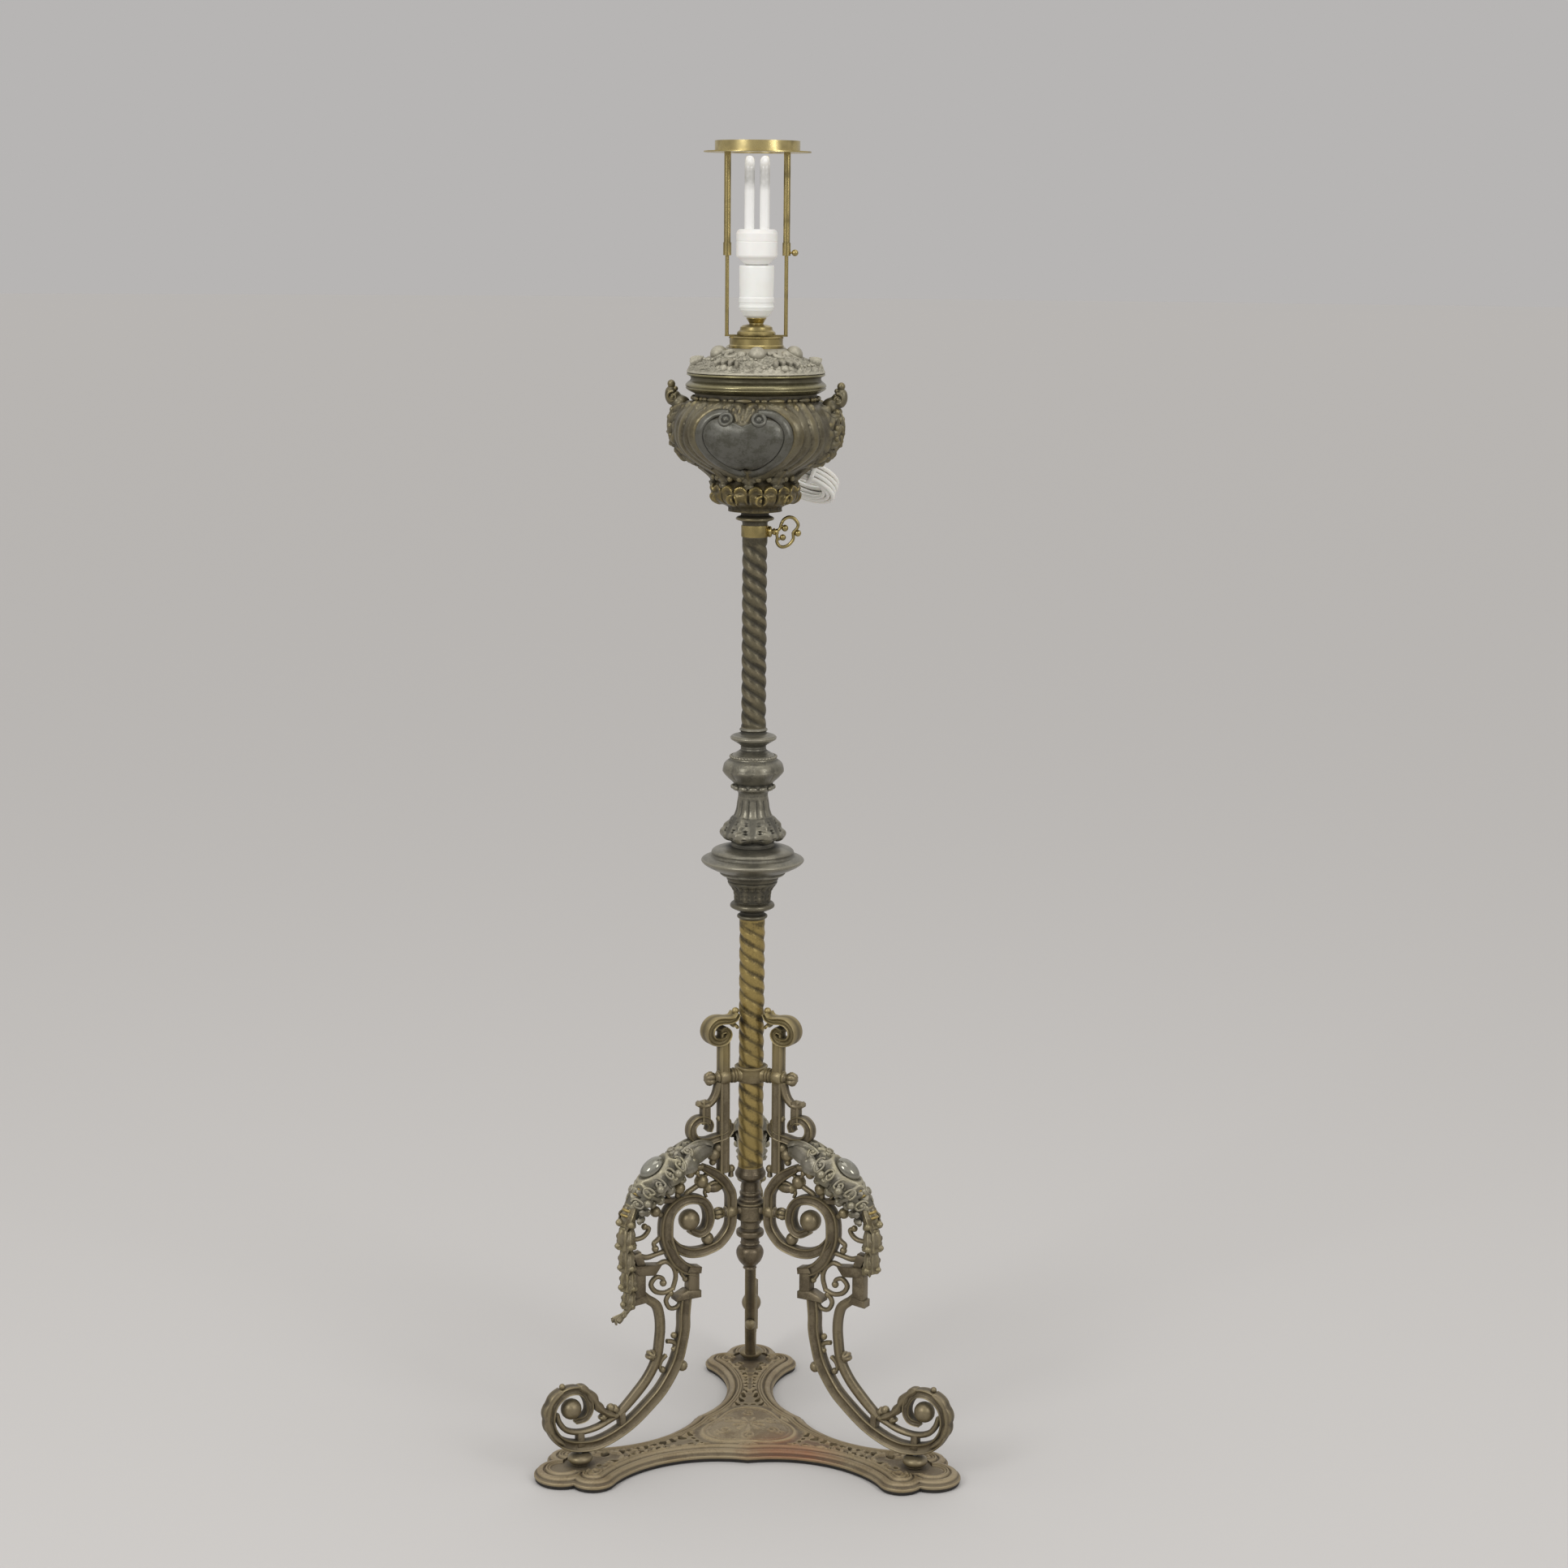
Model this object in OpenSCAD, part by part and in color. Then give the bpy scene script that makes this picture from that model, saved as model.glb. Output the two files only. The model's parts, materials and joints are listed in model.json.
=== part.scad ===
/* [Base] */
// Distance from the lamp's axis to the tip of a base arm
base_reach = 296; // [285:1:310]
// Radius of the rounded end of a base arm
arm_end_r = 34; // [31:0.5:36]
// Distance from the axis to the side lobes of an arm
lobe_at = 236; // [230:1:242]
// Distance of a side lobe's centre from the arm's middle line
lobe_side = 33; // [30:0.5:36]
// Radius of a side lobe
lobe_r = 27; // [24:0.5:30]
// Half width of an arm at its narrowest place
arm_half_w = 29; // [25:0.5:33]
// Distance from the axis to the narrowest place of an arm
arm_waist_at = 140; // [125:1:155]
// Distance from the axis to the small point between two arms
cusp_at = 80; // [74:1:88]
// Thickness of the dark foot plate
foot_plate_t = 9; // [6:0.5:12]
// Thickness of the relief plate
relief_plate_t = 7; // [5:0.5:10]
// Height of the crowned middle above the relief plate
crown_h = 7; // [4:0.5:10]
// Radius of the crowned middle
crown_r = 62; // [50:1:68]
// How far the relief plate stands back from the foot plate's edge
plate_step = 4; // [2:0.5:7]
// Radius of the flattened knob under a leg
knob_r = 15.5; // [13:0.5:18]
// Height of that knob
knob_h = 14; // [10:0.5:18]
// Radius of the bolt that holds a leg to the base
leg_bolt_r = 3; // [2:0.25:4]

/* [Legs] */
// Distance from the axis to the outermost place of a leg
leg_reach = 289; // [270:1:300]
// Height of a leg's upright bar top above the leg's underside
leg_h = 504; // [480:1:530]
// Thickness of a leg casting, across its plane
leg_t = 14; // [11:0.5:17]
// Width of the main rail of a leg
rail_w = 15; // [12:0.5:17]
// Width of the thin inner rail of a leg
thin_rail_w = 12; // [9:0.5:13]
// Width of the band over a foot and of the side bracket
band_rail_w = 8; // [6:0.5:10]
// Width of the ring volute high on a leg
ring_rail_w = 10; // [8:0.5:12]
// Width of the upright bar
bar_w = 13; // [10:0.5:15]
// Distance from the axis to the middle of the upright bar
bar_at = 39.5; // [37:0.5:42]
// Width of the garland where it covers the shoulder of a leg
garland_w = 54; // [44:1:62]
// Width of the garland's hanging part
garland_low_w = 34; // [26:1:42]
// Thickness of the garland
garland_t = 9; // [6:0.5:11]
// Radius of the rivet that holds a garland's lower end
rivet_r = 2; // [1.5:0.25:3]
// Radius of the polished stone on a garland
jewel_r = 13; // [10:0.5:16]
// Height of that stone
jewel_h = 8; // [5:0.5:10]

/* [Spiders] */
// Outer radius of the ring that holds the column high up
upper_ring_r = 20; // [18.5:0.5:23]
// Height of that ring
upper_ring_h = 20; // [14:1:24]
// Radius of the arms at the upper ring
upper_arm_r = 8; // [6:0.5:9]
// Radius of the lower hub
lower_hub_r = 17.5; // [16:0.5:20]
// Height of the lower hub
lower_hub_h = 34; // [30:1:38]
// Radius of the arms at the lower hub
lower_arm_r = 5; // [4:0.5:7]
// Radius of the screw inside each arm
arm_screw_r = 2.5; // [2:0.25:3.5]
// Radius of the knobs that end the upper arms
upper_knob_r = 9.5; // [7:0.5:11]
// Radius of the knobs that end the lower arms
lower_knob_r = 8.6; // [7:0.1:10]
// Length of those knobs
arm_knob_l = 20; // [16:1:22]

/* [Column] */
// Height of the hanging finial at the foot of the column
finial_h = 57; // [50:1:65]
// Radius of that finial
finial_r = 17; // [14:0.5:20]
// Height of the turned socket above the lower hub
socket_h = 45; // [38:1:52]
// Radius of the socket's ring
socket_r = 19.2; // [17:0.2:22]
// Length of the lower rope-turned tube
lower_tube_l = 317; // [290:1:340]
// Outer radius of that tube on its ridges
lower_tube_r = 15.8; // [14.5:0.1:17]
// Depth of its grooves
lower_groove = 1.8; // [0.8:0.1:2.4]
// Height of the capital
capital_h = 55; // [48:1:62]
// Radius of the capital's top
capital_r = 32; // [28:0.5:36]
// Height of the drip disc
disc_h = 37; // [30:1:42]
// Radius of the drip disc
disc_r = 63; // [56:0.5:70]
// Height of the small baluster
baluster_h = 61; // [54:1:68]
// Radius of the small baluster
baluster_r = 37; // [33:0.5:41]
// Height of the knop
knop_h = 47; // [40:1:54]
// Radius of the knop
knop_r = 38; // [34:0.5:42]
// Height of the collar above the knop
collar_h = 38; // [32:1:44]
// Radius of that collar's ring
collar_r = 28; // [24:0.5:32]
// Length of the upper rope-turned tube
upper_tube_l = 233; // [210:1:250]
// Outer radius of that tube on its ridges
upper_tube_r = 15.2; // [14.2:0.1:16]
// Depth of its grooves
upper_groove = 1.8; // [0.8:0.1:2.4]
// Height that a ridge climbs in one full turn
rope_lead = 52; // [45:1:80]
// Number of ridges round the rope-turned tubes
rope_starts = 3; // [3:1:5]
// Radius of the tie rod in the lower column
tie_rod_r = 5; // [4:0.25:6]
// Radius of the telescoping rod
rod_r = 8; // [7:0.1:8.5]
// Wall of the guide tube round that rod
guide_wall = 1.5; // [1:0.1:2]
// Length of the telescoping rod below the clamp collar
rod_l = 385; // [350:5:400]
// Radial clearance of the rod, of the vase foot on it and of the screws
run_gap = 0.08; // [0.05:0.01:0.1]
// Clearance round pieces that are only slipped on
slip_gap = 0.3; // [0.2:0.05:0.5]

/* [Clamp] */
// Outer radius of the clamp collar
clamp_r = 16.5; // [15:0.5:18]
// Height of the clamp collar
clamp_h = 13; // [11:0.5:15]
// Radius of the key's stem
key_stem_r = 3; // [2.5:0.1:3.6]
// Distance from the axis to the middle of the key's bow
key_bow_at = 41; // [39:0.5:45]
// Height of the key's bow
key_bow_h = 40; // [35:1:42]
// Thickness of the key's bow
key_t = 5; // [3.5:0.25:6]
// Width of a strand of the key's bow
key_strand_w = 4; // [3:0.25:5]

/* [Vase] */
// Height of the turned foot of the vase
vase_foot_h = 16; // [14:0.5:20]
// Radius of that foot
vase_foot_r = 23; // [20:0.5:26]
// Height of the gadrooned ring
gadroon_h = 42; // [36:1:48]
// Radius of the gadrooned ring
gadroon_r = 53.7; // [49:0.1:56]
// Height of the vase's body
vase_h = 99.5; // [90:0.5:110]
// Largest radius of the vase's body
vase_r = 98; // [90:0.5:102]
// Radius of the vase's mouth
mouth_r = 73; // [70:0.5:76]
// Wall of the vase
vase_wall = 3; // [2:0.25:4]
// Turn of the vase's panels and horns from the front, clockwise from above
vase_turn = 9; // [0:1:20]
// Height of the double band above the vase
band_h = 24.5; // [20:0.5:28]
// Radius of the band's lower rim
band_r = 85; // [81:0.5:89]
// Height that the horns rise above the vase's mouth
horn_rise = 6; // [0:0.5:8]
// Distance from the axis to the tips of the horns
horn_at = 102; // [96:0.5:106]

/* [Font and burner] */
// Height of the embossed cover
cover_h = 29; // [25:0.5:33]
// Radius of the cover's rim
cover_r = 82; // [79:0.5:84]
// Wall of the cover and of the tank
sheet_wall = 2; // [1.5:0.1:2.5]
// Radius of the oil tank inside the vase
tank_r = 62; // [52:0.5:64]
// Depth of that tank below the band's top
tank_depth = 92; // [80:1:98]
// Height of the brass collar
font_collar_h = 13.5; // [11:0.5:16]
// Radius of the brass collar
font_collar_r = 32.7; // [30:0.1:35]
// Height of the two-tier cap
cap_h = 12; // [10:0.5:15]
// Radius of the two-tier cap
cap_r = 23; // [20:0.5:26]
// Height of the funnel under the lamp holder
funnel_h = 8; // [6:0.5:11]
// Outer radius of the threaded nipple
nipple_r = 5; // [4.5:0.1:5.5]
// Height of the lamp holder's lower half
holder_base_h = 22; // [18:0.5:26]
// Height of the lamp holder's upper half
holder_shell_h = 39; // [34:0.5:42]
// Outer radius of the lamp holder
holder_r = 20.8; // [19:0.1:23]

/* [Bulb] */
// Radius of the screw cap
bulb_cap_r = 13.2; // [12.8:0.1:13.4]
// Length of the screw cap
bulb_cap_l = 24; // [22:0.5:26]
// Radius of the bulb's housing
bulb_r = 24.6; // [22:0.1:26]
// Height of the bulb's housing
bulb_housing_h = 42; // [36:0.5:48]
// Height of the glass tubes above the housing
bulb_tube_h = 85; // [75:1:88]
// Radius of a glass tube
bulb_tube_r = 5.9; // [5:0.1:6.4]
// Distance between the middles of the glass tubes
bulb_tube_step = 18; // [15:0.5:20]

/* [Gallery] */
// Outer radius of the ring that centres a shade
gallery_r = 50.2; // [47:0.1:53]
// Height of that ring
gallery_ring_h = 12; // [10:0.5:15]
// Radius of the flange that carries a shade
flange_r = 63.3; // [58:0.1:68]
// Thickness of the gallery's sheet brass
gallery_t = 1.5; // [1:0.1:2]
// Distance of the gallery's rods from the axis
rod_at = 35; // [33:0.5:37]
// Radius of the gallery's rods
yoke_rod_r = 2.3; // [2:0.1:2.6]
// Outer radius of the sleeves on the rods
sleeve_r = 4; // [3.5:0.1:4.5]
// Length of those sleeves
sleeve_l = 119; // [105:1:125]
// Height of the flange above the brass collar
flange_up = 213.5; // [205:0.5:225]
// Distance from the axis to the ball of the gallery's screw
screw_ball_at = 45; // [43:0.5:48]

/* [Cord] */
// Diameter of the cord
cord_d = 5.4; // [4.5:0.1:5.8]
// Step from turn to turn and from layer to layer in the coil
coil_pitch = 6; // [6:0.1:6.2]
// Mean radius of the coil
coil_r = 31.5; // [29:0.5:33]
// Length of the strain relief
gland_l = 20; // [20:1:24]

/* [Hidden] */

$fn = 64;
ARMS = [-30, 90, 210];

// Heights of the base and the legs
leg_z = foot_plate_t + relief_plate_t + knob_h;
knob_at = leg_reach * 238 / 289;
lower_arm_z = leg_z + leg_h * 0.549;
upper_arm_z = leg_z + leg_h * 0.897;

// Heights of the column, from the lower hub up
hub_z = lower_arm_z - lower_hub_h * 0.72;
finial_z = hub_z - finial_h;
socket_z = hub_z + lower_hub_h;
lower_tube_z = socket_z + socket_h;
capital_z = lower_tube_z + lower_tube_l;
disc_z = capital_z + capital_h;
baluster_z = disc_z + disc_h;
knop_z = baluster_z + baluster_h;
collar_z = knop_z + knop_h;
upper_tube_z = collar_z + collar_h;
clamp_z = upper_tube_z + upper_tube_l;
vase_foot_z = clamp_z + clamp_h;
gadroon_z = vase_foot_z + vase_foot_h;
vase_z = gadroon_z + gadroon_h;
band_z = vase_z + vase_h;
cover_z = band_z + band_h;
font_collar_z = cover_z + cover_h;
yoke_z = font_collar_z + font_collar_h;
yoke_t = 2;
cap_z = yoke_z + yoke_t;
funnel_z = cap_z + cap_h;
holder_z = funnel_z + funnel_h;
shell_z = holder_z + holder_base_h;
bulb_z = shell_z + holder_shell_h;
flange_z = yoke_z + flange_up;

// Bores that follow from what passes through them
guide_r = rod_r + run_gap + guide_wall;
guide_bore = rod_r + run_gap;
tie_bore = tie_rod_r + run_gap;
nipple_bore = nipple_r + run_gap;

// Points of a smooth curve through the points p, n steps for each stretch
function blend(a, b, c, d, t) = 0.5 * (2 * b + (c - a) * t + (2 * a - 5 * b + 4 * c - d) * t * t
    + (3 * b - a - 3 * c + d) * t * t * t);
function curve(p, n = 4) = concat([for (i = [0 : len(p) - 2]) for (k = [0 : n - 1])
    blend(p[max(i - 1, 0)], p[i], p[i + 1], p[min(i + 2, len(p) - 1)], k / n)], [p[len(p) - 1]]);
function reversed(p) = [for (i = [len(p) - 1 : -1 : 0]) p[i]];
// One edge of a strip whose middle line c holds [x, y, width]
function edge(c, s) = [for (i = [0 : len(c) - 1])
    let (a = c[max(i - 1, 0)], b = c[min(i + 1, len(c) - 1)], m = norm([b[0] - a[0], b[1] - a[1]]))
    [c[i][0] - s * (b[1] - a[1]) / m * c[i][2] / 2, c[i][1] + s * (b[0] - a[0]) / m * c[i][2] / 2]];
function ribbon(p, n = 4) = let (c = curve(p, n)) concat(edge(c, 1), reversed(edge(c, -1)));
// Arc of a circle, from angle a to angle b
function arc(c, r, a, b, n = 8) = [for (i = [0 : n]) let (t = a + (b - a) * i / n) c + r * [cos(t), sin(t)]];
function turn2(p, a) = [for (q = p) [q[0] * cos(a) - q[1] * sin(a), q[0] * sin(a) + q[1] * cos(a)]];

// A turned piece: profile points hold [share of radius r, share of height h]
module turned(points, r, h, bore, bore_top = -1) {
    shape = [for (p = points) [p[0] * r, p[1] * h]];
    rotate_extrude() polygon(concat([[bore, 0]], shape, [[bore_top < 0 ? bore : bore_top, h]]));
}

// A rope-turned tube with rounded ridges, twisted to the left
module rope_tube(r, groove, l, bore) {
    steps = 8 * rope_starts;
    section = [for (i = [0 : steps - 1])
        let (a = i * 360 / steps, d = groove * (1 - abs(cos(a * rope_starts / 2))))
        (r - d) * [cos(a), sin(a)]];
    difference() {
        linear_extrude(height = l, twist = 360 * l / rope_lead, slices = ceil(l / 5), $fn = steps)
            polygon(section);
        translate([0, 0, -1]) cylinder(r = bore, h = l + 2);
    }
}

// Outline of the base, drawn in by d all round
function flank(d) = let (lobe = [lobe_at, lobe_side], far = [base_reach - arm_end_r, 0],
        a = [cusp_at * 0.5 - d * 0.6, cusp_at * 0.866 - d], w = [arm_waist_at, arm_half_w - d],
        s = lobe + (lobe_r - d) * [cos(130), sin(130)],
        reach = norm(far - lobe),
        along = (pow(lobe_r - d, 2) - pow(arm_end_r - d, 2) + reach * reach) / (2 * reach),
        off = sqrt(max(pow(lobe_r - d, 2) - along * along, 0)), u = (far - lobe) / reach,
        notch = lobe + along * u + off * [-u[1], u[0]],
        lobe_end = atan2(notch[1] - lobe[1], notch[0] - lobe[0]),
        far_start = atan2(notch[1], notch[0] - far[0]))
    concat([for (i = [0 : 9]) bezier(a, a + [25, -24], w - [40, 0], w, i / 10)],
        [for (i = [0 : 7]) bezier(w, w + [35, 0], s - 18 * [sin(130), -cos(130)], s, i / 8)],
        arc(lobe, lobe_r - d, 130, lobe_end, 9),
        [for (p = arc(far, arm_end_r - d, far_start, 0, 8)) if (p != notch) p]);
function bezier(a, b, c, d, t) = pow(1 - t, 3) * a + 3 * t * pow(1 - t, 2) * b
    + 3 * t * t * (1 - t) * c + pow(t, 3) * d;
function arm_side(d) = let (f = flank(d))
    [for (i = [0 : len(f) - 1]) if (i == 0 || norm(f[i] - f[i - 1]) > 0.2) f[i]];
function mirrored(p) = [for (q = p) [q[0], -q[1]]];
function base_outline(d) = [for (k = [0 : 2]) let (f = arm_side(d), m = len(f))
    each turn2(concat(mirrored(f), [for (i = [m - 2 : -1 : 1]) f[i]]), ARMS[k])];

module base_foot_plate() color("#2b2723") {
    difference() {
        linear_extrude(height = foot_plate_t) polygon(base_outline(0));
        for (a = ARMS) rotate(a) translate([knob_at, 0, -1]) {
            cylinder(r = leg_bolt_r + run_gap, h = foot_plate_t + 2);
            cylinder(r = leg_bolt_r * 2 + slip_gap, h = 1 + foot_plate_t / 2);
        }
    }
}

module base_plate() color("#6e6042") {
    difference() {
        translate([0, 0, foot_plate_t]) {
            linear_extrude(height = relief_plate_t * 0.55) polygon(base_outline(plate_step));
            linear_extrude(height = relief_plate_t) polygon(base_outline(plate_step + 7));
            translate([0, 0, relief_plate_t])
                turned([[1, 0], [0.93, 0.45], [0.7, 0.8], [0.4, 1]], crown_r, crown_h, 0);
        }
        for (a = ARMS) rotate(a) translate([knob_at, 0, 0])
            cylinder(r = leg_bolt_r + run_gap, h = leg_z);
    }
}

module leg_bolts() color("#3a3a3a") for (a = ARMS) rotate(a) translate([knob_at, 0, foot_plate_t / 2]) {
    cylinder(r = leg_bolt_r, h = leg_z - foot_plate_t / 2 + rail_w * 0.6);
    translate([0, 0, -3]) cylinder(r = leg_bolt_r * 2, h = 3);
}

module foot_knobs() color("#75683f") for (a = ARMS) rotate(a) translate([knob_at, 0, leg_z - knob_h])
    turned([[0.72, 0], [0.72, 0.1], [0.9, 0.25], [1, 0.5], [0.9, 0.75], [0.72, 0.9], [0.72, 1]],
        knob_r, knob_h, leg_bolt_r + run_gap);

// Leg outlines: distance from the axis and height above the leg's underside, for a leg of 289 by 504
function leg_x(x) = x * leg_reach / 289;
function leg_y(y) = y * leg_h / 504;
lower_boss_at = leg_x(28) - thin_rail_w / 2;
function leg_line(p, w) = [for (q = p) [leg_x(q[0]), leg_y(q[1]), w * q[2]]];

MAIN_RAIL = [[90, 182, 1], [94.5, 158, 1], [96, 132, 1], [104, 97, 1], [121, 67, 1], [147, 42, 1],
    [178, 21, 1], [206, 10, 1], [232, 7.5, 1], [256, 15, 0.85], [273, 31, 0.75], [280, 52, 0.95],
    [274, 71, 0.85], [258, 82, 0.75], [240, 80, 0.7], [228, 68, 0.7], [226, 54, 0.7], [236, 44, 0.7],
    [249, 45, 0.7]];
THIN_RAIL = [[150, 190, 0.9], [144, 180, 1], [131, 168, 1], [127.5, 145, 1], [130, 112, 1],
    [144, 81, 1], [164, 59, 1], [186, 40, 0.9]];
FOOT_BAND = [[186, 40, 1], [202, 32, 1], [226, 27, 0.9], [250, 29, 0.8], [265, 43, 0.8], [270, 56, 0.8]];
BIG_VOLUTE = [[78, 208, 0.9], [96, 216, 1], [112, 235, 1], [120, 262, 1.25], [118, 282, 1.2], [104, 301, 1],
    [82, 303, 0.9], [66, 294, 0.9], [60, 275, 0.9], [66, 259, 0.9], [77, 255, 0.9], [88, 262, 0.7]];
LOWER_LOOP = [[28, 277, 1], [29, 262, 1], [38, 245, 1], [56, 234, 1], [78, 231, 1], [98, 238, 1],
    [114, 254, 1]];
UPPER_ARC = [[28, 277, 1], [28.5, 298, 1], [38, 319, 1], [54, 331, 1], [68, 339, 0.9]];
RING_VOLUTE = [[31, 388, 0.8], [38, 378, 0.9], [58, 374, 1], [78, 378, 1], [83, 392, 1], [74, 400, 1],
    [62, 396, 0.9], [52, 382, 0.8]];
SIDE_BRACKET = [[44, 444, 1.1], [50, 429, 1], [60, 419, 1], [74, 421, 0.8]];
GARLAND = [[58, 365, 0.8], [77, 368, 1], [96, 364, 1], [116, 356, 1], [135, 345, 1], [151, 331, 1],
    [163, 314, 1], [172, 292, 1], [174, 262, 1], [172, 228, 1], [170, 196, 1], [172, 172, 1], [186, 160, 0.7]];
// Last point of the garland's shoulder, of a whole garland and of the broken one on the right leg
SHOULDER = 8;
WHOLE = 12;
BROKEN = 9;
// Balls and small scrolls of a leg: distance from the axis, height, radius
BOSSES = [[132, 205, 13], [111, 195, 11], [118, 208, 7], [96, 86, 7], [138, 108, 9], [119, 116, 8],
    [62, 246, 9], [50, 313, 11], [48, 362, 7], [53, 353, 8], [56, 346, 7], [71, 338, 9], [86, 344, 10],
    [60, 357, 7], [190, 47, 7], [207, 40, 9], [33, 393, 6]];
// Full balls in the eyes of the volutes and the rolls at the top of a leg
ROUND_ENDS = [[250, 59, 13], [87, 275, 13.6], [52, 510, 14], [36, 510, 10]];
// Corners of the pointed shelf under the outer step
SHELF = [[128, 224], [138, 212], [160, 212], [160, 226]];
rivet_at = leg_x(150);
rivet_y = leg_y(204);

function garland_part(first, last) = leg_line([for (i = [first : last]) GARLAND[i]], garland_t);

module leg_plane(t) rotate([90, 0, 0]) linear_extrude(height = t, center = true) children();

module leg_shape() {
    polygon(ribbon(leg_line(MAIN_RAIL, rail_w)));
    polygon(ribbon(leg_line(THIN_RAIL, thin_rail_w)));
    polygon(ribbon(leg_line(FOOT_BAND, band_rail_w)));
    polygon(ribbon(leg_line(BIG_VOLUTE, rail_w * 0.9)));
    polygon(ribbon(leg_line(LOWER_LOOP, thin_rail_w)));
    polygon(ribbon(leg_line(UPPER_ARC, thin_rail_w)));
    polygon(ribbon(leg_line(RING_VOLUTE, ring_rail_w)));
    polygon(ribbon(leg_line(SIDE_BRACKET, band_rail_w)));
    // Upright bar and the stub between the bracket and the ring volute
    translate([bar_at - bar_w / 2, leg_y(318)]) square([bar_w, leg_h - leg_y(318)]);
    translate([leg_x(60), leg_y(390)]) square([11, leg_y(34)]);
    // Inner step, outer step and their shelves
    translate([leg_x(75), leg_y(174)]) square([15, leg_y(40)]);
    translate([leg_x(75), leg_y(174)]) square([leg_x(30), 12]);
    translate([leg_x(148), leg_y(182)]) square([leg_x(20), leg_y(44)]);
    polygon([for (c = SHELF) [leg_x(c[0]), leg_y(c[1])]]);
    // Ties between the two rails, balls and scrolls, and the strap to the garland
    translate([leg_x(176), leg_y(24)]) square([9, leg_y(16)]);
    translate([leg_x(232), leg_y(10)]) square([10, leg_y(18)]);
    for (c = BOSSES) translate([leg_x(c[0]), leg_y(c[1])]) circle(r = c[2]);
    translate([leg_x(104), leg_y(302)]) square([leg_x(52), 6]);
}

// A leg makes room for its garland, which ends at that point of GARLAND
module leg(garland_end) {
    difference() {
        union() {
            leg_plane(leg_t) difference() {
                leg_shape();
                polygon(ribbon(garland_part(0, garland_end)));
            }
            for (c = ROUND_ENDS) translate([leg_x(c[0]), 0, leg_y(c[1])]) sphere(r = c[2]);
            translate([bar_at - bar_w / 2, 0, upper_arm_z - leg_z]) rotate([0, 90, 0])
                cylinder(r = upper_arm_r + 1, h = bar_w);
            translate([lower_boss_at, 0, lower_arm_z - leg_z]) rotate([0, 90, 0])
                cylinder(r = lower_arm_r + 3, h = thin_rail_w);
        }
        translate([knob_at, 0, -8]) cylinder(r = knob_r, h = 8);
        translate([0, 0, upper_arm_z - leg_z]) rotate([0, 90, 0])
            cylinder(r = arm_screw_r + run_gap, h = bar_at + bar_w);
        translate([0, 0, lower_arm_z - leg_z]) rotate([0, 90, 0])
            cylinder(r = arm_screw_r + run_gap, h = lower_boss_at + 2 * thin_rail_w);
        translate([knob_at, 0, -1]) cylinder(r = leg_bolt_r + run_gap, h = 1 + rail_w * 0.6);
        translate([rivet_at, 0, rivet_y]) rotate([0, 90, 0]) cylinder(r = rivet_r + run_gap, h = 30);
    }
}
module leg_right() color("#6b5f38") rotate(ARMS[0]) translate([0, 0, leg_z]) leg(BROKEN);
module leg_back() color("#6b5f38") rotate(ARMS[1]) translate([0, 0, leg_z]) leg(WHOLE);
module leg_left() color("#6b5f38") rotate(ARMS[2]) translate([0, 0, leg_z]) leg(WHOLE);

module garland(garland_end) difference() {
    union() {
        leg_plane(garland_w) polygon(ribbon(garland_part(0, SHOULDER)));
        leg_plane(garland_low_w) polygon(ribbon(garland_part(SHOULDER - 1, garland_end)));
    }
    translate([rivet_at, 0, rivet_y]) rotate([0, 90, 0]) cylinder(r = rivet_r + run_gap, h = 40);
}
module garland_right() color("#77705c") rotate(ARMS[0]) translate([0, 0, leg_z]) garland(BROKEN);
module garland_back() color("#77705c") rotate(ARMS[1]) translate([0, 0, leg_z]) garland(WHOLE);
module garland_left() color("#77705c") rotate(ARMS[2]) translate([0, 0, leg_z]) garland(WHOLE);

module garland_jewels() color("#9a9484") for (a = ARMS) rotate(a)
    translate([leg_x(135) + garland_t * 0.28, 0, leg_z + leg_y(345) + garland_t * 0.42]) rotate([0, 34, 0])
        turned([[1, 0], [0.98, 0.3], [0.85, 0.65], [0.6, 0.88], [0.3, 0.97], [0, 1]], jewel_r, jewel_h, 0);

// The broken garland has lost its rivet
module garland_rivets() color("#8a7a45") for (a = [ARMS[1], ARMS[2]]) rotate(a)
    translate([rivet_at + 2, 0, leg_z + rivet_y]) rotate([0, 90, 0]) cylinder(r = rivet_r, h = 22);

module upper_spider() color("#6b5f38") translate([0, 0, upper_arm_z]) {
    difference() {
        union() {
            translate([0, 0, -upper_ring_h / 2])
                turned([[0.92, 0], [1, 0.12], [0.93, 0.3], [0.93, 0.7], [1, 0.88], [0.92, 1]],
                    upper_ring_r, upper_ring_h, lower_tube_r + slip_gap);
            for (a = ARMS) rotate(a) translate([lower_tube_r + slip_gap + 0.5, 0, 0]) rotate([0, 90, 0])
                cylinder(r = upper_arm_r, h = bar_at - bar_w / 2 - lower_tube_r - slip_gap - 0.5);
        }
        translate([0, 0, -upper_ring_h]) cylinder(r = lower_tube_r + slip_gap, h = 2 * upper_ring_h);
        for (a = ARMS) rotate(a) rotate([0, 90, 0]) cylinder(r = arm_screw_r + run_gap, h = bar_at);
    }
}

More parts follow.
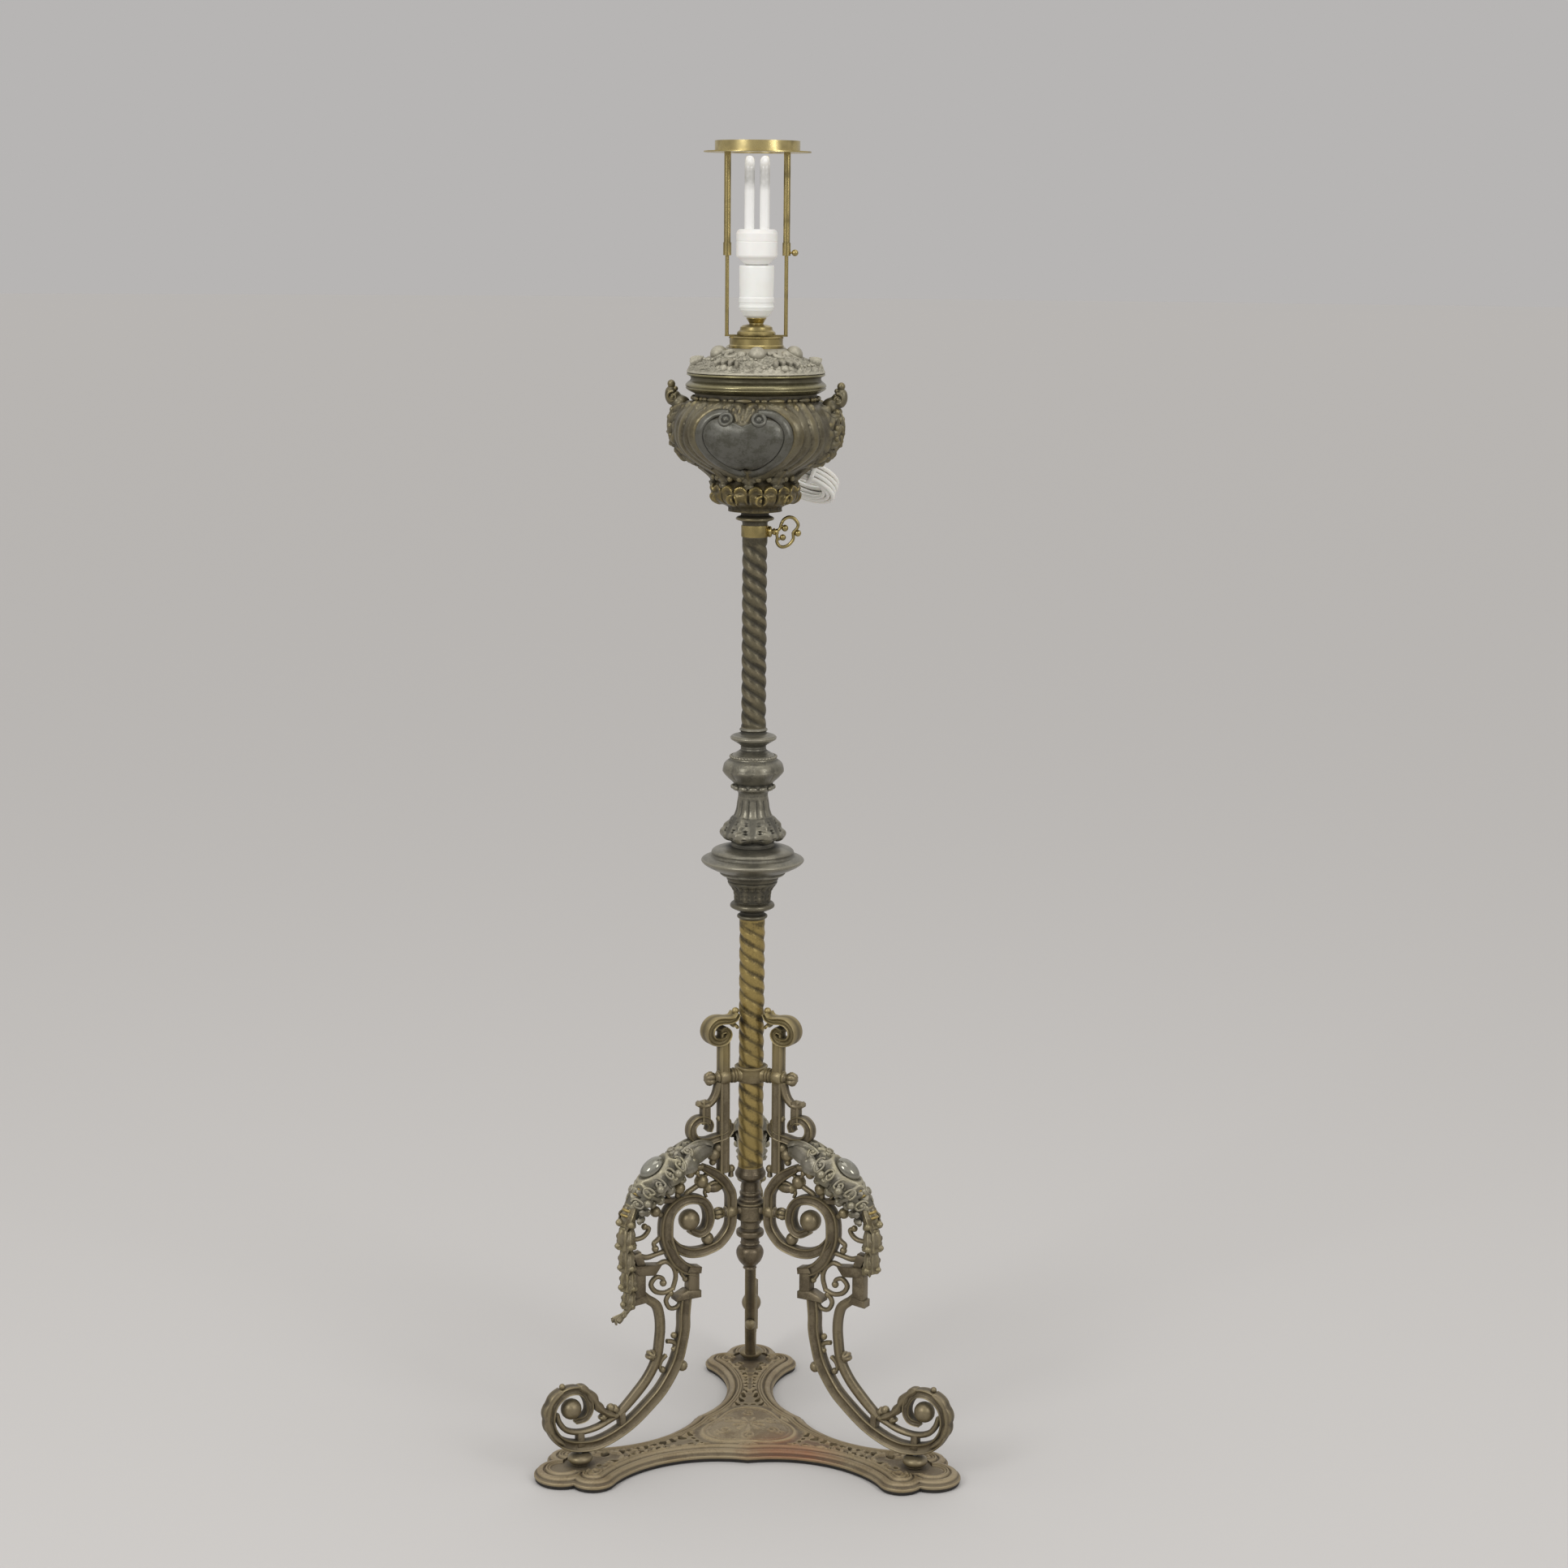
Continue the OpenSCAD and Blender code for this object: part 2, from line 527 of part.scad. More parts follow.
module lower_spider() color("#6b5f38") difference() {
    union() {
        translate([0, 0, hub_z])
            turned([[0.95, 0], [0.95, 0.34], [0.82, 0.4], [0.82, 0.55], [1, 0.64], [1, 0.8], [0.85, 0.9],
                [0.85, 1]], lower_hub_r, lower_hub_h, tie_bore);
        for (a = ARMS) translate([0, 0, lower_arm_z]) rotate(a) translate([lower_hub_r - 4, 0, 0])
            rotate([0, 90, 0]) cylinder(r = lower_arm_r, h = lower_boss_at - slip_gap - lower_hub_r + 4);
    }
    for (a = ARMS) translate([0, 0, lower_arm_z]) rotate(a) translate([tie_bore + 2, 0, 0]) rotate([0, 90, 0])
        cylinder(r = arm_screw_r + run_gap, h = lower_boss_at);
}

// A turned knob with its screw, pointing outwards along +X from x = 0
module arm_knob(r, l, screw) {
    rotate([0, 90, 0]) {
        turned([[0.7, 0], [0.7, 0.12], [0.5, 0.25], [0.85, 0.45], [1, 0.65], [0.85, 0.85], [0.4, 1]], r, l, 0);
        translate([0, 0, -screw]) cylinder(r = arm_screw_r, h = screw + 1);
    }
}
module upper_arm_knobs() color("#7d7148") for (a = ARMS) rotate(a)
    translate([bar_at + bar_w / 2, 0, upper_arm_z]) arm_knob(upper_knob_r, arm_knob_l, bar_w + 10);
module lower_arm_knobs() color("#7d7148") for (a = ARMS) rotate(a)
    translate([lower_boss_at + thin_rail_w, 0, lower_arm_z])
        arm_knob(lower_knob_r, arm_knob_l, thin_rail_w + 6);

module bottom_finial() color("#75683f") translate([0, 0, finial_z]) difference() {
    turned([[0.12, 0], [0.52, 0.05], [0.85, 0.25], [1, 0.42], [0.86, 0.55], [0.86, 0.77], [1.04, 0.84],
        [1.04, 0.94], [0.95, 1]], finial_r, finial_h, 0);
    translate([0, 0, finial_h * 0.5]) cylinder(r = tie_bore, h = finial_h);
}

module column_socket() color("#75683f") translate([0, 0, socket_z])
    turned([[0.78, 0], [0.78, 0.27], [0.72, 0.4], [0.72, 0.65], [0.92, 0.72], [1, 0.8], [0.9, 0.9], [0.82, 1]],
        socket_r, socket_h, tie_bore);

module lower_column_tube() color("#8a7434") translate([0, 0, lower_tube_z])
    rope_tube(lower_tube_r, lower_groove, lower_tube_l, tie_bore);

module tie_rod() color("#8f8f8f") translate([0, 0, finial_z + finial_h * 0.5])
    cylinder(r = tie_rod_r, h = disc_z + 10 - finial_z - finial_h * 0.5);

module tie_nut() color("#8f8f8f") translate([0, 0, disc_z + 2]) difference() {
    cylinder(r = tie_rod_r * 1.9, h = 6, $fn = 6);
    translate([0, 0, -1]) cylinder(r = tie_bore, h = 8);
}

module column_capital() color("#6d6a58") translate([0, 0, capital_z])
    turned([[0.5, 0], [0.58, 0.05], [0.58, 0.09], [0.46, 0.14], [0.86, 0.2], [0.86, 0.27], [0.7, 0.36],
        [0.7, 0.45], [0.81, 0.62], [0.81, 0.72], [1, 0.86], [1, 1]], capital_r, capital_h, tie_bore);

module drip_disc() color("#75725f") translate([0, 0, disc_z]) difference() {
    turned([[0.5, 0], [0.63, 0.02], [0.66, 0.12], [0.8, 0.28], [0.99, 0.44], [1, 0.56], [0.97, 0.62],
        [0.8, 0.74], [0.78, 0.86], [0.55, 0.92], [0.42, 1]], disc_r, disc_h, 0);
    translate([0, 0, -1]) cylinder(r = tie_rod_r * 1.9 + 1, h = 13);
    translate([0, 0, 16]) cylinder(r = guide_r + run_gap, h = disc_h);
}

module baluster() color("#6d6a58") translate([0, 0, baluster_z])
    turned([[0.72, 0], [0.72, 0.12], [0.82, 0.17], [1, 0.26], [0.97, 0.36], [0.86, 0.52], [0.69, 0.63],
        [0.56, 0.8], [0.5, 1]], baluster_r, baluster_h, guide_r + run_gap);

module baluster_knop() color("#6d6a58") translate([0, 0, knop_z])
    turned([[0.48, 0], [0.5, 0.14], [0.68, 0.22], [0.7, 0.28], [0.66, 0.36], [0.86, 0.5], [1, 0.64], [1, 0.7],
        [0.92, 0.84], [0.78, 1]], knop_r, knop_h, guide_r + run_gap);

module baluster_collar() color("#6d6a58") translate([0, 0, collar_z])
    turned([[1.05, 0], [0.95, 0.1], [0.7, 0.25], [0.57, 0.34], [0.57, 0.46], [0.8, 0.56], [1, 0.62], [1, 0.72],
        [0.75, 0.82], [0.6, 0.9], [0.58, 1]], collar_r, collar_h, guide_r + run_gap);

guide_z = disc_z + 16;
module guide_tube() color("#b9a15a") translate([0, 0, guide_z]) difference() {
    cylinder(r = guide_r, h = clamp_z - guide_z);
    translate([0, 0, -1]) cylinder(r = guide_bore, h = clamp_z - guide_z + 2);
}

module upper_column_tube() color("#4f4a2c") translate([0, 0, upper_tube_z])
    rope_tube(upper_tube_r, upper_groove, upper_tube_l, guide_r + run_gap);

key_z = clamp_z + clamp_h * 0.45;
module clamp_collar() color("#b5962f") difference() {
    union() {
        translate([0, 0, clamp_z]) turned([[1, 0], [1, 0.06], [1, 0.94], [0.97, 1]], clamp_r, clamp_h, guide_bore);
        translate([rod_r + 4, 0, key_z]) rotate([0, 90, 0])
            turned([[1, 0], [1, 0.8], [0.8, 1]], clamp_h * 0.42, clamp_r + 0.5 - rod_r, 0);
    }
    translate([0, 0, key_z]) rotate([0, 90, 0]) cylinder(r = key_stem_r + run_gap, h = clamp_r + 20);
}

// Bow of the key: two strands that meet under the outer ball, each with a ball of its own inside
KEY_UPPER = [[26, 0], [30, 4], [31.5, 9], [35, 15], [41, 17.7], [47, 16], [51.5, 10], [51, 5], [46, -0.5]];
KEY_LOWER = [[25.5, -1], [26.8, -7], [26.5, -12.5], [30, -17.5], [36, -18], [42, -14.5], [46, -9], [46, -4],
    [45.5, -0.5]];
KEY_BALLS = [[36, 4.4, 4.2], [33.5, -6.8, 3.9], [51.5, -1.6, 4.2]];
function key_place(p) = [key_bow_at + (p[0] - 41) * key_bow_h / 40, p[1] * key_bow_h / 40];
function key_line(p) = [for (q = p) concat(key_place(q), [key_strand_w])];
module clamp_key() color("#b5962f") translate([0, 0, key_z]) {
    translate([rod_r + 0.6, 0, 0]) rotate([0, 90, 0])
        cylinder(r = key_stem_r, h = key_place(KEY_UPPER[0])[0] + 2 - rod_r);
    translate([clamp_r + 5.5, 0, 0]) rotate([0, 90, 0])
        turned([[1, 0], [1.4, 0.3], [1.4, 0.7], [1, 1]], key_stem_r, 3, 0);
    rotate([90, 0, 0]) linear_extrude(height = key_t, center = true) {
        polygon(ribbon(key_line(KEY_UPPER)));
        polygon(ribbon(key_line(KEY_LOWER)));
        // Short stalks that carry the inner balls
        polygon(ribbon(key_line([[31, 7], [33, 6], [36, 4.4]])));
        polygon(ribbon(key_line([[27, -9], [30, -8.5], [33.5, -6.8]])));
    }
    for (b = KEY_BALLS) translate([key_place(b)[0], 0, key_place(b)[1]]) sphere(r = b[2]);
}

rod_top = vase_foot_z + vase_foot_h * 0.75;
module telescopic_rod() color("#b9a15a") translate([0, 0, vase_foot_z - rod_l])
    cylinder(r = rod_r, h = rod_top - vase_foot_z + rod_l);

module vase_foot() color("#3d3a33") translate([0, 0, vase_foot_z]) difference() {
    turned([[0.66, 0], [0.66, 0.25], [0.85, 0.38], [1, 0.5], [1, 0.58], [0.8, 0.72], [0.74, 0.8], [0.74, 1]],
        vase_foot_r, vase_foot_h, 0);
    translate([0, 0, -1]) cylinder(r = guide_bore, h = 1 + vase_foot_h * 0.75);
}

// The ring is a hollow casting with a floor
module gadroon_ring() color("#8a7434") translate([0, 0, gadroon_z]) difference() {
    turned([[0.45, 0], [0.61, 0.03], [0.61, 0.15], [0.82, 0.22], [0.95, 0.36], [1, 0.55], [1, 0.68],
        [0.95, 0.84], [0.88, 0.94], [0.88, 1]], gadroon_r, gadroon_h, 0);
    translate([0, 0, 8]) turned([[0.5, 0], [0.84, 0.25], [0.86, 0.5], [0.72, 1]], gadroon_r, gadroon_h - 7.9, 0);
}

VASE = [[0.5, 0], [0.51, 0.03], [0.58, 0.085], [0.78, 0.21], [0.93, 0.34], [0.99, 0.47], [1, 0.58], [0.98, 0.7],
    [0.92, 0.81], [0.83, 0.88], [0.76, 0.92]];
function vase_side(d) = concat(curve([for (p = VASE) [p[0] * vase_r + d, p[1] * vase_h]], 2),
    [[mouth_r + d, vase_h * 0.95]]);
module vase_envelope(d) rotate_extrude()
    polygon(concat([[0, 0]], vase_side(d), [[mouth_r + d, vase_h], [0, vase_h]]));
module vase_body() color("#474338") translate([0, 0, vase_z]) rotate_extrude() polygon(concat(
    [[20, 0]], vase_side(0),
    [[mouth_r, vase_h], [mouth_r - vase_wall * 2, vase_h], [mouth_r - vase_wall * 2, vase_h * 0.93]],
    reversed([for (p = vase_side(-vase_wall)) if (p[1] > vase_wall && p[1] < vase_h * 0.93) p]),
    [[vase_r * 0.5 - vase_wall, vase_wall], [20, vase_wall]]));

// Heart-shaped panel of the vase, seen from the front
function heart(s) = curve([[0, -35], [12, -37], [28, -32], [42, -20], [50, -4], [50, 10], [44, 20], [26, 22], [8, 18],
    [0, 14]], 2) * s;
module vase_medallions() color("#55534c") translate([0, 0, vase_z]) rotate(-vase_turn)
        intersection() {
    difference() {
        vase_envelope(2.5);
        vase_envelope(0.1);
    }
    translate([0, 0, vase_h * 0.52]) rotate([90, 0, 0]) linear_extrude(height = 3 * vase_r, center = true)
        polygon(concat(heart(0.96), [for (p = reversed(heart(0.96))) if (p[0] > 0.1) [-p[0], p[1]]]));
}

// A tube with rings of n sides along the points p, of the radii r
function tangent(p, i) = let (v = p[min(i + 1, len(p) - 1)] - p[max(i - 1, 0)]) v / norm(v);
function ring_frame(p, i, u) = let (t = tangent(p, i), v = u - (u * t) * t) v / norm(v);
module tube(p, r, n, up) {
    frames = [for (i = [0 : len(p) - 1]) ring_frame(p, i, up)];
    points = [for (i = [0 : len(p) - 1]) for (k = [0 : n - 1])
        let (t = tangent(p, i), u = frames[i], v = cross(t, u))
        p[i] + r[i] * (cos(k * 360 / n) * u + sin(k * 360 / n) * v)];
    sides = [for (i = [0 : len(p) - 2]) for (k = [0 : n - 1]) let (a = i * n + k, b = i * n + (k + 1) % n)
        each [[a, a + n, b + n], [a, b + n, b]]];
    start = [for (k = [1 : n - 2]) [0, k, k + 1]];
    last = (len(p) - 1) * n;
    end = [for (k = [1 : n - 2]) [last, last + k + 1, last + k]];
    polyhedron(points = points, faces = concat(sides, start, end));
}

// Horns that rise from leaf work on both sides of the vase
function horn_path() = let (x = vase_r, z = vase_h) curve([[x * 0.66, 0, z * 0.12],
    [x * 0.86, 0, z * 0.23], [x * 1.0, 0, z * 0.42], [x * 1.03, 0, z * 0.6], [x * 0.99, 0, z * 0.72],
    [x * 0.9, 0, z * 0.82], [x * 0.93, 0, z * 0.9], [horn_at - 6, 0, z * 0.95],
    [horn_at - 1, 0, z + horn_rise * 0.3], [horn_at, 0, z + horn_rise]], 2);
function horn_radii(n) = [for (i = [0 : n - 1]) let (t = i / (n - 1))
    t < 0.55 ? 7 + 2 * sin(t * 320) : 8 - 7 * (t - 0.55) / 0.45];
module vase_horns() color("#5f552f") translate([0, 0, vase_z]) for (a = [0, 180])
        rotate(a - vase_turn) difference() {
    path = horn_path();
    union() {
        tube(path, horn_radii(len(path)), 10, [0, 1, 0]);
        translate([horn_at, 0, vase_h + horn_rise]) sphere(r = 4);
    }
    vase_envelope(0);
}

module font_band() color("#6e6233") translate([0, 0, band_z])
    turned([[0.86, 0], [0.895, 0.02], [0.895, 0.12], [1, 0.22], [1, 0.34], [0.93, 0.46], [0.91, 0.56],
        [0.93, 0.72], [0.976, 0.84], [0.976, 0.97], [0.96, 1]], band_r, band_h, mouth_r - vase_wall * 2);

COVER = [[1, 0], [1, 0.04], [0.98, 0.12], [0.9, 0.36], [0.75, 0.6], [0.62, 0.72], [0.52, 0.86], [0.46, 1]];
module font_cover() color("#6f6b5c") translate([0, 0, cover_z]) rotate_extrude() {
    outer = [for (p = COVER) [p[0] * cover_r, p[1] * cover_h]];
    inner = [for (p = COVER) if (p[1] > 0.1 && p[1] < 0.95)
        [p[0] * cover_r - 4, p[1] * cover_h - sheet_wall * 0.8]];
    polygon(concat([[cover_r - 6, 0]], outer, [[font_collar_r - 8, cover_h],
        [font_collar_r - 8, cover_h - sheet_wall]], reversed(inner)));
}

tank_neck_r = font_collar_r - 10;
module font_tank() color("#8c7d4a") translate([0, 0, cover_z]) rotate_extrude() polygon([
    [0, -tank_depth], [tank_r * 0.5, -tank_depth], [tank_r * 0.85, -tank_depth * 0.85],
    [tank_r, -tank_depth * 0.6], [tank_r, 0],
    [mouth_r - 2, 0], [mouth_r - 2, 1.5], [tank_neck_r + 8, cover_h * 0.45], [tank_neck_r, cover_h * 0.6],
    [tank_neck_r, cover_h - sheet_wall - 1], [tank_neck_r - sheet_wall, cover_h - sheet_wall - 1],
    [tank_neck_r - sheet_wall, cover_h * 0.5],
    [tank_neck_r + 6, cover_h * 0.35], [tank_r - sheet_wall, -1], [tank_r - sheet_wall, -tank_depth * 0.58],
    [tank_r * 0.82, -tank_depth * 0.83], [tank_r * 0.49, -tank_depth + sheet_wall], [0, -tank_depth + sheet_wall]]);

module font_collar() color("#b5962f") translate([0, 0, font_collar_z]) {
    turned([[1, 0], [1, 0.2], [0.97, 0.3], [0.97, 0.8], [1, 0.9], [0.95, 1]],
        font_collar_r, font_collar_h, nipple_bore);
    translate([0, 0, -8]) difference() {
        cylinder(r = tank_neck_r - sheet_wall - run_gap, h = 8);
        translate([0, 0, -1]) cylinder(r = tank_neck_r - sheet_wall - 3, h = 10);
    }
}

module font_cap() color("#b5962f") translate([0, 0, cap_z])
    turned([[1, 0], [1, 0.15], [0.96, 0.3], [0.86, 0.45], [0.84, 0.55], [0.82, 0.75], [0.7, 0.9], [0.5, 1]],
        cap_r, cap_h, nipple_bore);

module gallery_yoke() color("#b5962f") {
    // With the gallery pushed down, the rods still end inside the sleeves
    rod_h = sleeve_l - 2;
    translate([0, 0, yoke_z]) difference() {
        translate([-rod_at - yoke_rod_r, -6, 0]) cube([2 * (rod_at + yoke_rod_r), 12, yoke_t]);
        translate([0, 0, -1]) cylinder(r = nipple_bore, h = yoke_t + 2);
    }
    for (s = [-1, 1]) translate([s * rod_at, 0, yoke_z + yoke_t])
        cylinder(r = yoke_rod_r, h = rod_h - yoke_t);
}

module holder_nipple() color("#a08a3c") translate([0, 0, font_collar_z + 1]) difference() {
    cylinder(r = nipple_r, h = holder_z + 6 - font_collar_z);
    translate([0, 0, -1]) cylinder(r = nipple_r - 1.5, h = holder_z + 10 - font_collar_z);
}

module holder_funnel() color("#b5962f") translate([0, 0, funnel_z])
    turned([[0.74, 0], [0.74, 0.2], [0.95, 0.7], [1.04, 0.85], [1, 1]], cap_r * 0.5, funnel_h, nipple_bore);

module lamp_holder_base() color("#e6e3da") translate([0, 0, holder_z]) difference() {
    turned([[0.58, 0], [0.75, 0.1], [0.95, 0.4], [0.97, 0.5], [1, 0.52], [1, 0.62], [0.97, 0.65],
        [0.97, 0.8], [1, 0.82], [1, 1]], holder_r, holder_base_h, nipple_bore);
    translate([0, 0, 5]) cylinder(r = holder_r * 0.6, h = 5);
    translate([0, 0, 9]) cylinder(r = holder_r - 3, h = holder_base_h);
}

holder_bore = bulb_cap_r + 0.6;
module lamp_holder_shell() color("#e6e3da") translate([0, 0, shell_z])
    turned([[1, 0], [1, 0.02], [0.97, 0.06], [0.985, 0.5], [1, 0.94], [0.98, 1]],
        holder_r, holder_shell_h, holder_bore);

contact_z = bulb_z - bulb_cap_l - 5;
module holder_contact() color("#d9d5c8") {
    translate([0, 0, holder_z + 9]) cylinder(r = holder_r - 3 - slip_gap, h = holder_base_h - 9);
    translate([0, 0, shell_z]) cylinder(r = holder_bore - slip_gap, h = contact_z - shell_z);
}

module bulb_contact() color("#77736b") translate([0, 0, contact_z + 0.1])
    turned([[1, 0], [1, 0.5], [0.8, 1]], 4.5, 3.7, 0);

module bulb_cap() color("#c9c9c4") translate([0, 0, bulb_z - bulb_cap_l])
    turned([[0.4, -0.045], [0.75, 0.02], [1, 0.1], [0.96, 0.18], [1, 0.25], [0.96, 0.33], [1, 0.4], [0.96, 0.48],
        [1, 0.55], [0.96, 0.63], [1, 0.7], [1, 1]], bulb_cap_r, bulb_cap_l, 0);

module bulb_housing() color("#ece9e0") translate([0, 0, bulb_z])
    turned([[0.5, 0], [0.6, 0.03], [0.8, 0.15], [0.97, 0.23], [1, 0.27], [1, 0.64], [0.985, 0.65],
        [0.985, 0.67], [1, 0.68], [1, 0.88], [0.93, 0.97], [0.85, 1]], bulb_r, bulb_housing_h, 0);

module bulb_tubes() color("#f2f0ea") translate([0, 0, bulb_z + bulb_housing_h]) for (s = [-1, 1])
        translate([s * bulb_tube_step / 2, 0, 0]) {
    bend = bulb_tube_step / 2;
    up = bulb_tube_h - bend - bulb_tube_r;
    for (e = [-1, 1]) translate([0, e * bend, 0]) cylinder(r = bulb_tube_r, h = up);
    translate([0, 0, up]) rotate([90, 0, 90]) rotate_extrude(angle = 180) translate([bend, 0])
        circle(r = bulb_tube_r);
}

// The flange reaches inwards over the sleeves that carry it
flange_in = rod_at - sleeve_r - 1;
module gallery_ring() color("#b5962f") translate([0, 0, flange_z]) rotate_extrude() {
    translate([flange_in, 0]) square([flange_r - flange_in, gallery_t]);
    translate([gallery_r - gallery_t, 0]) square([gallery_t, gallery_ring_h + gallery_t]);
}

module gallery_sleeves() color("#a88b30") for (s = [-1, 1])
        translate([s * rod_at, 0, flange_z - sleeve_l]) difference() {
    union() {
        cylinder(r = sleeve_r, h = sleeve_l);
        cylinder(r = sleeve_r + 0.8, h = 15);
    }
    translate([0, 0, -1]) cylinder(r = yoke_rod_r + run_gap, h = sleeve_l + 0.5);
    if (s > 0) translate([0, 0, 3.5]) rotate([0, 90, 0]) cylinder(r = 1.2 + run_gap, h = 10);
}

gallery_screw_z = flange_z - sleeve_l + 3.5;
module gallery_screw() color("#b5962f") translate([rod_at, 0, gallery_screw_z]) {
    translate([yoke_rod_r + 0.3, 0, 0]) rotate([0, 90, 0])
        cylinder(r = 1.2, h = screw_ball_at - rod_at - yoke_rod_r);
    translate([screw_ball_at - rod_at, 0, 0]) sphere(r = 4);
}

// Cord: a strain relief under the vase, a short tail and a coil tied up behind the vase
COIL_AT = [63, 82, 0];
coil_z = gadroon_z + gadroon_h * 0.75;
coil_az = 52;
coil_tilt = 33;
COIL_N = [cos(coil_az) * sin(coil_tilt), sin(coil_az) * sin(coil_tilt), cos(coil_tilt)];
COIL_U = [cos(coil_az) * cos(coil_tilt), sin(coil_az) * cos(coil_tilt), -sin(coil_tilt)];
COIL_V = [-sin(coil_az), cos(coil_az), 0];
coil_layers = 4;
coil_turns = 2.5;
coil_steps = 24;
end_turn = coil_layers * coil_turns;
// The cord rises at the end, so that the plug lies on the coil
plug_lift = cord_d / 2 + 7.8;
function coil_world(p) = COIL_AT + [0, 0, coil_z] + p[0] * COIL_U + p[1] * COIL_V + p[2] * COIL_N;
function zigzag(t) = let (m = t % (2 * coil_turns)) m < coil_turns ? m : 2 * coil_turns - m;
function ease(t) = let (s = min(max(t, 0), 1)) s * s * (3 - 2 * s);
function total(v) = v * [for (x = v) 1];
function climb(t) = total([for (k = [1 : coil_layers - 1]) ease((t - k * coil_turns) * 2 + 0.5)]);
function coil_rise(t) = coil_pitch * (climb(t) - (coil_layers - 1) / 2)
    + plug_lift * ease((t - end_turn + 0.2) * 5);
function coil_local(t) = let (r = coil_r + coil_pitch * (coil_turns / 2 - zigzag(t)), a = 90 - 360 * t)
    [r * cos(a), r * sin(a), coil_rise(t)];
coil_count = end_turn * coil_steps;
coil_path = [for (i = [0 : coil_count]) coil_local(i / coil_steps)];
coil_lead = [1, 0, 0] * cord_d;
coil_points = [for (p = concat([coil_path[0] - coil_lead], coil_path, [coil_path[coil_count] + coil_lead]))
    coil_world(p)];
coil_gaps = [for (i = [0 : 3 : coil_count]) for (j = [i + 18 : coil_count]) norm(coil_path[i] - coil_path[j])];
echo(least_gap_in_coil = min(coil_gaps) - cord_d);
function path_length(p) = total([for (i = [1 : len(p) - 1]) norm(p[i] - p[i - 1])]);

gland_base = [8, 58, vase_z + 12];
GLAND_DIR = [0.12, 0.86, -0.5];
gland_axis = GLAND_DIR / norm(GLAND_DIR);
tail_start = gland_base + gland_axis * gland_l;
tail_path = concat([tail_start], curve([tail_start + gland_axis * cord_d, tail_start + gland_axis * 1.8 * cord_d,
    coil_points[0] - COIL_U * 1.8 * cord_d, coil_points[0] - COIL_U * cord_d], 3), [coil_points[0]]);
echo(cord_length = path_length(coil_points) + path_length(tail_path));

module along(a, d) {
    tilt = acos(d[2]);
    turn = atan2(d[1], d[0]);
    translate(a) rotate([0, tilt, turn]) children();
}

module cord_gland() color("#e9e7df") difference() {
    along(gland_base - gland_axis * 6, gland_axis)
        turned([[0.9, 0], [0.9, 0.35], [1, 0.4], [1, 0.48], [0.75, 0.55], [0.6, 1]], cord_d, gland_l + 6, 0);
    translate([0, 0, vase_z]) vase_envelope(0);
}
module cord_tail() color("#efede6") tube(tail_path, [for (p = tail_path) cord_d / 2], 8, [0, 0, 1]);
module cord_coil() color("#efede6") tube(coil_points, [for (p = coil_points) cord_d / 2], 6, COIL_N);

module coil_frame()
    multmatrix([for (i = [0 : 2]) [COIL_U[i], COIL_V[i], COIL_N[i], coil_world([0, 0, 0])[i]]]) children();
tie_angle = 225;
module cord_tie() color("#d8d5cc") {
    in_r = coil_r - coil_pitch * coil_turns / 2 - cord_d / 2 - slip_gap;
    out_r = coil_r + coil_pitch * coil_turns / 2 + cord_d / 2 + slip_gap;
    half = coil_pitch * (coil_layers - 1) / 2 + cord_d / 2 + slip_gap;
    coil_frame() rotate(tie_angle) rotate([90, 0, 0]) linear_extrude(height = 5, center = true) difference() {
        translate([in_r - 1.2, -half - 1.2]) square([out_r - in_r + 2.4, 2 * half + 2.4]);
        translate([in_r, -half]) square([out_r - in_r, 2 * half]);
    }
}

// Two-pin flat plug at the coil's end
plug_at = coil_points[len(coil_points) - 1];
plug_l = 35;
plug_w = 35;
plug_t = 14;
pin_step = 19;
plug_corner = 5;
module plug_frame()
    multmatrix([for (i = [0 : 2]) [COIL_U[i], COIL_V[i], COIL_N[i], plug_at[i]]]) children();
function plug_corner_arc(x, y, a) = arc([x * (plug_t / 2 - plug_corner), y * (plug_w / 2 - plug_corner)],
    plug_corner, a, a - 90, 4);
module plug_body() color("#efede6") plug_frame() rotate([0, 90, 0]) linear_extrude(height = plug_l)
    polygon(concat(plug_corner_arc(1, 1, 90), plug_corner_arc(1, -1, 0), plug_corner_arc(-1, -1, -90),
        plug_corner_arc(-1, 1, 180)));
module plug_pins() color("#b9a15a") plug_frame() for (s = [-1, 1]) translate([plug_l, s * pin_step / 2, 0])
    rotate([0, 90, 0]) cylinder(r = 2, h = 19);

base_foot_plate();
base_plate();
leg_bolts();
foot_knobs();
leg_right();
leg_back();
leg_left();
garland_right();
garland_back();
garland_left();
garland_jewels();
garland_rivets();
upper_spider();
lower_spider();
upper_arm_knobs();
lower_arm_knobs();
bottom_finial();
column_socket();
lower_column_tube();
tie_rod();
tie_nut();
column_capital();
drip_disc();
baluster();
baluster_knop();
baluster_collar();
guide_tube();
upper_column_tube();
clamp_collar();
clamp_key();
telescopic_rod();
vase_foot();
gadroon_ring();
vase_body();
vase_medallions();
vase_horns();
font_band();
font_cover();
font_tank();
font_collar();
font_cap();
gallery_yoke();
holder_nipple();
holder_funnel();
lamp_holder_base();
lamp_holder_shell();
holder_contact();
bulb_contact();
bulb_cap();
bulb_housing();
bulb_tubes();
gallery_ring();
gallery_sleeves();
gallery_screw();
cord_gland();
cord_tail();
cord_coil();
cord_tie();
plug_body();
plug_pins();
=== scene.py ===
import json
import math

import bmesh
import bpy
import numpy as np
from mathutils import Matrix, Vector
from mathutils.geometry import delaunay_2d_cdt

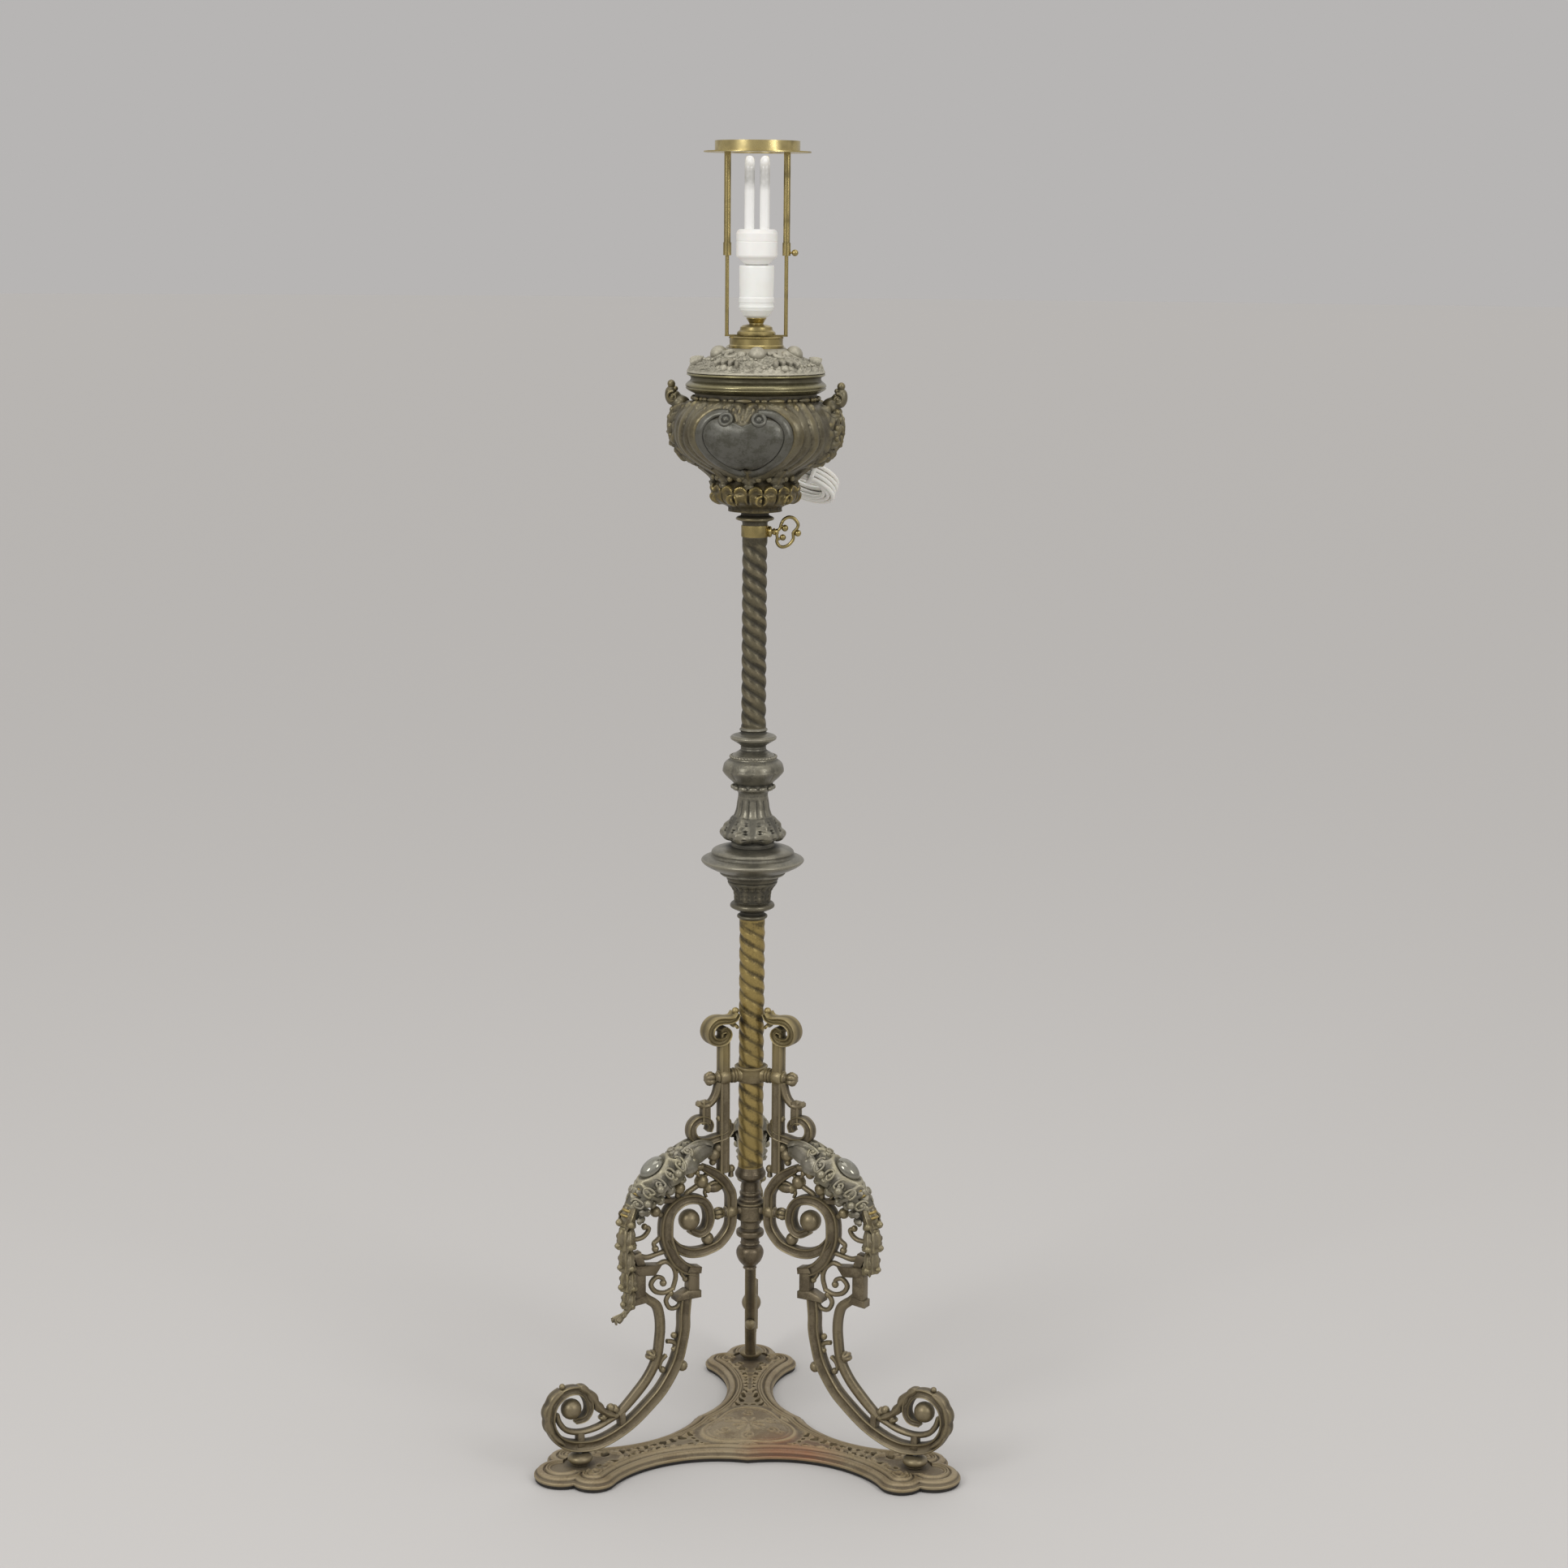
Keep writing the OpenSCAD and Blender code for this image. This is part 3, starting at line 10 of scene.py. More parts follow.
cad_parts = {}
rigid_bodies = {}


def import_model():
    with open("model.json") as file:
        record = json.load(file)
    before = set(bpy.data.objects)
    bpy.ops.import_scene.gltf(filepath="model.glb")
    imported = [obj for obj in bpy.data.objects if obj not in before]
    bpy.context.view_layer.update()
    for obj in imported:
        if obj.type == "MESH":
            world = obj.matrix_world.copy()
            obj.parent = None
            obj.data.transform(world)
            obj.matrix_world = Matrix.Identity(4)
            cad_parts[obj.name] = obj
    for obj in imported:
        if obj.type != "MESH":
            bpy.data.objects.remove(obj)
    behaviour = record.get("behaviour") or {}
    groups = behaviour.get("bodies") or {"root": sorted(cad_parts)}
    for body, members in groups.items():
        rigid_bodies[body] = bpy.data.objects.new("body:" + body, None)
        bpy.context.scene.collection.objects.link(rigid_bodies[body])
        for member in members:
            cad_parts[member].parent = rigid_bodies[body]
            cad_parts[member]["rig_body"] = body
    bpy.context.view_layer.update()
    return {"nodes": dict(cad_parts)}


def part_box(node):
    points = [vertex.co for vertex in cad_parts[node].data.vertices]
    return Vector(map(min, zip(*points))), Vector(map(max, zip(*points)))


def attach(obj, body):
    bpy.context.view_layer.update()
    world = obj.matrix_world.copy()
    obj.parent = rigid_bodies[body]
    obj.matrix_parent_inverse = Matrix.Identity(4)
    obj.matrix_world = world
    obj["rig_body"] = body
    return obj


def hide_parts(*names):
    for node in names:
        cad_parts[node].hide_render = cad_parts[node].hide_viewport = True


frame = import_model()
NODES = frame["nodes"]

# Lengths in this file are millimetres in the lamp's frame, and metres only where Blender takes them
MM = 0.001
ARMS = (-30, 90, 210)
ARM_NAMES = ("right", "back", "left")


def top_of(node):
    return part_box(node)[1].z / MM


def foot_of(node):
    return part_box(node)[0].z / MM


# Camera and light
# The photograph was taken from 3.6 m away at standing height, a little downwards
CAMERA_AT = (0.0345, -3.591, 1.518)
LENS_MM = 68.76
HEADING, PITCH, ROLL = -0.05, 10.59, 0.51


def add_camera():
    heading, pitch = math.radians(HEADING), math.radians(PITCH)
    right = Vector((math.cos(heading), math.sin(heading), 0))
    forward = Vector((-math.sin(heading) * math.cos(pitch), math.cos(heading) * math.cos(pitch), -math.sin(pitch)))
    up = right.cross(forward)
    data = bpy.data.cameras.new("photo_camera")
    data.lens = LENS_MM
    data.sensor_width = 36
    camera = bpy.data.objects.new("photo_camera", data)
    axes = Matrix((right, up, -forward)).transposed().to_4x4()
    camera.matrix_world = Matrix.Translation(CAMERA_AT) @ axes @ Matrix.Rotation(math.radians(ROLL), 4, "Z")
    bpy.context.collection.objects.link(camera)
    bpy.context.scene.camera = camera


def add_softbox(name, at, aim, size, watts):
    data = bpy.data.lights.new(name, "AREA")
    data.shape = "RECTANGLE"
    data.size, data.size_y = size
    data.energy = watts
    lamp = bpy.data.objects.new(name, data)
    lamp.location = at
    lamp.rotation_euler = (Vector(aim) - Vector(at)).to_track_quat("-Z", "Y").to_euler()
    bpy.context.collection.objects.link(lamp)


def colour(hex_value):
    """Linear colour of an sRGB hex value."""
    parts = [int(hex_value[i:i + 2], 16) / 255 for i in (1, 3, 5)]
    return tuple(c / 12.92 if c <= 0.04045 else ((c + 0.055) / 1.055) ** 2.4 for c in parts) + (1.0,)


# Shapes
def spline(points, steps=6):
    """A smooth line through the points, with that many steps between two of them."""
    p = np.array(points, float)
    ends = np.vstack([p[:1], p, p[-1:]])
    t = np.linspace(0, 1, steps, endpoint=False)[:, None]
    runs = [0.5 * (2 * b + (c - a) * t + (2 * a - 5 * b + 4 * c - d) * t ** 2 + (3 * b - a - 3 * c + d) * t ** 3)
            for a, b, c, d in zip(ends, ends[1:], ends[2:], ends[3:])]
    return np.vstack(runs + [p[-1:]])


def unit(v):
    v = np.array(v, float)
    return v / np.maximum(np.linalg.norm(v, axis=-1, keepdims=True), 1e-9)


def circle(n):
    a = np.arange(n) * 2 * math.pi / n
    return np.stack([np.cos(a), np.sin(a)], 1)


def ray(degrees, reach=1.0):
    """A point that far from the axis in plan, at an angle from +X."""
    a = math.radians(degrees)
    return reach * np.array((math.cos(a), math.sin(a)))


def round_axis(a, r=1.0, z=0.0):
    """Points at angles a in radians, radii r and heights z. Angle 0 faces -Y, the viewer; 90 degrees is +X."""
    a, r, z = np.broadcast_arrays(a, r, z)
    return np.stack([r * np.sin(a), -r * np.cos(a), z], -1)


def turned_by(points, degrees):
    """Points in plan or in space, turned about the lamp's axis."""
    c, s = ray(degrees)
    points = np.array(points, float)
    points[..., :2] = points[..., :2] @ np.array([[c, s], [-s, c]])
    return points


def at_height(flat, z):
    """Points in plan, lifted to a height."""
    return np.column_stack([flat, np.broadcast_to(z, len(flat))])


def lifted(profile, by):
    """A turned piece's [radius, height] profile, raised by a height."""
    return [(r, by + h) for r, h in profile]


def run_lengths(line):
    """Length along a line up to each of its points."""
    return np.append(0, np.cumsum(np.linalg.norm(np.diff(line, axis=0), axis=1)))


def hump(x, width):
    """A smooth hump of height 1 at x = 0."""
    return np.exp(-(x / width) ** 2)


def between(x, low, top, rise, fall=None):
    """1 between two values, fading to 0 at them over a rise and a fall."""
    return np.clip((x - low) / rise, 0, 1) * np.clip((top - x) / (fall or rise), 0, 1)


def girth(a, middle, r):
    """Distance round a circle of radius r from a middle angle; angles in degrees."""
    return np.radians((a - middle + 180) % 360 - 180) * r


def moulded(half):
    """A closed section from its upper half, which runs from u = 1 to u = -1."""
    upper = list(half) + [(-u, v) for u, v in reversed(half) if u > 0]
    return np.array(upper + [(u, -v) for u, v in reversed(upper) if v > 0], float)


# Rails of the castings: raised rims along a sunk channel, or a rounded ridge
CHANNEL = moulded([(1, 0), (1, 0.6), (0.93, 0.88), (0.8, 1), (0.64, 0.95), (0.5, 0.72), (0.3, 0.62), (0, 0.58)])
RIDGED = moulded([(1, 0), (1, 0.45), (0.9, 0.66), (0.7, 0.8), (0.45, 0.86), (0.25, 1), (0, 1.04)])
ROUND = circle(12)
BAR = moulded([(1, 0), (1, 0.78), (0.9, 0.95), (0.75, 1), (0.62, 1), (0.55, 0.86), (0.3, 0.82), (0, 0.82)])


class Casting:
    """Gathers the vertices and faces of one piece. Worn tells hollows (-1) from rubbed ridges (1)."""

    def __init__(self):
        self.points, self.faces, self.worn, self.count = [], [], [], 0

    def add(self, points, faces, worn=0.0):
        points = np.array(points, float).reshape(-1, 3)
        self.points.append(points)
        self.faces.extend([tuple(i + self.count for i in f) for f in faces])
        self.worn.append(np.broadcast_to(np.ravel(np.asarray(worn, float)), len(points)))
        self.count += len(points)

    def loft(self, rings, worn=0.0, start=None, end=None, endless=False, capped=True):
        """Joins rings of points. start and end are the points that close it, or None for a flat end."""
        rings = np.array(rings, float)
        n, m = rings.shape[:2]
        rows = n if endless else n - 1
        faces = [(i * m + j, i * m + (j + 1) % m, (i + 1) % n * m + (j + 1) % m, (i + 1) % n * m + j)
                 for i in range(rows) for j in range(m)]
        points = rings.reshape(-1, 3)
        worn = np.broadcast_to(np.asarray(worn, float), (n, m)).ravel()
        if not endless and capped:
            tips = [rings[0].mean(0) if start is None else start, rings[-1].mean(0) if end is None else end]
            points = np.vstack([points, tips])
            worn = np.append(worn, [worn[:m].mean(), worn[-m:].mean()])
            faces += [(n * m, (j + 1) % m, j) for j in range(m)]
            faces += [(n * m + 1, (n - 1) * m + j, (n - 1) * m + (j + 1) % m) for j in range(m)]
        self.add(points, faces, worn)

    def sweep(self, route, section, wide, deep, normal, worn=None):
        """Moves a section along a route. wide runs across the route, deep along the normal."""
        route = np.array(route, float)
        n = len(route)
        along = unit(np.gradient(route, axis=0))
        out = unit(np.broadcast_to(normal, route.shape) * 1.0)
        side = unit(np.cross(out, along))
        out = unit(np.cross(along, side))
        wide, deep = np.broadcast_to(wide, n) / 2, np.broadcast_to(deep, n) / 2
        rings = (route[:, None] + section[None, :, :1] * (wide[:, None] * side)[:, None]
                 + section[None, :, 1:] * (deep[:, None] * out)[:, None])
        if worn is None:
            worn = np.broadcast_to(np.abs(section[:, 1]) * 1.6 - 1.0, (n, len(section)))
        # Blunt points close the ends, half as long as the section is wide to each side
        self.loft(rings, worn, route[0] - along[0] * wide[0] * 0.5, route[-1] + along[-1] * wide[-1] * 0.5)

    def cable(self, route, radii, sides=10):
        """A round tube along a route in space."""
        route = np.array(route, float)
        along = unit(np.gradient(route, axis=0))
        side = unit(np.cross(along[0], (0.31, 0.42, 0.85)))
        frames = []
        for t in along:
            side = unit(side - (side @ t) * t)
            frames.append((side, np.cross(t, side)))
        ring = circle(sides)
        radii = np.broadcast_to(radii, len(route))
        rings = [p + r * (ring[:, :1] * s + ring[:, 1:] * u) for p, r, (s, u) in zip(route, radii, frames)]
        self.loft(rings, 0.0)

    def turned(self, profile, at=(0, 0, 0), axis=(0, 0, 1), sides=20, lobes=0, depth=0.0, worn=0.0):
        """A turned form: profile holds [radius, height], lobes cut it into petals of that depth."""
        profile = np.array(profile, float)
        z = unit(axis)
        x = unit(np.cross(z, (0.0, 1.0, 0.0) if abs(z[1]) < 0.9 else (1.0, 0.0, 0.0)))
        y = np.cross(z, x)
        a = np.arange(sides) * 2 * math.pi / sides
        petal = 1 - depth * (1 - np.abs(np.cos(a * lobes / 2))) if lobes else np.ones(sides)
        body = profile[(profile[:, 0] > 1e-6)]
        rings = [np.array(at) + h * z + r * (petal * np.cos(a))[:, None] * x + r * (petal * np.sin(a))[:, None] * y
                 for r, h in body]
        if lobes:
            worn = np.broadcast_to(petal * 2 / max(depth, 0.05) * 0.5 - 1 / max(depth, 0.05) + 0.6, (len(body), sides))
            worn = np.clip(worn, -1, 1)
        self.loft(rings, worn, np.array(at) + profile[0, 1] * z, np.array(at) + profile[-1, 1] * z)

    def ball(self, at, r, axis=(0, 0, 1), long=1.0, sides=14, lobes=0, depth=0.0, worn=0.2):
        a = np.linspace(0, math.pi, max(sides // 2, 5) + 1)
        self.turned(np.stack([r * np.sin(a), -r * long * np.cos(a)], 1), at, axis, sides, lobes, depth, worn)

    def leaf(self, route, up, width, lobes=4, notch=0.35, thick=2.5, crown=2.0, rib=1.2):
        """A lobed leaf along a route, with a rib in the middle and a vein to each lobe."""
        route = np.array(route, float)
        n, m = len(route), 9
        along = unit(np.gradient(route, axis=0))
        up = unit(np.broadcast_to(up, route.shape) * 1.0)
        side = unit(np.cross(up, along))
        up = unit(np.cross(along, side))
        t = np.linspace(0, 1, n)
        teeth = np.abs(np.sin(math.pi * lobes * (t * 0.94 + 0.03)))
        half = width / 2 * np.sin(math.pi * (0.14 + 0.8 * t)) ** 0.7 * (1 - notch * (1 - teeth))
        u = np.linspace(-1, 1, m)
        vein = 0.5 * rib * np.cos(2 * math.pi * (lobes * t[:, None] - 0.45 * np.abs(u)[None]))
        high = crown * (1 - u ** 2)[None] + rib * hump(u, 0.16)[None] + vein * np.abs(u)[None]
        top = (route[:, None] + (half[:, None] * u)[..., None] * side[:, None]
               + (high + thick / 2)[..., None] * up[:, None])
        low = (route[:, None] + (half[:, None] * u[::-1])[..., None] * side[:, None]
               + (crown * (1 - u ** 2) - thick / 2)[None, :, None] * up[:, None])
        worn = np.hstack([np.clip((high - crown * 0.4) / (crown + rib), -1, 1), np.zeros((n, m))])
        self.loft(np.concatenate([top, low], 1), worn)

    def build(self, name, finish, body, slot, nodes=(), turn=0.0, edge=48, weld=False):
        """Makes the Blender object, turned about the lamp's axis, riding on its body."""
        points = turned_by(np.vstack(self.points) * MM, turn)
        mesh = bpy.data.meshes.new(name)
        mesh.from_pydata(points.tolist(), [], self.faces)
        mesh.attributes.new("worn", "FLOAT", "POINT").data.foreach_set("value", np.concatenate(self.worn))
        mesh.validate()
        if weld:
            shell = bmesh.new()
            shell.from_mesh(mesh)
            bmesh.ops.remove_doubles(shell, verts=shell.verts, dist=0.02 * MM)
            bmesh.ops.recalc_face_normals(shell, faces=shell.faces)
            shell.to_mesh(mesh)
            shell.free()
        mesh.shade_smooth()
        mesh.set_sharp_from_angle(angle=math.radians(edge))
        mesh.materials.append(finish)
        piece = bpy.data.objects.new(name, mesh)
        bpy.context.collection.objects.link(piece)
        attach(piece, body)
        if nodes:
            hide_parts(*nodes)
        return piece


def ridge_height(places, ridges):
    """Height of a relief at each place: ridges are (line of points, half width, height)."""
    high = np.zeros(len(places))
    for line, half, rise in ridges:
        line = np.array(line, float).reshape(-1, 2)
        half = np.broadcast_to(half, len(line)) * 1.0
        if len(line) == 1:
            line, half = np.vstack([line, line + 1e-4]), np.repeat(half, 2)
        low, top = line.min(0) - half.max(), line.max(0) + half.max()
        near = np.where(((places >= low) & (places <= top)).all(1))[0]
        if not len(near):
            continue
        a, d = line[:-1], np.diff(line, axis=0)
        rel = places[near][:, None] - a[None]
        t = np.clip((rel * d).sum(2) / np.maximum((d * d).sum(1), 1e-9), 0, 1)
        reach = half[:-1] + t * np.diff(half)
        share = (np.linalg.norm(rel - t[..., None] * d, axis=2) / reach).min(1)
        high[near] = np.maximum(high[near], rise * np.sqrt(np.clip(1 - share ** 2, 0, 1)))
    return high


def scroll(centre, r0, r1, start, turns, n=24):
    """A spiral from radius r0 to r1 round a centre, turning that many times from an angle in degrees."""
    t = np.linspace(0, 1, n)
    a = np.radians(start + 360 * turns * t)
    r = r0 + (r1 - r0) * t
    return np.stack([centre[0] + r * np.cos(a), centre[1] + r * np.sin(a)], 1)


def turned_relief(casting, profile, sides, relief, bore=None, steps=4):
    """A turned shell whose outside carries a relief: relief(angle in degrees, height, radius) gives its rise.

    bore is the radius of a straight bore, a list of [radius, height] from the top down, or None for a full piece.
    """
    line = spline(profile, steps)
    along = unit(np.gradient(line, axis=0))
    out = np.stack([along[:, 1], -along[:, 0]], 1)
    # Grooves of the profile are grimy and its ridges rubbed
    length = run_lengths(line)
    weight = hump(length[:, None] - length[None], 5.0) * np.gradient(length)[None]
    mean = (weight * line[None, :, 0]).sum(1) / weight.sum(1)
    groove = np.clip((line[:, 0] - mean) / 1.6, -1, 1)
    a, z = np.meshgrid(np.arange(sides) * 360 / sides, line[:, 1])
    r = np.broadcast_to(line[:, :1], a.shape)
    rise, worn = relief(a, z, r)
    worn = np.clip(worn + 0.8 * groove[:, None], -1, 1)
    radius = r + rise * out[:, :1]
    height = z + rise * out[:, 1:]
    rad = np.radians(a)
    rings = round_axis(rad, radius, height)
    if bore is None:
        casting.loft(rings, worn, (0, 0, line[0, 1]), (0, 0, line[-1, 1]))
        return
    inner = bore if isinstance(bore, list) else [(bore, line[-1, 1]), (bore, line[0, 1])]
    casting.loft(np.vstack([rings, [round_axis(rad[0], b, h) for b, h in inner]]),
                 np.vstack([worn, np.zeros((len(inner), sides))]), endless=True)


# Finishes
def add_node(tree, kind, settings=None, links=None):
    """Adds a node, sets its values and joins its inputs, by the names or numbers of its sockets."""
    made = tree.nodes.new("ShaderNode" + kind)
    for key, value in (settings or {}).items():
        if isinstance(key, int) or key in made.inputs:
            made.inputs[key].default_value = value
        else:
            setattr(made, key, value)
    for key, source in (links or {}).items():
        tree.links.new(source, made.inputs[key])
    return made


def new_finish(name):
    finish = bpy.data.materials.new(name)
    finish.use_nodes = True
    finish.node_tree.nodes.clear()
    return finish, finish.node_tree


def cells(size_mm):
    """Noise scale, in cells per metre, whose blotches are about this long."""
    return 1 / (size_mm * MM)


def patinated_brass(name, metal, tarnish, grime_and_shade_colour, rubbed, rough=0.42, metallic=0.85, blotch=22, rub=0.6, grime_and_shade_strength=0.8,
                    grain=0.25, stain=None):
    """Cast or turned brass, aged: blotches of tarnish, dark grime in hollows, painted shade where little light gets in,
    bright metal on rubbed ridges.
    """
    finish, tree = new_finish(name)
    place = add_node(tree, "TexCoord").outputs["Object"]
    worn = add_node(tree, "Attribute", {"attribute_name": "worn"}).outputs["Fac"]
    # Blotches of tarnish a few centimetres long, broken up by specks of about 2 mm
    blotches = add_node(tree, "TexNoise", {"Scale": cells(blotch), "Detail": 6.0, "Roughness": 0.65},
                        {"Vector": place}).outputs["Fac"]
    specks = add_node(tree, "TexNoise", {"Scale": cells(2.2), "Detail": 4.0, "Roughness": 0.7},
                      {"Vector": place}).outputs["Fac"]
    mottled = add_node(tree, "Math", {"operation": "MULTIPLY_ADD", 1: 0.45}, {0: specks, 2: blotches}).outputs[0]
    share = add_node(tree, "MapRange", {"From Min": 0.67, "From Max": 0.81}, {"Value": mottled}).outputs[0]
    base = add_node(tree, "Mix", {"data_type": "RGBA", 6: colour(metal), 7: colour(tarnish)}, {0: share}).outputs[2]
    if stain:
        # Bare copper or gold shows through in one place, broken up by the blotches
        middle, reach, bare = stain
        away = add_node(tree, "VectorMath", {"operation": "DISTANCE", 1: middle}, {0: place}).outputs["Value"]
        near = add_node(tree, "MapRange", {"From Min": reach, "From Max": reach * 0.35, "To Max": 1.1},
                        {"Value": away}).outputs[0]
        shown = add_node(tree, "Math", {"operation": "MULTIPLY"}, {0: near, 1: mottled}).outputs[0]
        base = add_node(tree, "Mix", {"data_type": "RGBA", 7: colour(bare)}, {0: shown, 6: base}).outputs[2]
    # Painted shade darkens the colour where little light gets in, by ambient occlusion, and grime lies in the hollows
    # of the relief
    open_sky = add_node(tree, "AmbientOcclusion", {"samples": 6, "Distance": 0.012}).outputs["AO"]
    painted_shade_share = add_node(tree, "MapRange", {"From Min": 0.85, "From Max": 0.35}, {"Value": open_sky}).outputs[0]
    sunk = add_node(tree, "MapRange", {"From Min": -0.1, "From Max": -0.9, "To Max": 0.7}, {"Value": worn}).outputs[0]
    hollow = add_node(tree, "Math", {"operation": "ADD", "use_clamp": True}, {0: painted_shade_share, 1: sunk}).outputs[0]
    # One share for both: painted shade where the occlusion is deep, and grime in the relief's hollows
    grime_and_shade_share = add_node(tree, "Math", {"operation": "MULTIPLY", 1: grime_and_shade_strength}, {0: hollow}).outputs[0]
    base = add_node(tree, "Mix", {"data_type": "RGBA", 7: colour(grime_and_shade_colour)}, {0: grime_and_shade_share, 6: base}).outputs[2]
    # Hands and cloths keep the ridges and edges bright, in places
    edge = add_node(tree, "MapRange", {"From Min": 0.515, "From Max": 0.56, "To Max": 0.8},
                    {"Value": add_node(tree, "NewGeometry").outputs["Pointiness"]}).outputs[0]
    ridge = add_node(tree, "MapRange", {"From Min": 0.25, "From Max": 0.95}, {"Value": worn}).outputs[0]
    high = add_node(tree, "Math", {"operation": "MAXIMUM"}, {0: edge, 1: ridge}).outputs[0]
    patchy = add_node(tree, "MapRange", {"From Min": 0.38, "From Max": 0.62, "To Min": 0.15},
                      {"Value": blotches}).outputs[0]
    bright = add_node(tree, "Math", {"operation": "MULTIPLY"}, {0: high, 1: patchy}).outputs[0]
    bright = add_node(tree, "Math", {"operation": "MULTIPLY", 1: rub}, {0: bright}).outputs[0]
    base = add_node(tree, "Mix", {"data_type": "RGBA", 7: colour(rubbed)}, {0: bright, 6: base}).outputs[2]
    # Polished where it is rubbed, dull where the grime and the painted shade lie
    dull = add_node(tree, "Math", {"operation": "MULTIPLY_ADD", 1: 0.3, 2: rough}, {0: grime_and_shade_share}).outputs[0]
    sheen = add_node(tree, "Math", {"operation": "MULTIPLY_ADD", 1: -0.16}, {0: bright, 2: dull}).outputs[0]
    metal_share = add_node(tree, "Math", {"operation": "MULTIPLY_ADD", 1: -0.45, 2: metallic}, {0: grime_and_shade_share}).outputs[0]
    # Sand grain of the casting, about 1.2 mm, drawn a little coarse so that it shows
    cast = add_node(tree, "TexNoise", {"Scale": cells(1.2), "Detail": 3.0}, {"Vector": place}).outputs["Fac"]
    bump = add_node(tree, "Bump", {"Strength": grain, "Distance": 0.0005}, {"Height": cast}).outputs[0]
    shader = add_node(tree, "BsdfPrincipled", {},
                      {"Base Color": base, "Roughness": sheen, "Metallic": metal_share, "Normal": bump})
    add_node(tree, "OutputMaterial", {}, {"Surface": shader.outputs[0]})
    return finish


def bright_brass(name, metal, streak, rough=0.24):
    """Lacquered sheet and rod brass: yellow, glossy, with faint turning marks and fingerprints."""
    finish, tree = new_finish(name)
    place = add_node(tree, "TexCoord").outputs["Object"]
    stretched = add_node(tree, "Mapping", {"Scale": (1.0, 1.0, 9.0)}, {"Vector": place}).outputs[0]
    # Turning marks run round the pieces, about 1 mm apart
    marks = add_node(tree, "TexNoise", {"Scale": cells(9), "Detail": 4.0}, {"Vector": stretched}).outputs["Fac"]
    smears = add_node(tree, "TexNoise", {"Scale": cells(18), "Detail": 2.0}, {"Vector": place}).outputs["Fac"]
    share = add_node(tree, "MapRange", {"From Min": 0.45, "From Max": 0.7}, {"Value": smears}).outputs[0]
    base = add_node(tree, "Mix", {"data_type": "RGBA", 6: colour(metal), 7: colour(streak)}, {0: share}).outputs[2]
    gloss = add_node(tree, "Math", {"operation": "MULTIPLY_ADD", 1: 0.22, 2: rough}, {0: share}).outputs[0]
    bump = add_node(tree, "Bump", {"Strength": 0.04, "Distance": 0.0002}, {"Height": marks}).outputs[0]
    shader = add_node(tree, "BsdfPrincipled", {"Metallic": 1.0},
                      {"Base Color": base, "Roughness": gloss, "Normal": bump})
    add_node(tree, "OutputMaterial", {}, {"Surface": shader.outputs[0]})
    return finish


def moulded_plastic(name, body, aged, rough=0.35):
    """Injection-moulded plastic: smooth, faintly pebbled, a little yellowed in patches."""
    finish, tree = new_finish(name)
    place = add_node(tree, "TexCoord").outputs["Object"]
    patches = add_node(tree, "TexNoise", {"Scale": cells(30), "Detail": 3.0}, {"Vector": place}).outputs["Fac"]
    share = add_node(tree, "MapRange", {"From Min": 0.4, "From Max": 0.75, "To Max": 0.3},
                     {"Value": patches}).outputs[0]
    base = add_node(tree, "Mix", {"data_type": "RGBA", 6: colour(body), 7: colour(aged)}, {0: share}).outputs[2]
    # Pebbling of the mould, about 0.8 mm
    pebbles = add_node(tree, "TexNoise", {"Scale": cells(0.8), "Detail": 2.0}, {"Vector": place}).outputs["Fac"]
    bump = add_node(tree, "Bump", {"Strength": 0.06, "Distance": 0.0001}, {"Height": pebbles}).outputs[0]
    shader = add_node(tree, "BsdfPrincipled", {"Roughness": rough, "IOR": 1.5, "Subsurface Weight": 0.05},
                      {"Base Color": base, "Normal": bump})
    add_node(tree, "OutputMaterial", {}, {"Surface": shader.outputs[0]})
    return finish


LEG_BRASS = patinated_brass("olive_cast_brass", "#7b705a", "#625846", "#2b261c", "#b3a57e", 0.42, 0.66, blotch=26,
                            stain=((0.0, 0.0, 0.56), 0.1, "#a4935f"))
# Brown turned brass for the hanging finial and the socket: the brown is the brass's own tone, its extra darkness is
# painted shade for where they sit among the legs
SHADE_DARKENED_BRASS = patinated_brass("brown_shade_darkened_brass", "#6e6350", "#564d3d", "#26211a", "#a3967c", 0.38, 0.7)
BASE_BRASS = patinated_brass("brown_cast_brass", "#93856a", "#7c6d54", "#352d22", "#ad9c76", 0.5, 0.45, blotch=34,
                             stain=((0.052, -0.088, 0.02), 0.075, "#86583f"))
FOOT_IRON = patinated_brass("black_painted_iron", "#262421", "#302b25", "#121110", "#4a4236", 0.6, 0.2, rub=0.3)
GREY_BRASS = patinated_brass("grey_tarnished_brass", "#8c8779", "#736e5d", "#39352b", "#b8b093", 0.42, 0.6)
STRING_BRASS = patinated_brass("brown_husk_brass", "#7f7660", "#665c45", "#2e281d", "#b3a780", 0.42, 0.6, blotch=18)
# Darker bronze for the capital: painted shade, standing for the shadow that falls under the drip disc
CAPITAL_PAINTED_SHADE_BRONZE = patinated_brass("painted_shade_turned_bronze", "#625d4e", "#4e4a3e", "#24221b", "#938c76", 0.36, 0.7)
CABOCHON = patinated_brass("polished_grey_cabochon", "#8d8c82", "#7d7b71", "#5a584c", "#a9a593", 0.14, 0.7,
                           grime_and_shade_strength=0.2, grain=0.05)
GILT_BRASS = patinated_brass("gilt_rope_brass", "#92804f", "#625638", "#2d2617", "#bfa766", 0.4, 0.75, blotch=30,
                             rub=0.7)
DARK_BRASS = patinated_brass("dark_rope_brass", "#5d5745", "#484336", "#24211a", "#8f856b", 0.42, 0.7, rub=0.9)
COLUMN_BRONZE = patinated_brass("grey_green_turned_bronze", "#7f7b6d", "#68655a", "#2b2a24", "#aea895", 0.34, 0.7)
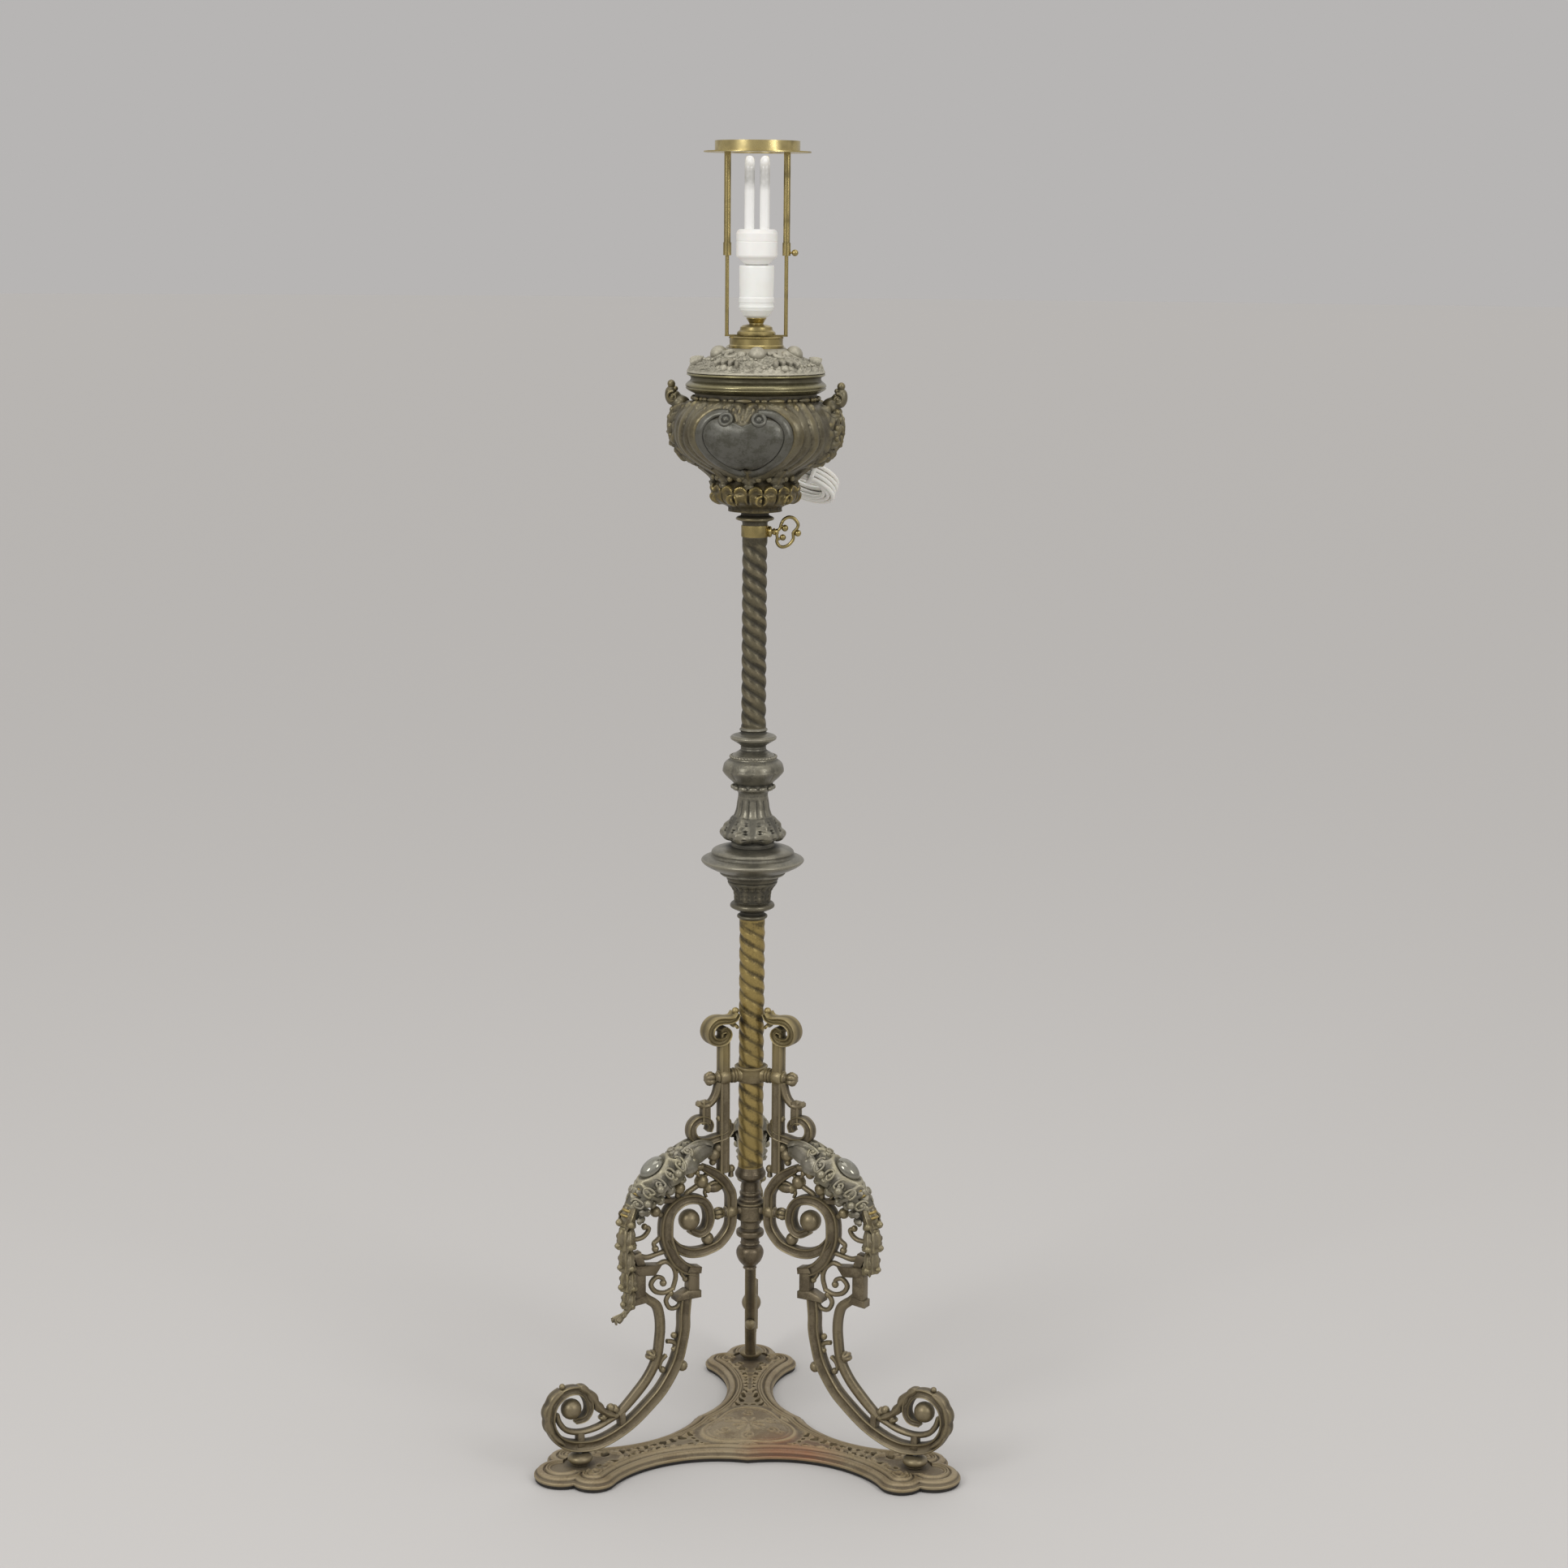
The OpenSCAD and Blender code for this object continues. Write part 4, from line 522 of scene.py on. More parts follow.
VASE_BRONZE = patinated_brass("dark_cast_bronze", "#6c6653", "#565040", "#242018", "#978a62", 0.38, 0.65, rub=0.7)
PANEL_BRONZE = patinated_brass("slate_grey_bronze", "#62615a", "#504f46", "#2b2a25", "#7e7b6c", 0.36, 0.6, blotch=14,
                               rub=0.3)
RING_BRASS = patinated_brass("rubbed_gadroon_brass", "#716544", "#554c33", "#241f13", "#bba768", 0.32, 0.75, rub=0.85)
COVER_BRONZE = patinated_brass("embossed_grey_bronze", "#aba696", "#938f80", "#565246", "#c8c3ae", 0.5, 0.5, rub=0.5)
BAND_BRASS = patinated_brass("turned_band_brass", "#7e785c", "#676148", "#2c281d", "#cdc493", 0.26, 0.8, blotch=40)
BRIGHT_BRASS = bright_brass("lacquered_brass", "#aa9a68", "#80744f")
PALE_BRASS = bright_brass("pale_lacquered_brass", "#cdbc84", "#9c8f66")
DEEP_BRASS = bright_brass("deep_lacquered_brass", "#a38c52", "#7f6c3e", 0.32)
STEEL = bright_brass("plain_steel", "#9a9a98", "#7d7d7a", 0.35)
HOLDER_PLASTIC = moulded_plastic("white_moulded_plastic", "#f1f0ec", "#e2ddd0")
BULB_PLASTIC = moulded_plastic("white_bulb_plastic", "#f3f2ef", "#e6e3dc")
CORD_VINYL = moulded_plastic("white_cord_vinyl", "#eeece6", "#dcd6c8", 0.4)


def bulb_glass():
    """Phosphor-coated tube: white and glossy, with a thin grey haze where the coating is worn below the bends."""
    finish, tree = new_finish("phosphor_coated_glass")
    place = add_node(tree, "TexCoord").outputs["Object"]
    height = add_node(tree, "SeparateXYZ", {}, {0: place}).outputs[2]
    off = add_node(tree, "Math", {"operation": "SUBTRACT", 1: (top_of("bulb_tubes") - 25) * MM}, {0: height})
    away = add_node(tree, "Math", {"operation": "ABSOLUTE"}, {0: off.outputs[0]})
    haze = add_node(tree, "MapRange", {"From Min": 16 * MM, "From Max": 7 * MM}, {"Value": away.outputs[0]})
    # Wisps about 8 mm long
    wisps = add_node(tree, "TexNoise", {"Scale": cells(8), "Detail": 3.0}, {"Vector": place}).outputs["Fac"]
    share = add_node(tree, "Math", {"operation": "MULTIPLY"}, {0: haze.outputs[0], 1: wisps}).outputs[0]
    base = add_node(tree, "Mix", {"data_type": "RGBA", 6: colour("#f5f5f3"), 7: colour("#9d9d99")},
                    {0: share}).outputs[2]
    shader = add_node(tree, "BsdfPrincipled", {"Roughness": 0.22, "Coat Weight": 0.6, "Coat Roughness": 0.05},
                      {"Base Color": base})
    add_node(tree, "OutputMaterial", {}, {"Surface": shader.outputs[0]})
    return finish


BULB_GLASS = bulb_glass()


# Cord: a short tail out of the strain relief, then a tied coil of four layers behind the vase
CORD_D = 5.4
COIL_AT = np.array((63, 82, 0))
COIL_AZ, COIL_TILT = math.radians(52), math.radians(33)
COIL_R, COIL_PITCH, COIL_LAYERS, COIL_TURNS, COIL_STEPS = 31.5, 6.0, 4, 2.5, 24
# The coil's axis, its two directions across, and how far its end rises to the plug
COIL_N = np.append(math.sin(COIL_TILT) * np.array((math.cos(COIL_AZ), math.sin(COIL_AZ))), math.cos(COIL_TILT))
COIL_U = np.append(math.cos(COIL_TILT) * np.array((math.cos(COIL_AZ), math.sin(COIL_AZ))), -math.sin(COIL_TILT))
COIL_V = np.array((-math.sin(COIL_AZ), math.cos(COIL_AZ), 0))
PLUG_LIFT = CORD_D / 2 + 7.8
# The strap: its distance from the coil's middle turn, the radius of its corners and its place round the coil
STRAP_OFF, STRAP_CORNER, STRAP_AT = 11.1, 3, 225
STRAP_SECTION = ((-2.5, -0.5), (2.5, -0.5), (2.5, 0.3), (1.2, 0.7), (-1.2, 0.7), (-2.5, 0.3))
GLAND_AT = np.array((8, 58, 12))
GLAND_AXIS = unit((0.12, 0.86, -0.5))
GLAND_L = 20


def ease(t):
    t = min(max(t, 0), 1)
    return t * t * (3 - 2 * t)


def coil_point(t, middle):
    """The coil's line after t turns: it spirals in and out again and climbs a layer in each half turn between."""
    m = t % (2 * COIL_TURNS)
    inwards = m if m < COIL_TURNS else 2 * COIL_TURNS - m
    r, a = COIL_R + COIL_PITCH * (COIL_TURNS / 2 - inwards), math.radians(90 - 360 * t)
    layer = sum(ease((t - k * COIL_TURNS) * 2 + 0.5) for k in range(1, COIL_LAYERS)) - (COIL_LAYERS - 1) / 2
    rise = COIL_PITCH * layer + PLUG_LIFT * ease((t - COIL_LAYERS * COIL_TURNS + 0.2) * 5)
    return middle + r * math.cos(a) * COIL_U + r * math.sin(a) * COIL_V + rise * COIL_N


def add_cord():
    ring_foot, ring_h = foot_of("gadroon_ring"), top_of("gadroon_ring") - foot_of("gadroon_ring")
    middle = COIL_AT + np.array((0, 0, ring_foot + 0.75 * ring_h))
    vase_z = foot_of("vase_body")
    count = int(COIL_LAYERS * COIL_TURNS * COIL_STEPS)
    turns = [coil_point(i / COIL_STEPS, middle) for i in range(count + 1)]
    coil = [turns[0] - COIL_U * CORD_D] + turns + [turns[-1] + COIL_U * CORD_D]
    start = GLAND_AT + np.array((0, 0, vase_z)) + GLAND_AXIS * GLAND_L
    tail = [start] + list(spline([start + GLAND_AXIS * CORD_D, start + GLAND_AXIS * 1.8 * CORD_D,
                                  coil[0] - COIL_U * 1.8 * CORD_D, coil[0] - COIL_U * CORD_D], 3))
    route = np.array(tail + coil)
    cord = Casting()
    cord.cable(route, CORD_D / 2, 12)
    piece = cord.build("mains_cord", CORD_VINYL, "font", "cord_white", ["cord_tail", "cord_coil"])
    # A strap with rounded corners holds the turns together
    near, far, half = COIL_R - STRAP_OFF, COIL_R + STRAP_OFF, COIL_PITCH * 1.5 + CORD_D / 2 + 0.9
    away = math.cos(math.radians(STRAP_AT)) * COIL_U + math.sin(math.radians(STRAP_AT)) * COIL_V
    side = np.cross(away, COIL_N)
    rings = []
    for x, y, start_angle in ((far, half, 0), (near, half, 90), (near, -half, 180), (far, -half, 270)):
        inwards = (np.sign(COIL_R - x) * STRAP_CORNER, -np.sign(y) * STRAP_CORNER)
        for a in np.radians(np.linspace(start_angle, start_angle + 90, 7)):
            out = math.cos(a) * away + math.sin(a) * COIL_N
            at = middle + (x + inwards[0]) * away + (y + inwards[1]) * COIL_N + STRAP_CORNER * out
            rings.append([at + u * side + v * out for u, v in STRAP_SECTION])
    tie = Casting()
    tie.loft(rings, endless=True)
    strap = tie.build("cord_strap", CORD_VINYL, "font", "cord_white", ["cord_tie"])


# Legs: routes in the leg's plane, [distance from the axis, height above the leg's underside, width]
LEG_Z = foot_of("leg_back")
# The spiders' arms meet the legs at these shares of the CAD's leg height
LEG_H = 504
UPPER_SPIDER_Z, LOWER_SPIDER_Z = LEG_Z + LEG_H * 0.897, LEG_Z + LEG_H * 0.549
MAIN_RAIL = [(92, 181, 15), (94.7, 154, 15), (95, 136, 15), (99, 115, 15), (104, 97, 15), (112, 81, 15), (127, 60, 15),
             (147, 42, 15), (167, 27, 15), (187, 16.5, 15), (206, 10, 15), (224, 7.8, 15), (248, 11.5, 14),
             (266, 21, 12.5), (277, 37, 12), (280, 54, 13), (275, 70, 12.5), (262, 81, 12), (248, 83.5, 11),
             (236, 79, 10.5), (228, 67, 10), (226.5, 54, 9.5), (233, 45, 9), (245, 43.5, 8)]
THIN_RAIL = [(152, 190, 9), (145, 182, 11), (133, 172, 12), (128.5, 158, 12), (127.3, 142, 12), (128.5, 126, 12),
             (131, 108, 12), (136.5, 93, 12), (147, 77, 12), (161, 62, 12), (176, 48, 11), (186, 40, 10)]
FOOT_BAND = [(184, 41, 10), (198, 35, 8), (216, 28.5, 7.5), (238, 27, 7), (256, 32.5, 7), (266, 44, 6.5), (270, 56, 6)]
BIG_VOLUTE = [(80, 208.5, 12), (92, 213, 14), (104, 223, 15), (112, 235, 15), (119, 254, 16.5), (120, 268, 17),
              (118.5, 282, 16.5), (112.5, 293, 15.5), (101, 300.5, 14), (90, 302.5, 12.5), (78.5, 301, 12),
              (68.5, 296, 12), (62.5, 288, 12), (60, 279, 12), (60, 270, 12), (64.5, 260, 11), (74, 256, 10),
              (85, 261, 9)]
LOWER_LOOP = [(28.5, 277, 13), (28.5, 263, 13), (32, 253, 13), (39, 244, 13), (48, 237, 13), (61.5, 233, 13),
              (73, 231.5, 13), (87, 233, 13), (100, 239, 12), (109, 247, 11), (115, 256, 9)]
UPPER_ARC = [(28.5, 275, 13), (28.5, 298, 13), (33, 309, 13), (39, 318, 13), (47, 326, 13), (57, 333, 12), (68, 340, 9)]
RING_VOLUTE = [(30, 391, 7), (31, 383, 8), (39, 377, 9), (52, 375, 9.5), (64, 373, 10), (76, 375.5, 10.5),
               (84, 384, 11), (84, 395, 10.5), (76, 402, 10), (65, 401, 9), (59, 394, 8), (61, 386, 7)]
SIDE_BRACKET = [(46, 446, 11), (49, 434, 10), (54, 425, 9), (61, 419.5, 8.5), (68, 419, 8), (75, 422.5, 7)]
TOP_SCROLL = [(23, 532, 5), (27, 526, 7), (35, 524.5, 8.5), (44, 525.5, 9.5), (53, 524.5, 10.5), (60, 518.5, 11),
              (62, 509.5, 11), (57.5, 501.5, 10.5), (48.5, 498.5, 10), (39.5, 501, 9.5), (36, 508, 8.5),
              (40, 513.5, 7.5), (46.5, 512, 6.5)]
FOOT_LEAF = [(240, 86, 9), (231, 80, 11), (221, 68, 13), (214, 56, 12), (204, 46, 10), (192, 40, 8)]
OUTER_LEAF = [(262, 17, 5), (274, 28, 9), (282, 44, 11), (283, 60, 12), (277, 75, 11), (264, 86, 8)]
# Thin scrolls between the rails, each ending in a ball of that radius
FILIGREE = [([(109, 190, 5), (121, 186, 6), (134, 190, 6.5), (140, 200, 6.5), (133, 208, 6), (124, 205, 5.5),
              (123, 199, 5)], 4.6),
            ([(114, 184, 6), (119, 175, 6), (114, 165, 6), (105, 164, 5.5), (99, 170, 5), (103, 175, 4.5)], 4.2),
            ([(110, 188, 6), (105.5, 204, 6), (109, 217, 6), (119, 226, 6.5), (130, 224, 6.5), (137, 219, 6)], 0),
            ([(106, 208, 5), (100, 213, 5), (97, 206, 5), (92, 199, 5)], 4.0),
            ([(118, 122, 6), (110, 120, 6), (105, 115, 5.5), (108, 110, 5)], 3.6),
            ([(119, 104, 6), (126, 98, 6), (128, 90, 5), (124, 86, 5)], 4.4),
            ([(168, 262, 6), (155, 262, 6), (147, 266, 6), (143, 273, 5.5), (149, 276, 5)], 4.2),
            ([(124, 262, 6), (131, 256, 6), (136, 252, 6), (134, 245, 5)], 4.6), ([(28, 322, 7), (28, 332, 5)], 5.2),
            ([(120, 240, 7), (132, 238, 6), (146, 236, 7), (158, 240, 8)], 0),
            ([(94, 303, 7), (90, 310, 7), (82, 314, 7), (74, 318, 7)], 0),
            ([(100, 300, 7), (103, 309, 7), (102, 318, 7)], 0), ([(66, 339, 9), (76, 340, 9), (86, 335, 9)], 0),
            ([(119, 283, 7), (127, 288, 7), (134, 293, 7)], 0),
            ([(60, 333, 6), (66, 328, 5.5), (73, 329, 5), (76, 334, 4.5)], 3.6),
            ([(112, 301, 6), (118, 312, 5.5), (125, 318, 5)], 4.8)]
LEG_BALLS = [(250, 59, 13), (87, 275, 13.6), (96, 86, 7), (61, 246.6, 8), (113, 184, 4.5), (108, 128, 4.2),
             (33, 393, 5), (47, 362, 6.5), (53, 354, 8.5), (54, 344.5, 4.6), (70, 322, 9), (86, 335, 6.5),
             (101, 318, 8), (134, 293, 7), (262, 90, 3.8), (196, 50, 5.5), (45, 399, 4.2), (78, 349, 6)]
LEG_BUDS = [(140, 108, 7.5, 5), (190, 47, 6, 4), (207, 40, 6, 4)]


def in_plane(route):
    """Points of a leg's plane in the lamp's frame, for a leg along +X."""
    route = np.array(route, float)
    return np.stack([route[:, 0], np.zeros(len(route)), route[:, 1] + LEG_Z], 1)


def rail(casting, route, section, deep, steps=6, wavy=0, share=0.2):
    """One rail of a leg. A wavy rail swells and shrinks that many times, as a leaf's edge does."""
    line = spline(route, steps)
    wide = line[:, 2].copy()
    if wavy:
        wide *= 1 - share * (1 - np.abs(np.sin(np.linspace(0, math.pi * wavy, len(wide)))))
    casting.sweep(in_plane(line), section, wide, deep, (0, 1, 0))


def block(casting, corners, deep):
    """A moulded block in the leg's plane, with chamfered faces."""
    chamfer = 1.2
    corners = np.array(corners, float)
    middle = corners.mean(0)
    small = middle + (corners - middle) * (1 - chamfer * 2 / np.ptp(corners, axis=0).min())
    rings = []
    for outline, y in ((small, -deep / 2), (corners, -deep / 2 + chamfer), (corners, deep / 2 - chamfer),
                       (small, deep / 2)):
        rings.append(np.column_stack([outline[:, 0], np.full(len(outline), y), outline[:, 1] + LEG_Z]))
    casting.loft(rings, 0.1)


def leg_casting():
    leg = Casting()
    rail(leg, MAIN_RAIL, CHANNEL, 14)
    rail(leg, THIN_RAIL, RIDGED, 12)
    rail(leg, FOOT_BAND, RIDGED, 10)
    rail(leg, BIG_VOLUTE, CHANNEL, 15)
    rail(leg, LOWER_LOOP, CHANNEL, 13)
    rail(leg, UPPER_ARC, CHANNEL, 13)
    rail(leg, RING_VOLUTE, CHANNEL, 14)
    rail(leg, SIDE_BRACKET, RIDGED, 12)
    rail(leg, TOP_SCROLL, CHANNEL, 22)
    rail(leg, FOOT_LEAF, RIDGED, 15, wavy=4, share=0.4)
    rail(leg, OUTER_LEAF, RIDGED, 17, wavy=4, share=0.4)
    rail(leg, [(39.5, 330, 13), (39.5, 400, 13), (39.5, 470, 13), (39.5, 512, 13)], BAR, 14)
    rail(leg, [(65, 424, 11), (65, 410, 11), (65, 396, 12)], BAR, 12)
    # Leaf tips that lean on the column
    leg.ball(in_plane([(23, 534)])[0], 4.6)
    leg.leaf(in_plane(spline([(34, 524), (28, 518), (23, 513), (19.5, 515)], 5)), (0, 0, 1), 15, 3)
    # Step of the inner rail: an upright with a flared shelf above and below
    block(leg, [(75, 176), (90, 176), (90, 213), (75, 213)], 14)
    block(leg, [(73, 205), (92, 209), (88, 216), (72, 213)], 17)
    block(leg, [(73, 174), (108, 174), (108, 179), (92, 186), (73, 183)], 17)
    # Step of the outer rail and its pointed shelf
    block(leg, [(150, 182), (165.6, 182), (165.6, 226), (150, 226)], 14)
    block(leg, [(146, 180), (168, 178), (168, 187), (150, 190)], 16)
    block(leg, [(128, 225), (137, 213), (160, 216), (168, 224), (168, 230), (150, 228)], 16)
    block(leg, [(148, 224), (160, 224), (168, 244), (156, 246)], 12)
    # Ties between the rails and the strap to the garland
    block(leg, [(176, 22), (185, 22), (187, 42), (178, 44)], 12)
    block(leg, [(233, 8), (243, 8), (243, 28), (234, 28)], 11)
    block(leg, [(106, 301), (150, 305), (158, 311), (150, 313), (106, 307)], 10)
    for route, end in FILIGREE:
        rail(leg, route, ROUND, 7)
        if end:
            leg.ball(in_plane([route[-1]])[0], end)
    for x, y, r in LEG_BALLS:
        leg.ball(in_plane([(x, y)])[0], r, sides=20 if r > 9 else 14)
    for x, y, r, petals in LEG_BUDS:
        leg.ball(in_plane([(x, y)])[0], r, (0, 1, 0), 1.1, 20, petals, 0.3)
    # Acorn inside the upper arc
    leg.turned([(0, -13), (2.5, -12), (5.6, -6), (6.2, 0), (5.4, 6), (6.6, 7), (6.2, 10), (3, 13), (0, 14)],
               in_plane([(53, 311)])[0], (1, 0, 0.1), 16)
    rail(leg, [(48, 318, 6), (58, 316, 5), (65, 308, 4.5), (63, 301, 4)], ROUND, 6)
    # Bosses that the spiders' screws go through
    leg.turned([(0, -1), (9, 0), (10, 2), (10, 11), (9, 13), (0, 14)], in_plane([(33, 452)])[0], (1, 0, 0), 24)
    leg.turned([(0, -1), (7, 0), (8.2, 2), (8.2, 10), (7, 12), (0, 13)], in_plane([(22, 276.7)])[0], (1, 0, 0), 24)
    return leg


# Garland: its middle line, in the leg's plane
GARLAND = [(58, 365), (77, 368), (96, 364), (116, 356), (135, 345), (151, 331), (163, 314), (172, 292), (174, 262),
           (172, 228), (170, 196), (172, 172), (188, 158)]
# Points of that line, ten to a run, at the stone and at the end of the shoulder
GARLAND_STEPS, STONE_POINT, SHOULDER_POINT = 10, 40, 60
GARLAND_HALF = 27


def garland_casting(broken=False):
    """A cartouche with a stone on the leg's shoulder and a string of husks below it, and the ribs that bind them.

    The right-hand string is broken off above the leg's outer step, as in the photograph.
    """
    garland, string, ribs = Casting(), Casting(), Casting()
    line = spline(GARLAND, GARLAND_STEPS)
    along = unit(np.gradient(line, axis=0))
    out = np.stack([-along[:, 1], along[:, 0]], 1)
    length = run_lengths(line)

    def at(s, v=0.0, rise=0.0):
        """Point at arc length s, v to the side and that far above the middle line."""
        p = [np.interp(s, length, line[:, k]) for k in (0, 1)]
        n = unit([np.interp(s, length, out[:, k]) for k in (0, 1)])
        return np.array((p[0] + n[0] * rise, v, p[1] + n[1] * rise + LEG_Z))

    shoulder_end, stone = length[SHOULDER_POINT], length[STONE_POINT]
    # The sheet: crowned across, drooping at its scalloped edges, with a sunk field and pierced-looking eyes
    s = np.linspace(0, shoulder_end + 24, 90)
    v = np.linspace(-1, 1, 41)
    swell = np.interp(s / shoulder_end, [0, 0.12, 0.3, 0.62, 0.85, 1.0, 1.2], [0.35, 0.6, 0.95, 1.0, 0.8, 0.62, 0.4])
    half = GARLAND_HALF * swell * (1 - 0.13 * (1 - np.abs(np.sin(s / shoulder_end * math.pi * 4.5))))
    grid_s, grid_v = np.meshgrid(s, v, indexing="ij")
    across = grid_v * half[:, None]
    eyes = [(stone - 37, 14), (stone - 18, 22), (stone + 1, 23), (stone + 19, 21), (stone + 36, 14), (stone - 52, 8)]
    oval = np.array([(stone + 22 * math.cos(a), 15.5 * math.sin(a)) for a in np.linspace(0, 2 * math.pi, 40)])
    ridges = [(oval, 3.0, 3.2)]
    for side in (-1, 1):
        for cs, cv, r0, r1, a0, turns in ((stone - 30, 9, 13, 2.5, 200, 1.1), (stone + 31, 10, 11, 2, -20, -1.1),
                                          (stone - 54, 6, 9, 2, 160, 1.0), (stone, 24, 9, 5, 200, 0.4)):
            curl = scroll((cs, cv), r0, r1, a0, turns)
            ridges.append((curl * (1, side), 2.6, 3.6))
        ridges.append((spline([(0, 2 * side), (stone - 45, 16 * side), (stone - 20, 24 * side),
                               (stone + 6, 25.5 * side), (stone + 34, 17 * side), (shoulder_end + 10, 8 * side)], 6),
                       2.6, 2.8))
    places = np.stack([grid_s.ravel(), across.ravel()], 1)
    rise = ridge_height(places, ridges).reshape(grid_s.shape)
    sunk = np.zeros_like(rise)
    for side in (-1, 1):
        for es, ev in eyes:
            d = np.hypot((grid_s - es) / 7.5, (across - ev * side) / 4.4)
            sunk = np.maximum(sunk, 7.5 * np.clip(1.3 - d, 0, 1))
    crown = 4.5 * (1 - grid_v ** 2) - 17 * np.abs(grid_v) ** 2.4 * half[:, None] / GARLAND_HALF
    high = crown + rise - np.where(rise < 0.6, sunk, 0)
    top = np.array([[at(s[i], across[i, j], 2 + high[i, j]) for j in range(len(v))] for i in range(len(s))])
    low = np.array([[at(s[i], across[i, j] * 0.97, -3.5 + crown[i, j]) for j in range(len(v) - 1, -1, -1)]
                    for i in range(len(s))])
    # The eyes' depth drives their colour to the darkest grime, painted shade that makes them read as pierced holes
    worn = np.clip(rise / 1.6 - 0.8 - sunk, -1, 1)
    garland.loft(np.concatenate([top, low], 1), np.hstack([worn, np.zeros_like(worn)]))

    def on_sheet(k, w, lift):
        """Point on the sheet at arc length k, w to the side and raised that much."""
        reach = np.interp(k, s, half)
        share = min(abs(w) / reach, 1)
        return at(k, math.copysign(share * reach, w),
                  2 + lift + 4.5 * (1 - share ** 2) - 17 * share ** 2.4 * reach / GARLAND_HALF)

    # Scrolled stems along the sheet's sides, with a bead in each eye
    for away, w, r0, way in ((-45, 12, 6, 1), (-27, 18.5, 7.5, -1), (-9, 21.5, 7, 1), (10, 21.5, 7, -1),
                             (28, 17.5, 7.5, 1), (46, 12, 6, -1)):
        for side in (-1, 1):
            curl = scroll((stone + away, w), r0, 2.4, 90 * way, 1.2 * way, 30)
            garland.cable([on_sheet(p, q * side, 1.3) for p, q in curl], 1.7, 8)
            garland.ball(on_sheet(stone + away, w * side, 1.6), 2.8, worn=0.5)
    # Knobs on the outline, and balls along the edges
    for k, r in ((stone - 30, 6.6), (stone + 33, 7.0)):
        garland.ball(at(k, 0, 6), r, at(k, 0, 12) - at(k, 0, 6), 0.95, 18, 6, 0.12)
        garland.cable([at(k + 3.6 * math.cos(a), 3.6 * math.sin(a), 12 - a * 0.18) for a in np.linspace(0, 9, 26)],
                      1.2, 8)
    for k, w, r in ((stone - 46, 17, 4.6), (stone - 18, 26, 5.2), (stone + 14, 26, 5.2), (stone + 40, 19, 4.8)):
        for side in (-1, 1):
            garland.ball(at(k, w * side, -9), r)
    # Bosses and curled leaves under the sheet, down to the leg's volutes
    for away, deep, r in ((-50, -9, 5.6), (-38, -19, 6.4), (-24, -27, 5.4), (-12, -21, 6.6), (1, -28, 7.2),
                          (14, -22, 5.6), (26, -27, 6.4), (38, -20, 6.0), (52, -17, 5.4), (64, -13, 4.8)):
        for side in (-1, 1):
            boss = at(stone + away, side * (9 + 3 * math.sin(away)), deep)
            garland.ball(boss, r, (0, 1, 0), 0.9, 16, 5, 0.12)
            root = at(stone + away + 3, side * 15, -6)
            garland.leaf([root + (boss - root) * t + np.array((0, side * 2.4 * math.sin(3.1 * t), 0))
                          for t in np.linspace(-0.1, 1.1, 9)], (0, side, 0.2), 9.5, 2, notch=0.4, thick=3.4)
    # Strap leaves from the ring volute
    for side in (-1, 1):
        garland.leaf([at(x, side * (5 + x * 0.12), 3 + 3 * math.sin(x / 14)) for x in np.linspace(-2, 44, 20)],
                     (0.4, 0, 1), 9, 3)
    # String of husks: each a bell of petals over the next, with buds on three sides
    husks = [(6, 36, 12.6), (34, 64, 14.2), (62, 92, 12.4), (90, 118, 12.8), (116, 142, 9.6)]
    for k, (a, b, r) in enumerate(husks[:3] if broken else husks):
        p, q = at(shoulder_end + a), at(shoulder_end + b)
        axis, span = q - p, np.linalg.norm(q - p)
        string.turned([(0, 0), (r * 0.45, 1), (r * 0.7, span * 0.2), (r * 0.86, span * 0.45), (r * 0.8, span * 0.7),
                       (r * 1.0, span * 0.92), (r * 0.9, span * 0.98), (r * 0.4, span * 0.9), (0, span * 0.88)], p,
                      axis, 30, 6, 0.28)
        string.ball(at(shoulder_end + a + 3), r * 0.62, axis, 0.5, 20, 8, 0.12)
        for side in (-1, 0, 1):
            rise = r * 0.8 if side == 0 else 1
            bud = at(shoulder_end + b - 6, side * r * 0.95, rise)
            string.ball(bud, 4.9 - 0.25 * k + 0.5 * math.sin(5 * k + 3 * side), bud - at(shoulder_end + b - 6), 1.1, 14,
                        4, 0.16)
        for side in (-1, 1):
            string.leaf([at(shoulder_end + a + t * span, side * r * (0.45 + 0.5 * math.sin(t * 2.6)), -2 + 6 * t)
                          for t in np.linspace(0.1, 1.05, 12)], (0.2, side, 0.1), 11, 3, crown=1.2)
    # Brass ribs that bind the string below the cartouche
    for away, r in ((-14, 9.5), (-8, 11), (14, 10), (20, 10.6)):
        p, q = at(shoulder_end + away), at(shoulder_end + away + 3.4)
        ribs.turned([(0, 0), (r * 0.9, 0.1), (r, 1.2), (r, 2.2), (r * 0.9, 3.3), (0, 3.4)], p, q - p, 20, 5, 0.12, 0.4)
    if broken:
        # Jagged stump of the break
        for side in (-1, 0, 1):
            string.ball(at(shoulder_end + 90, side * 5, -2 + 3 * side), 4.6,
                        at(shoulder_end + 96) - at(shoulder_end + 90), 1.5, 7)
        return garland, string, ribs
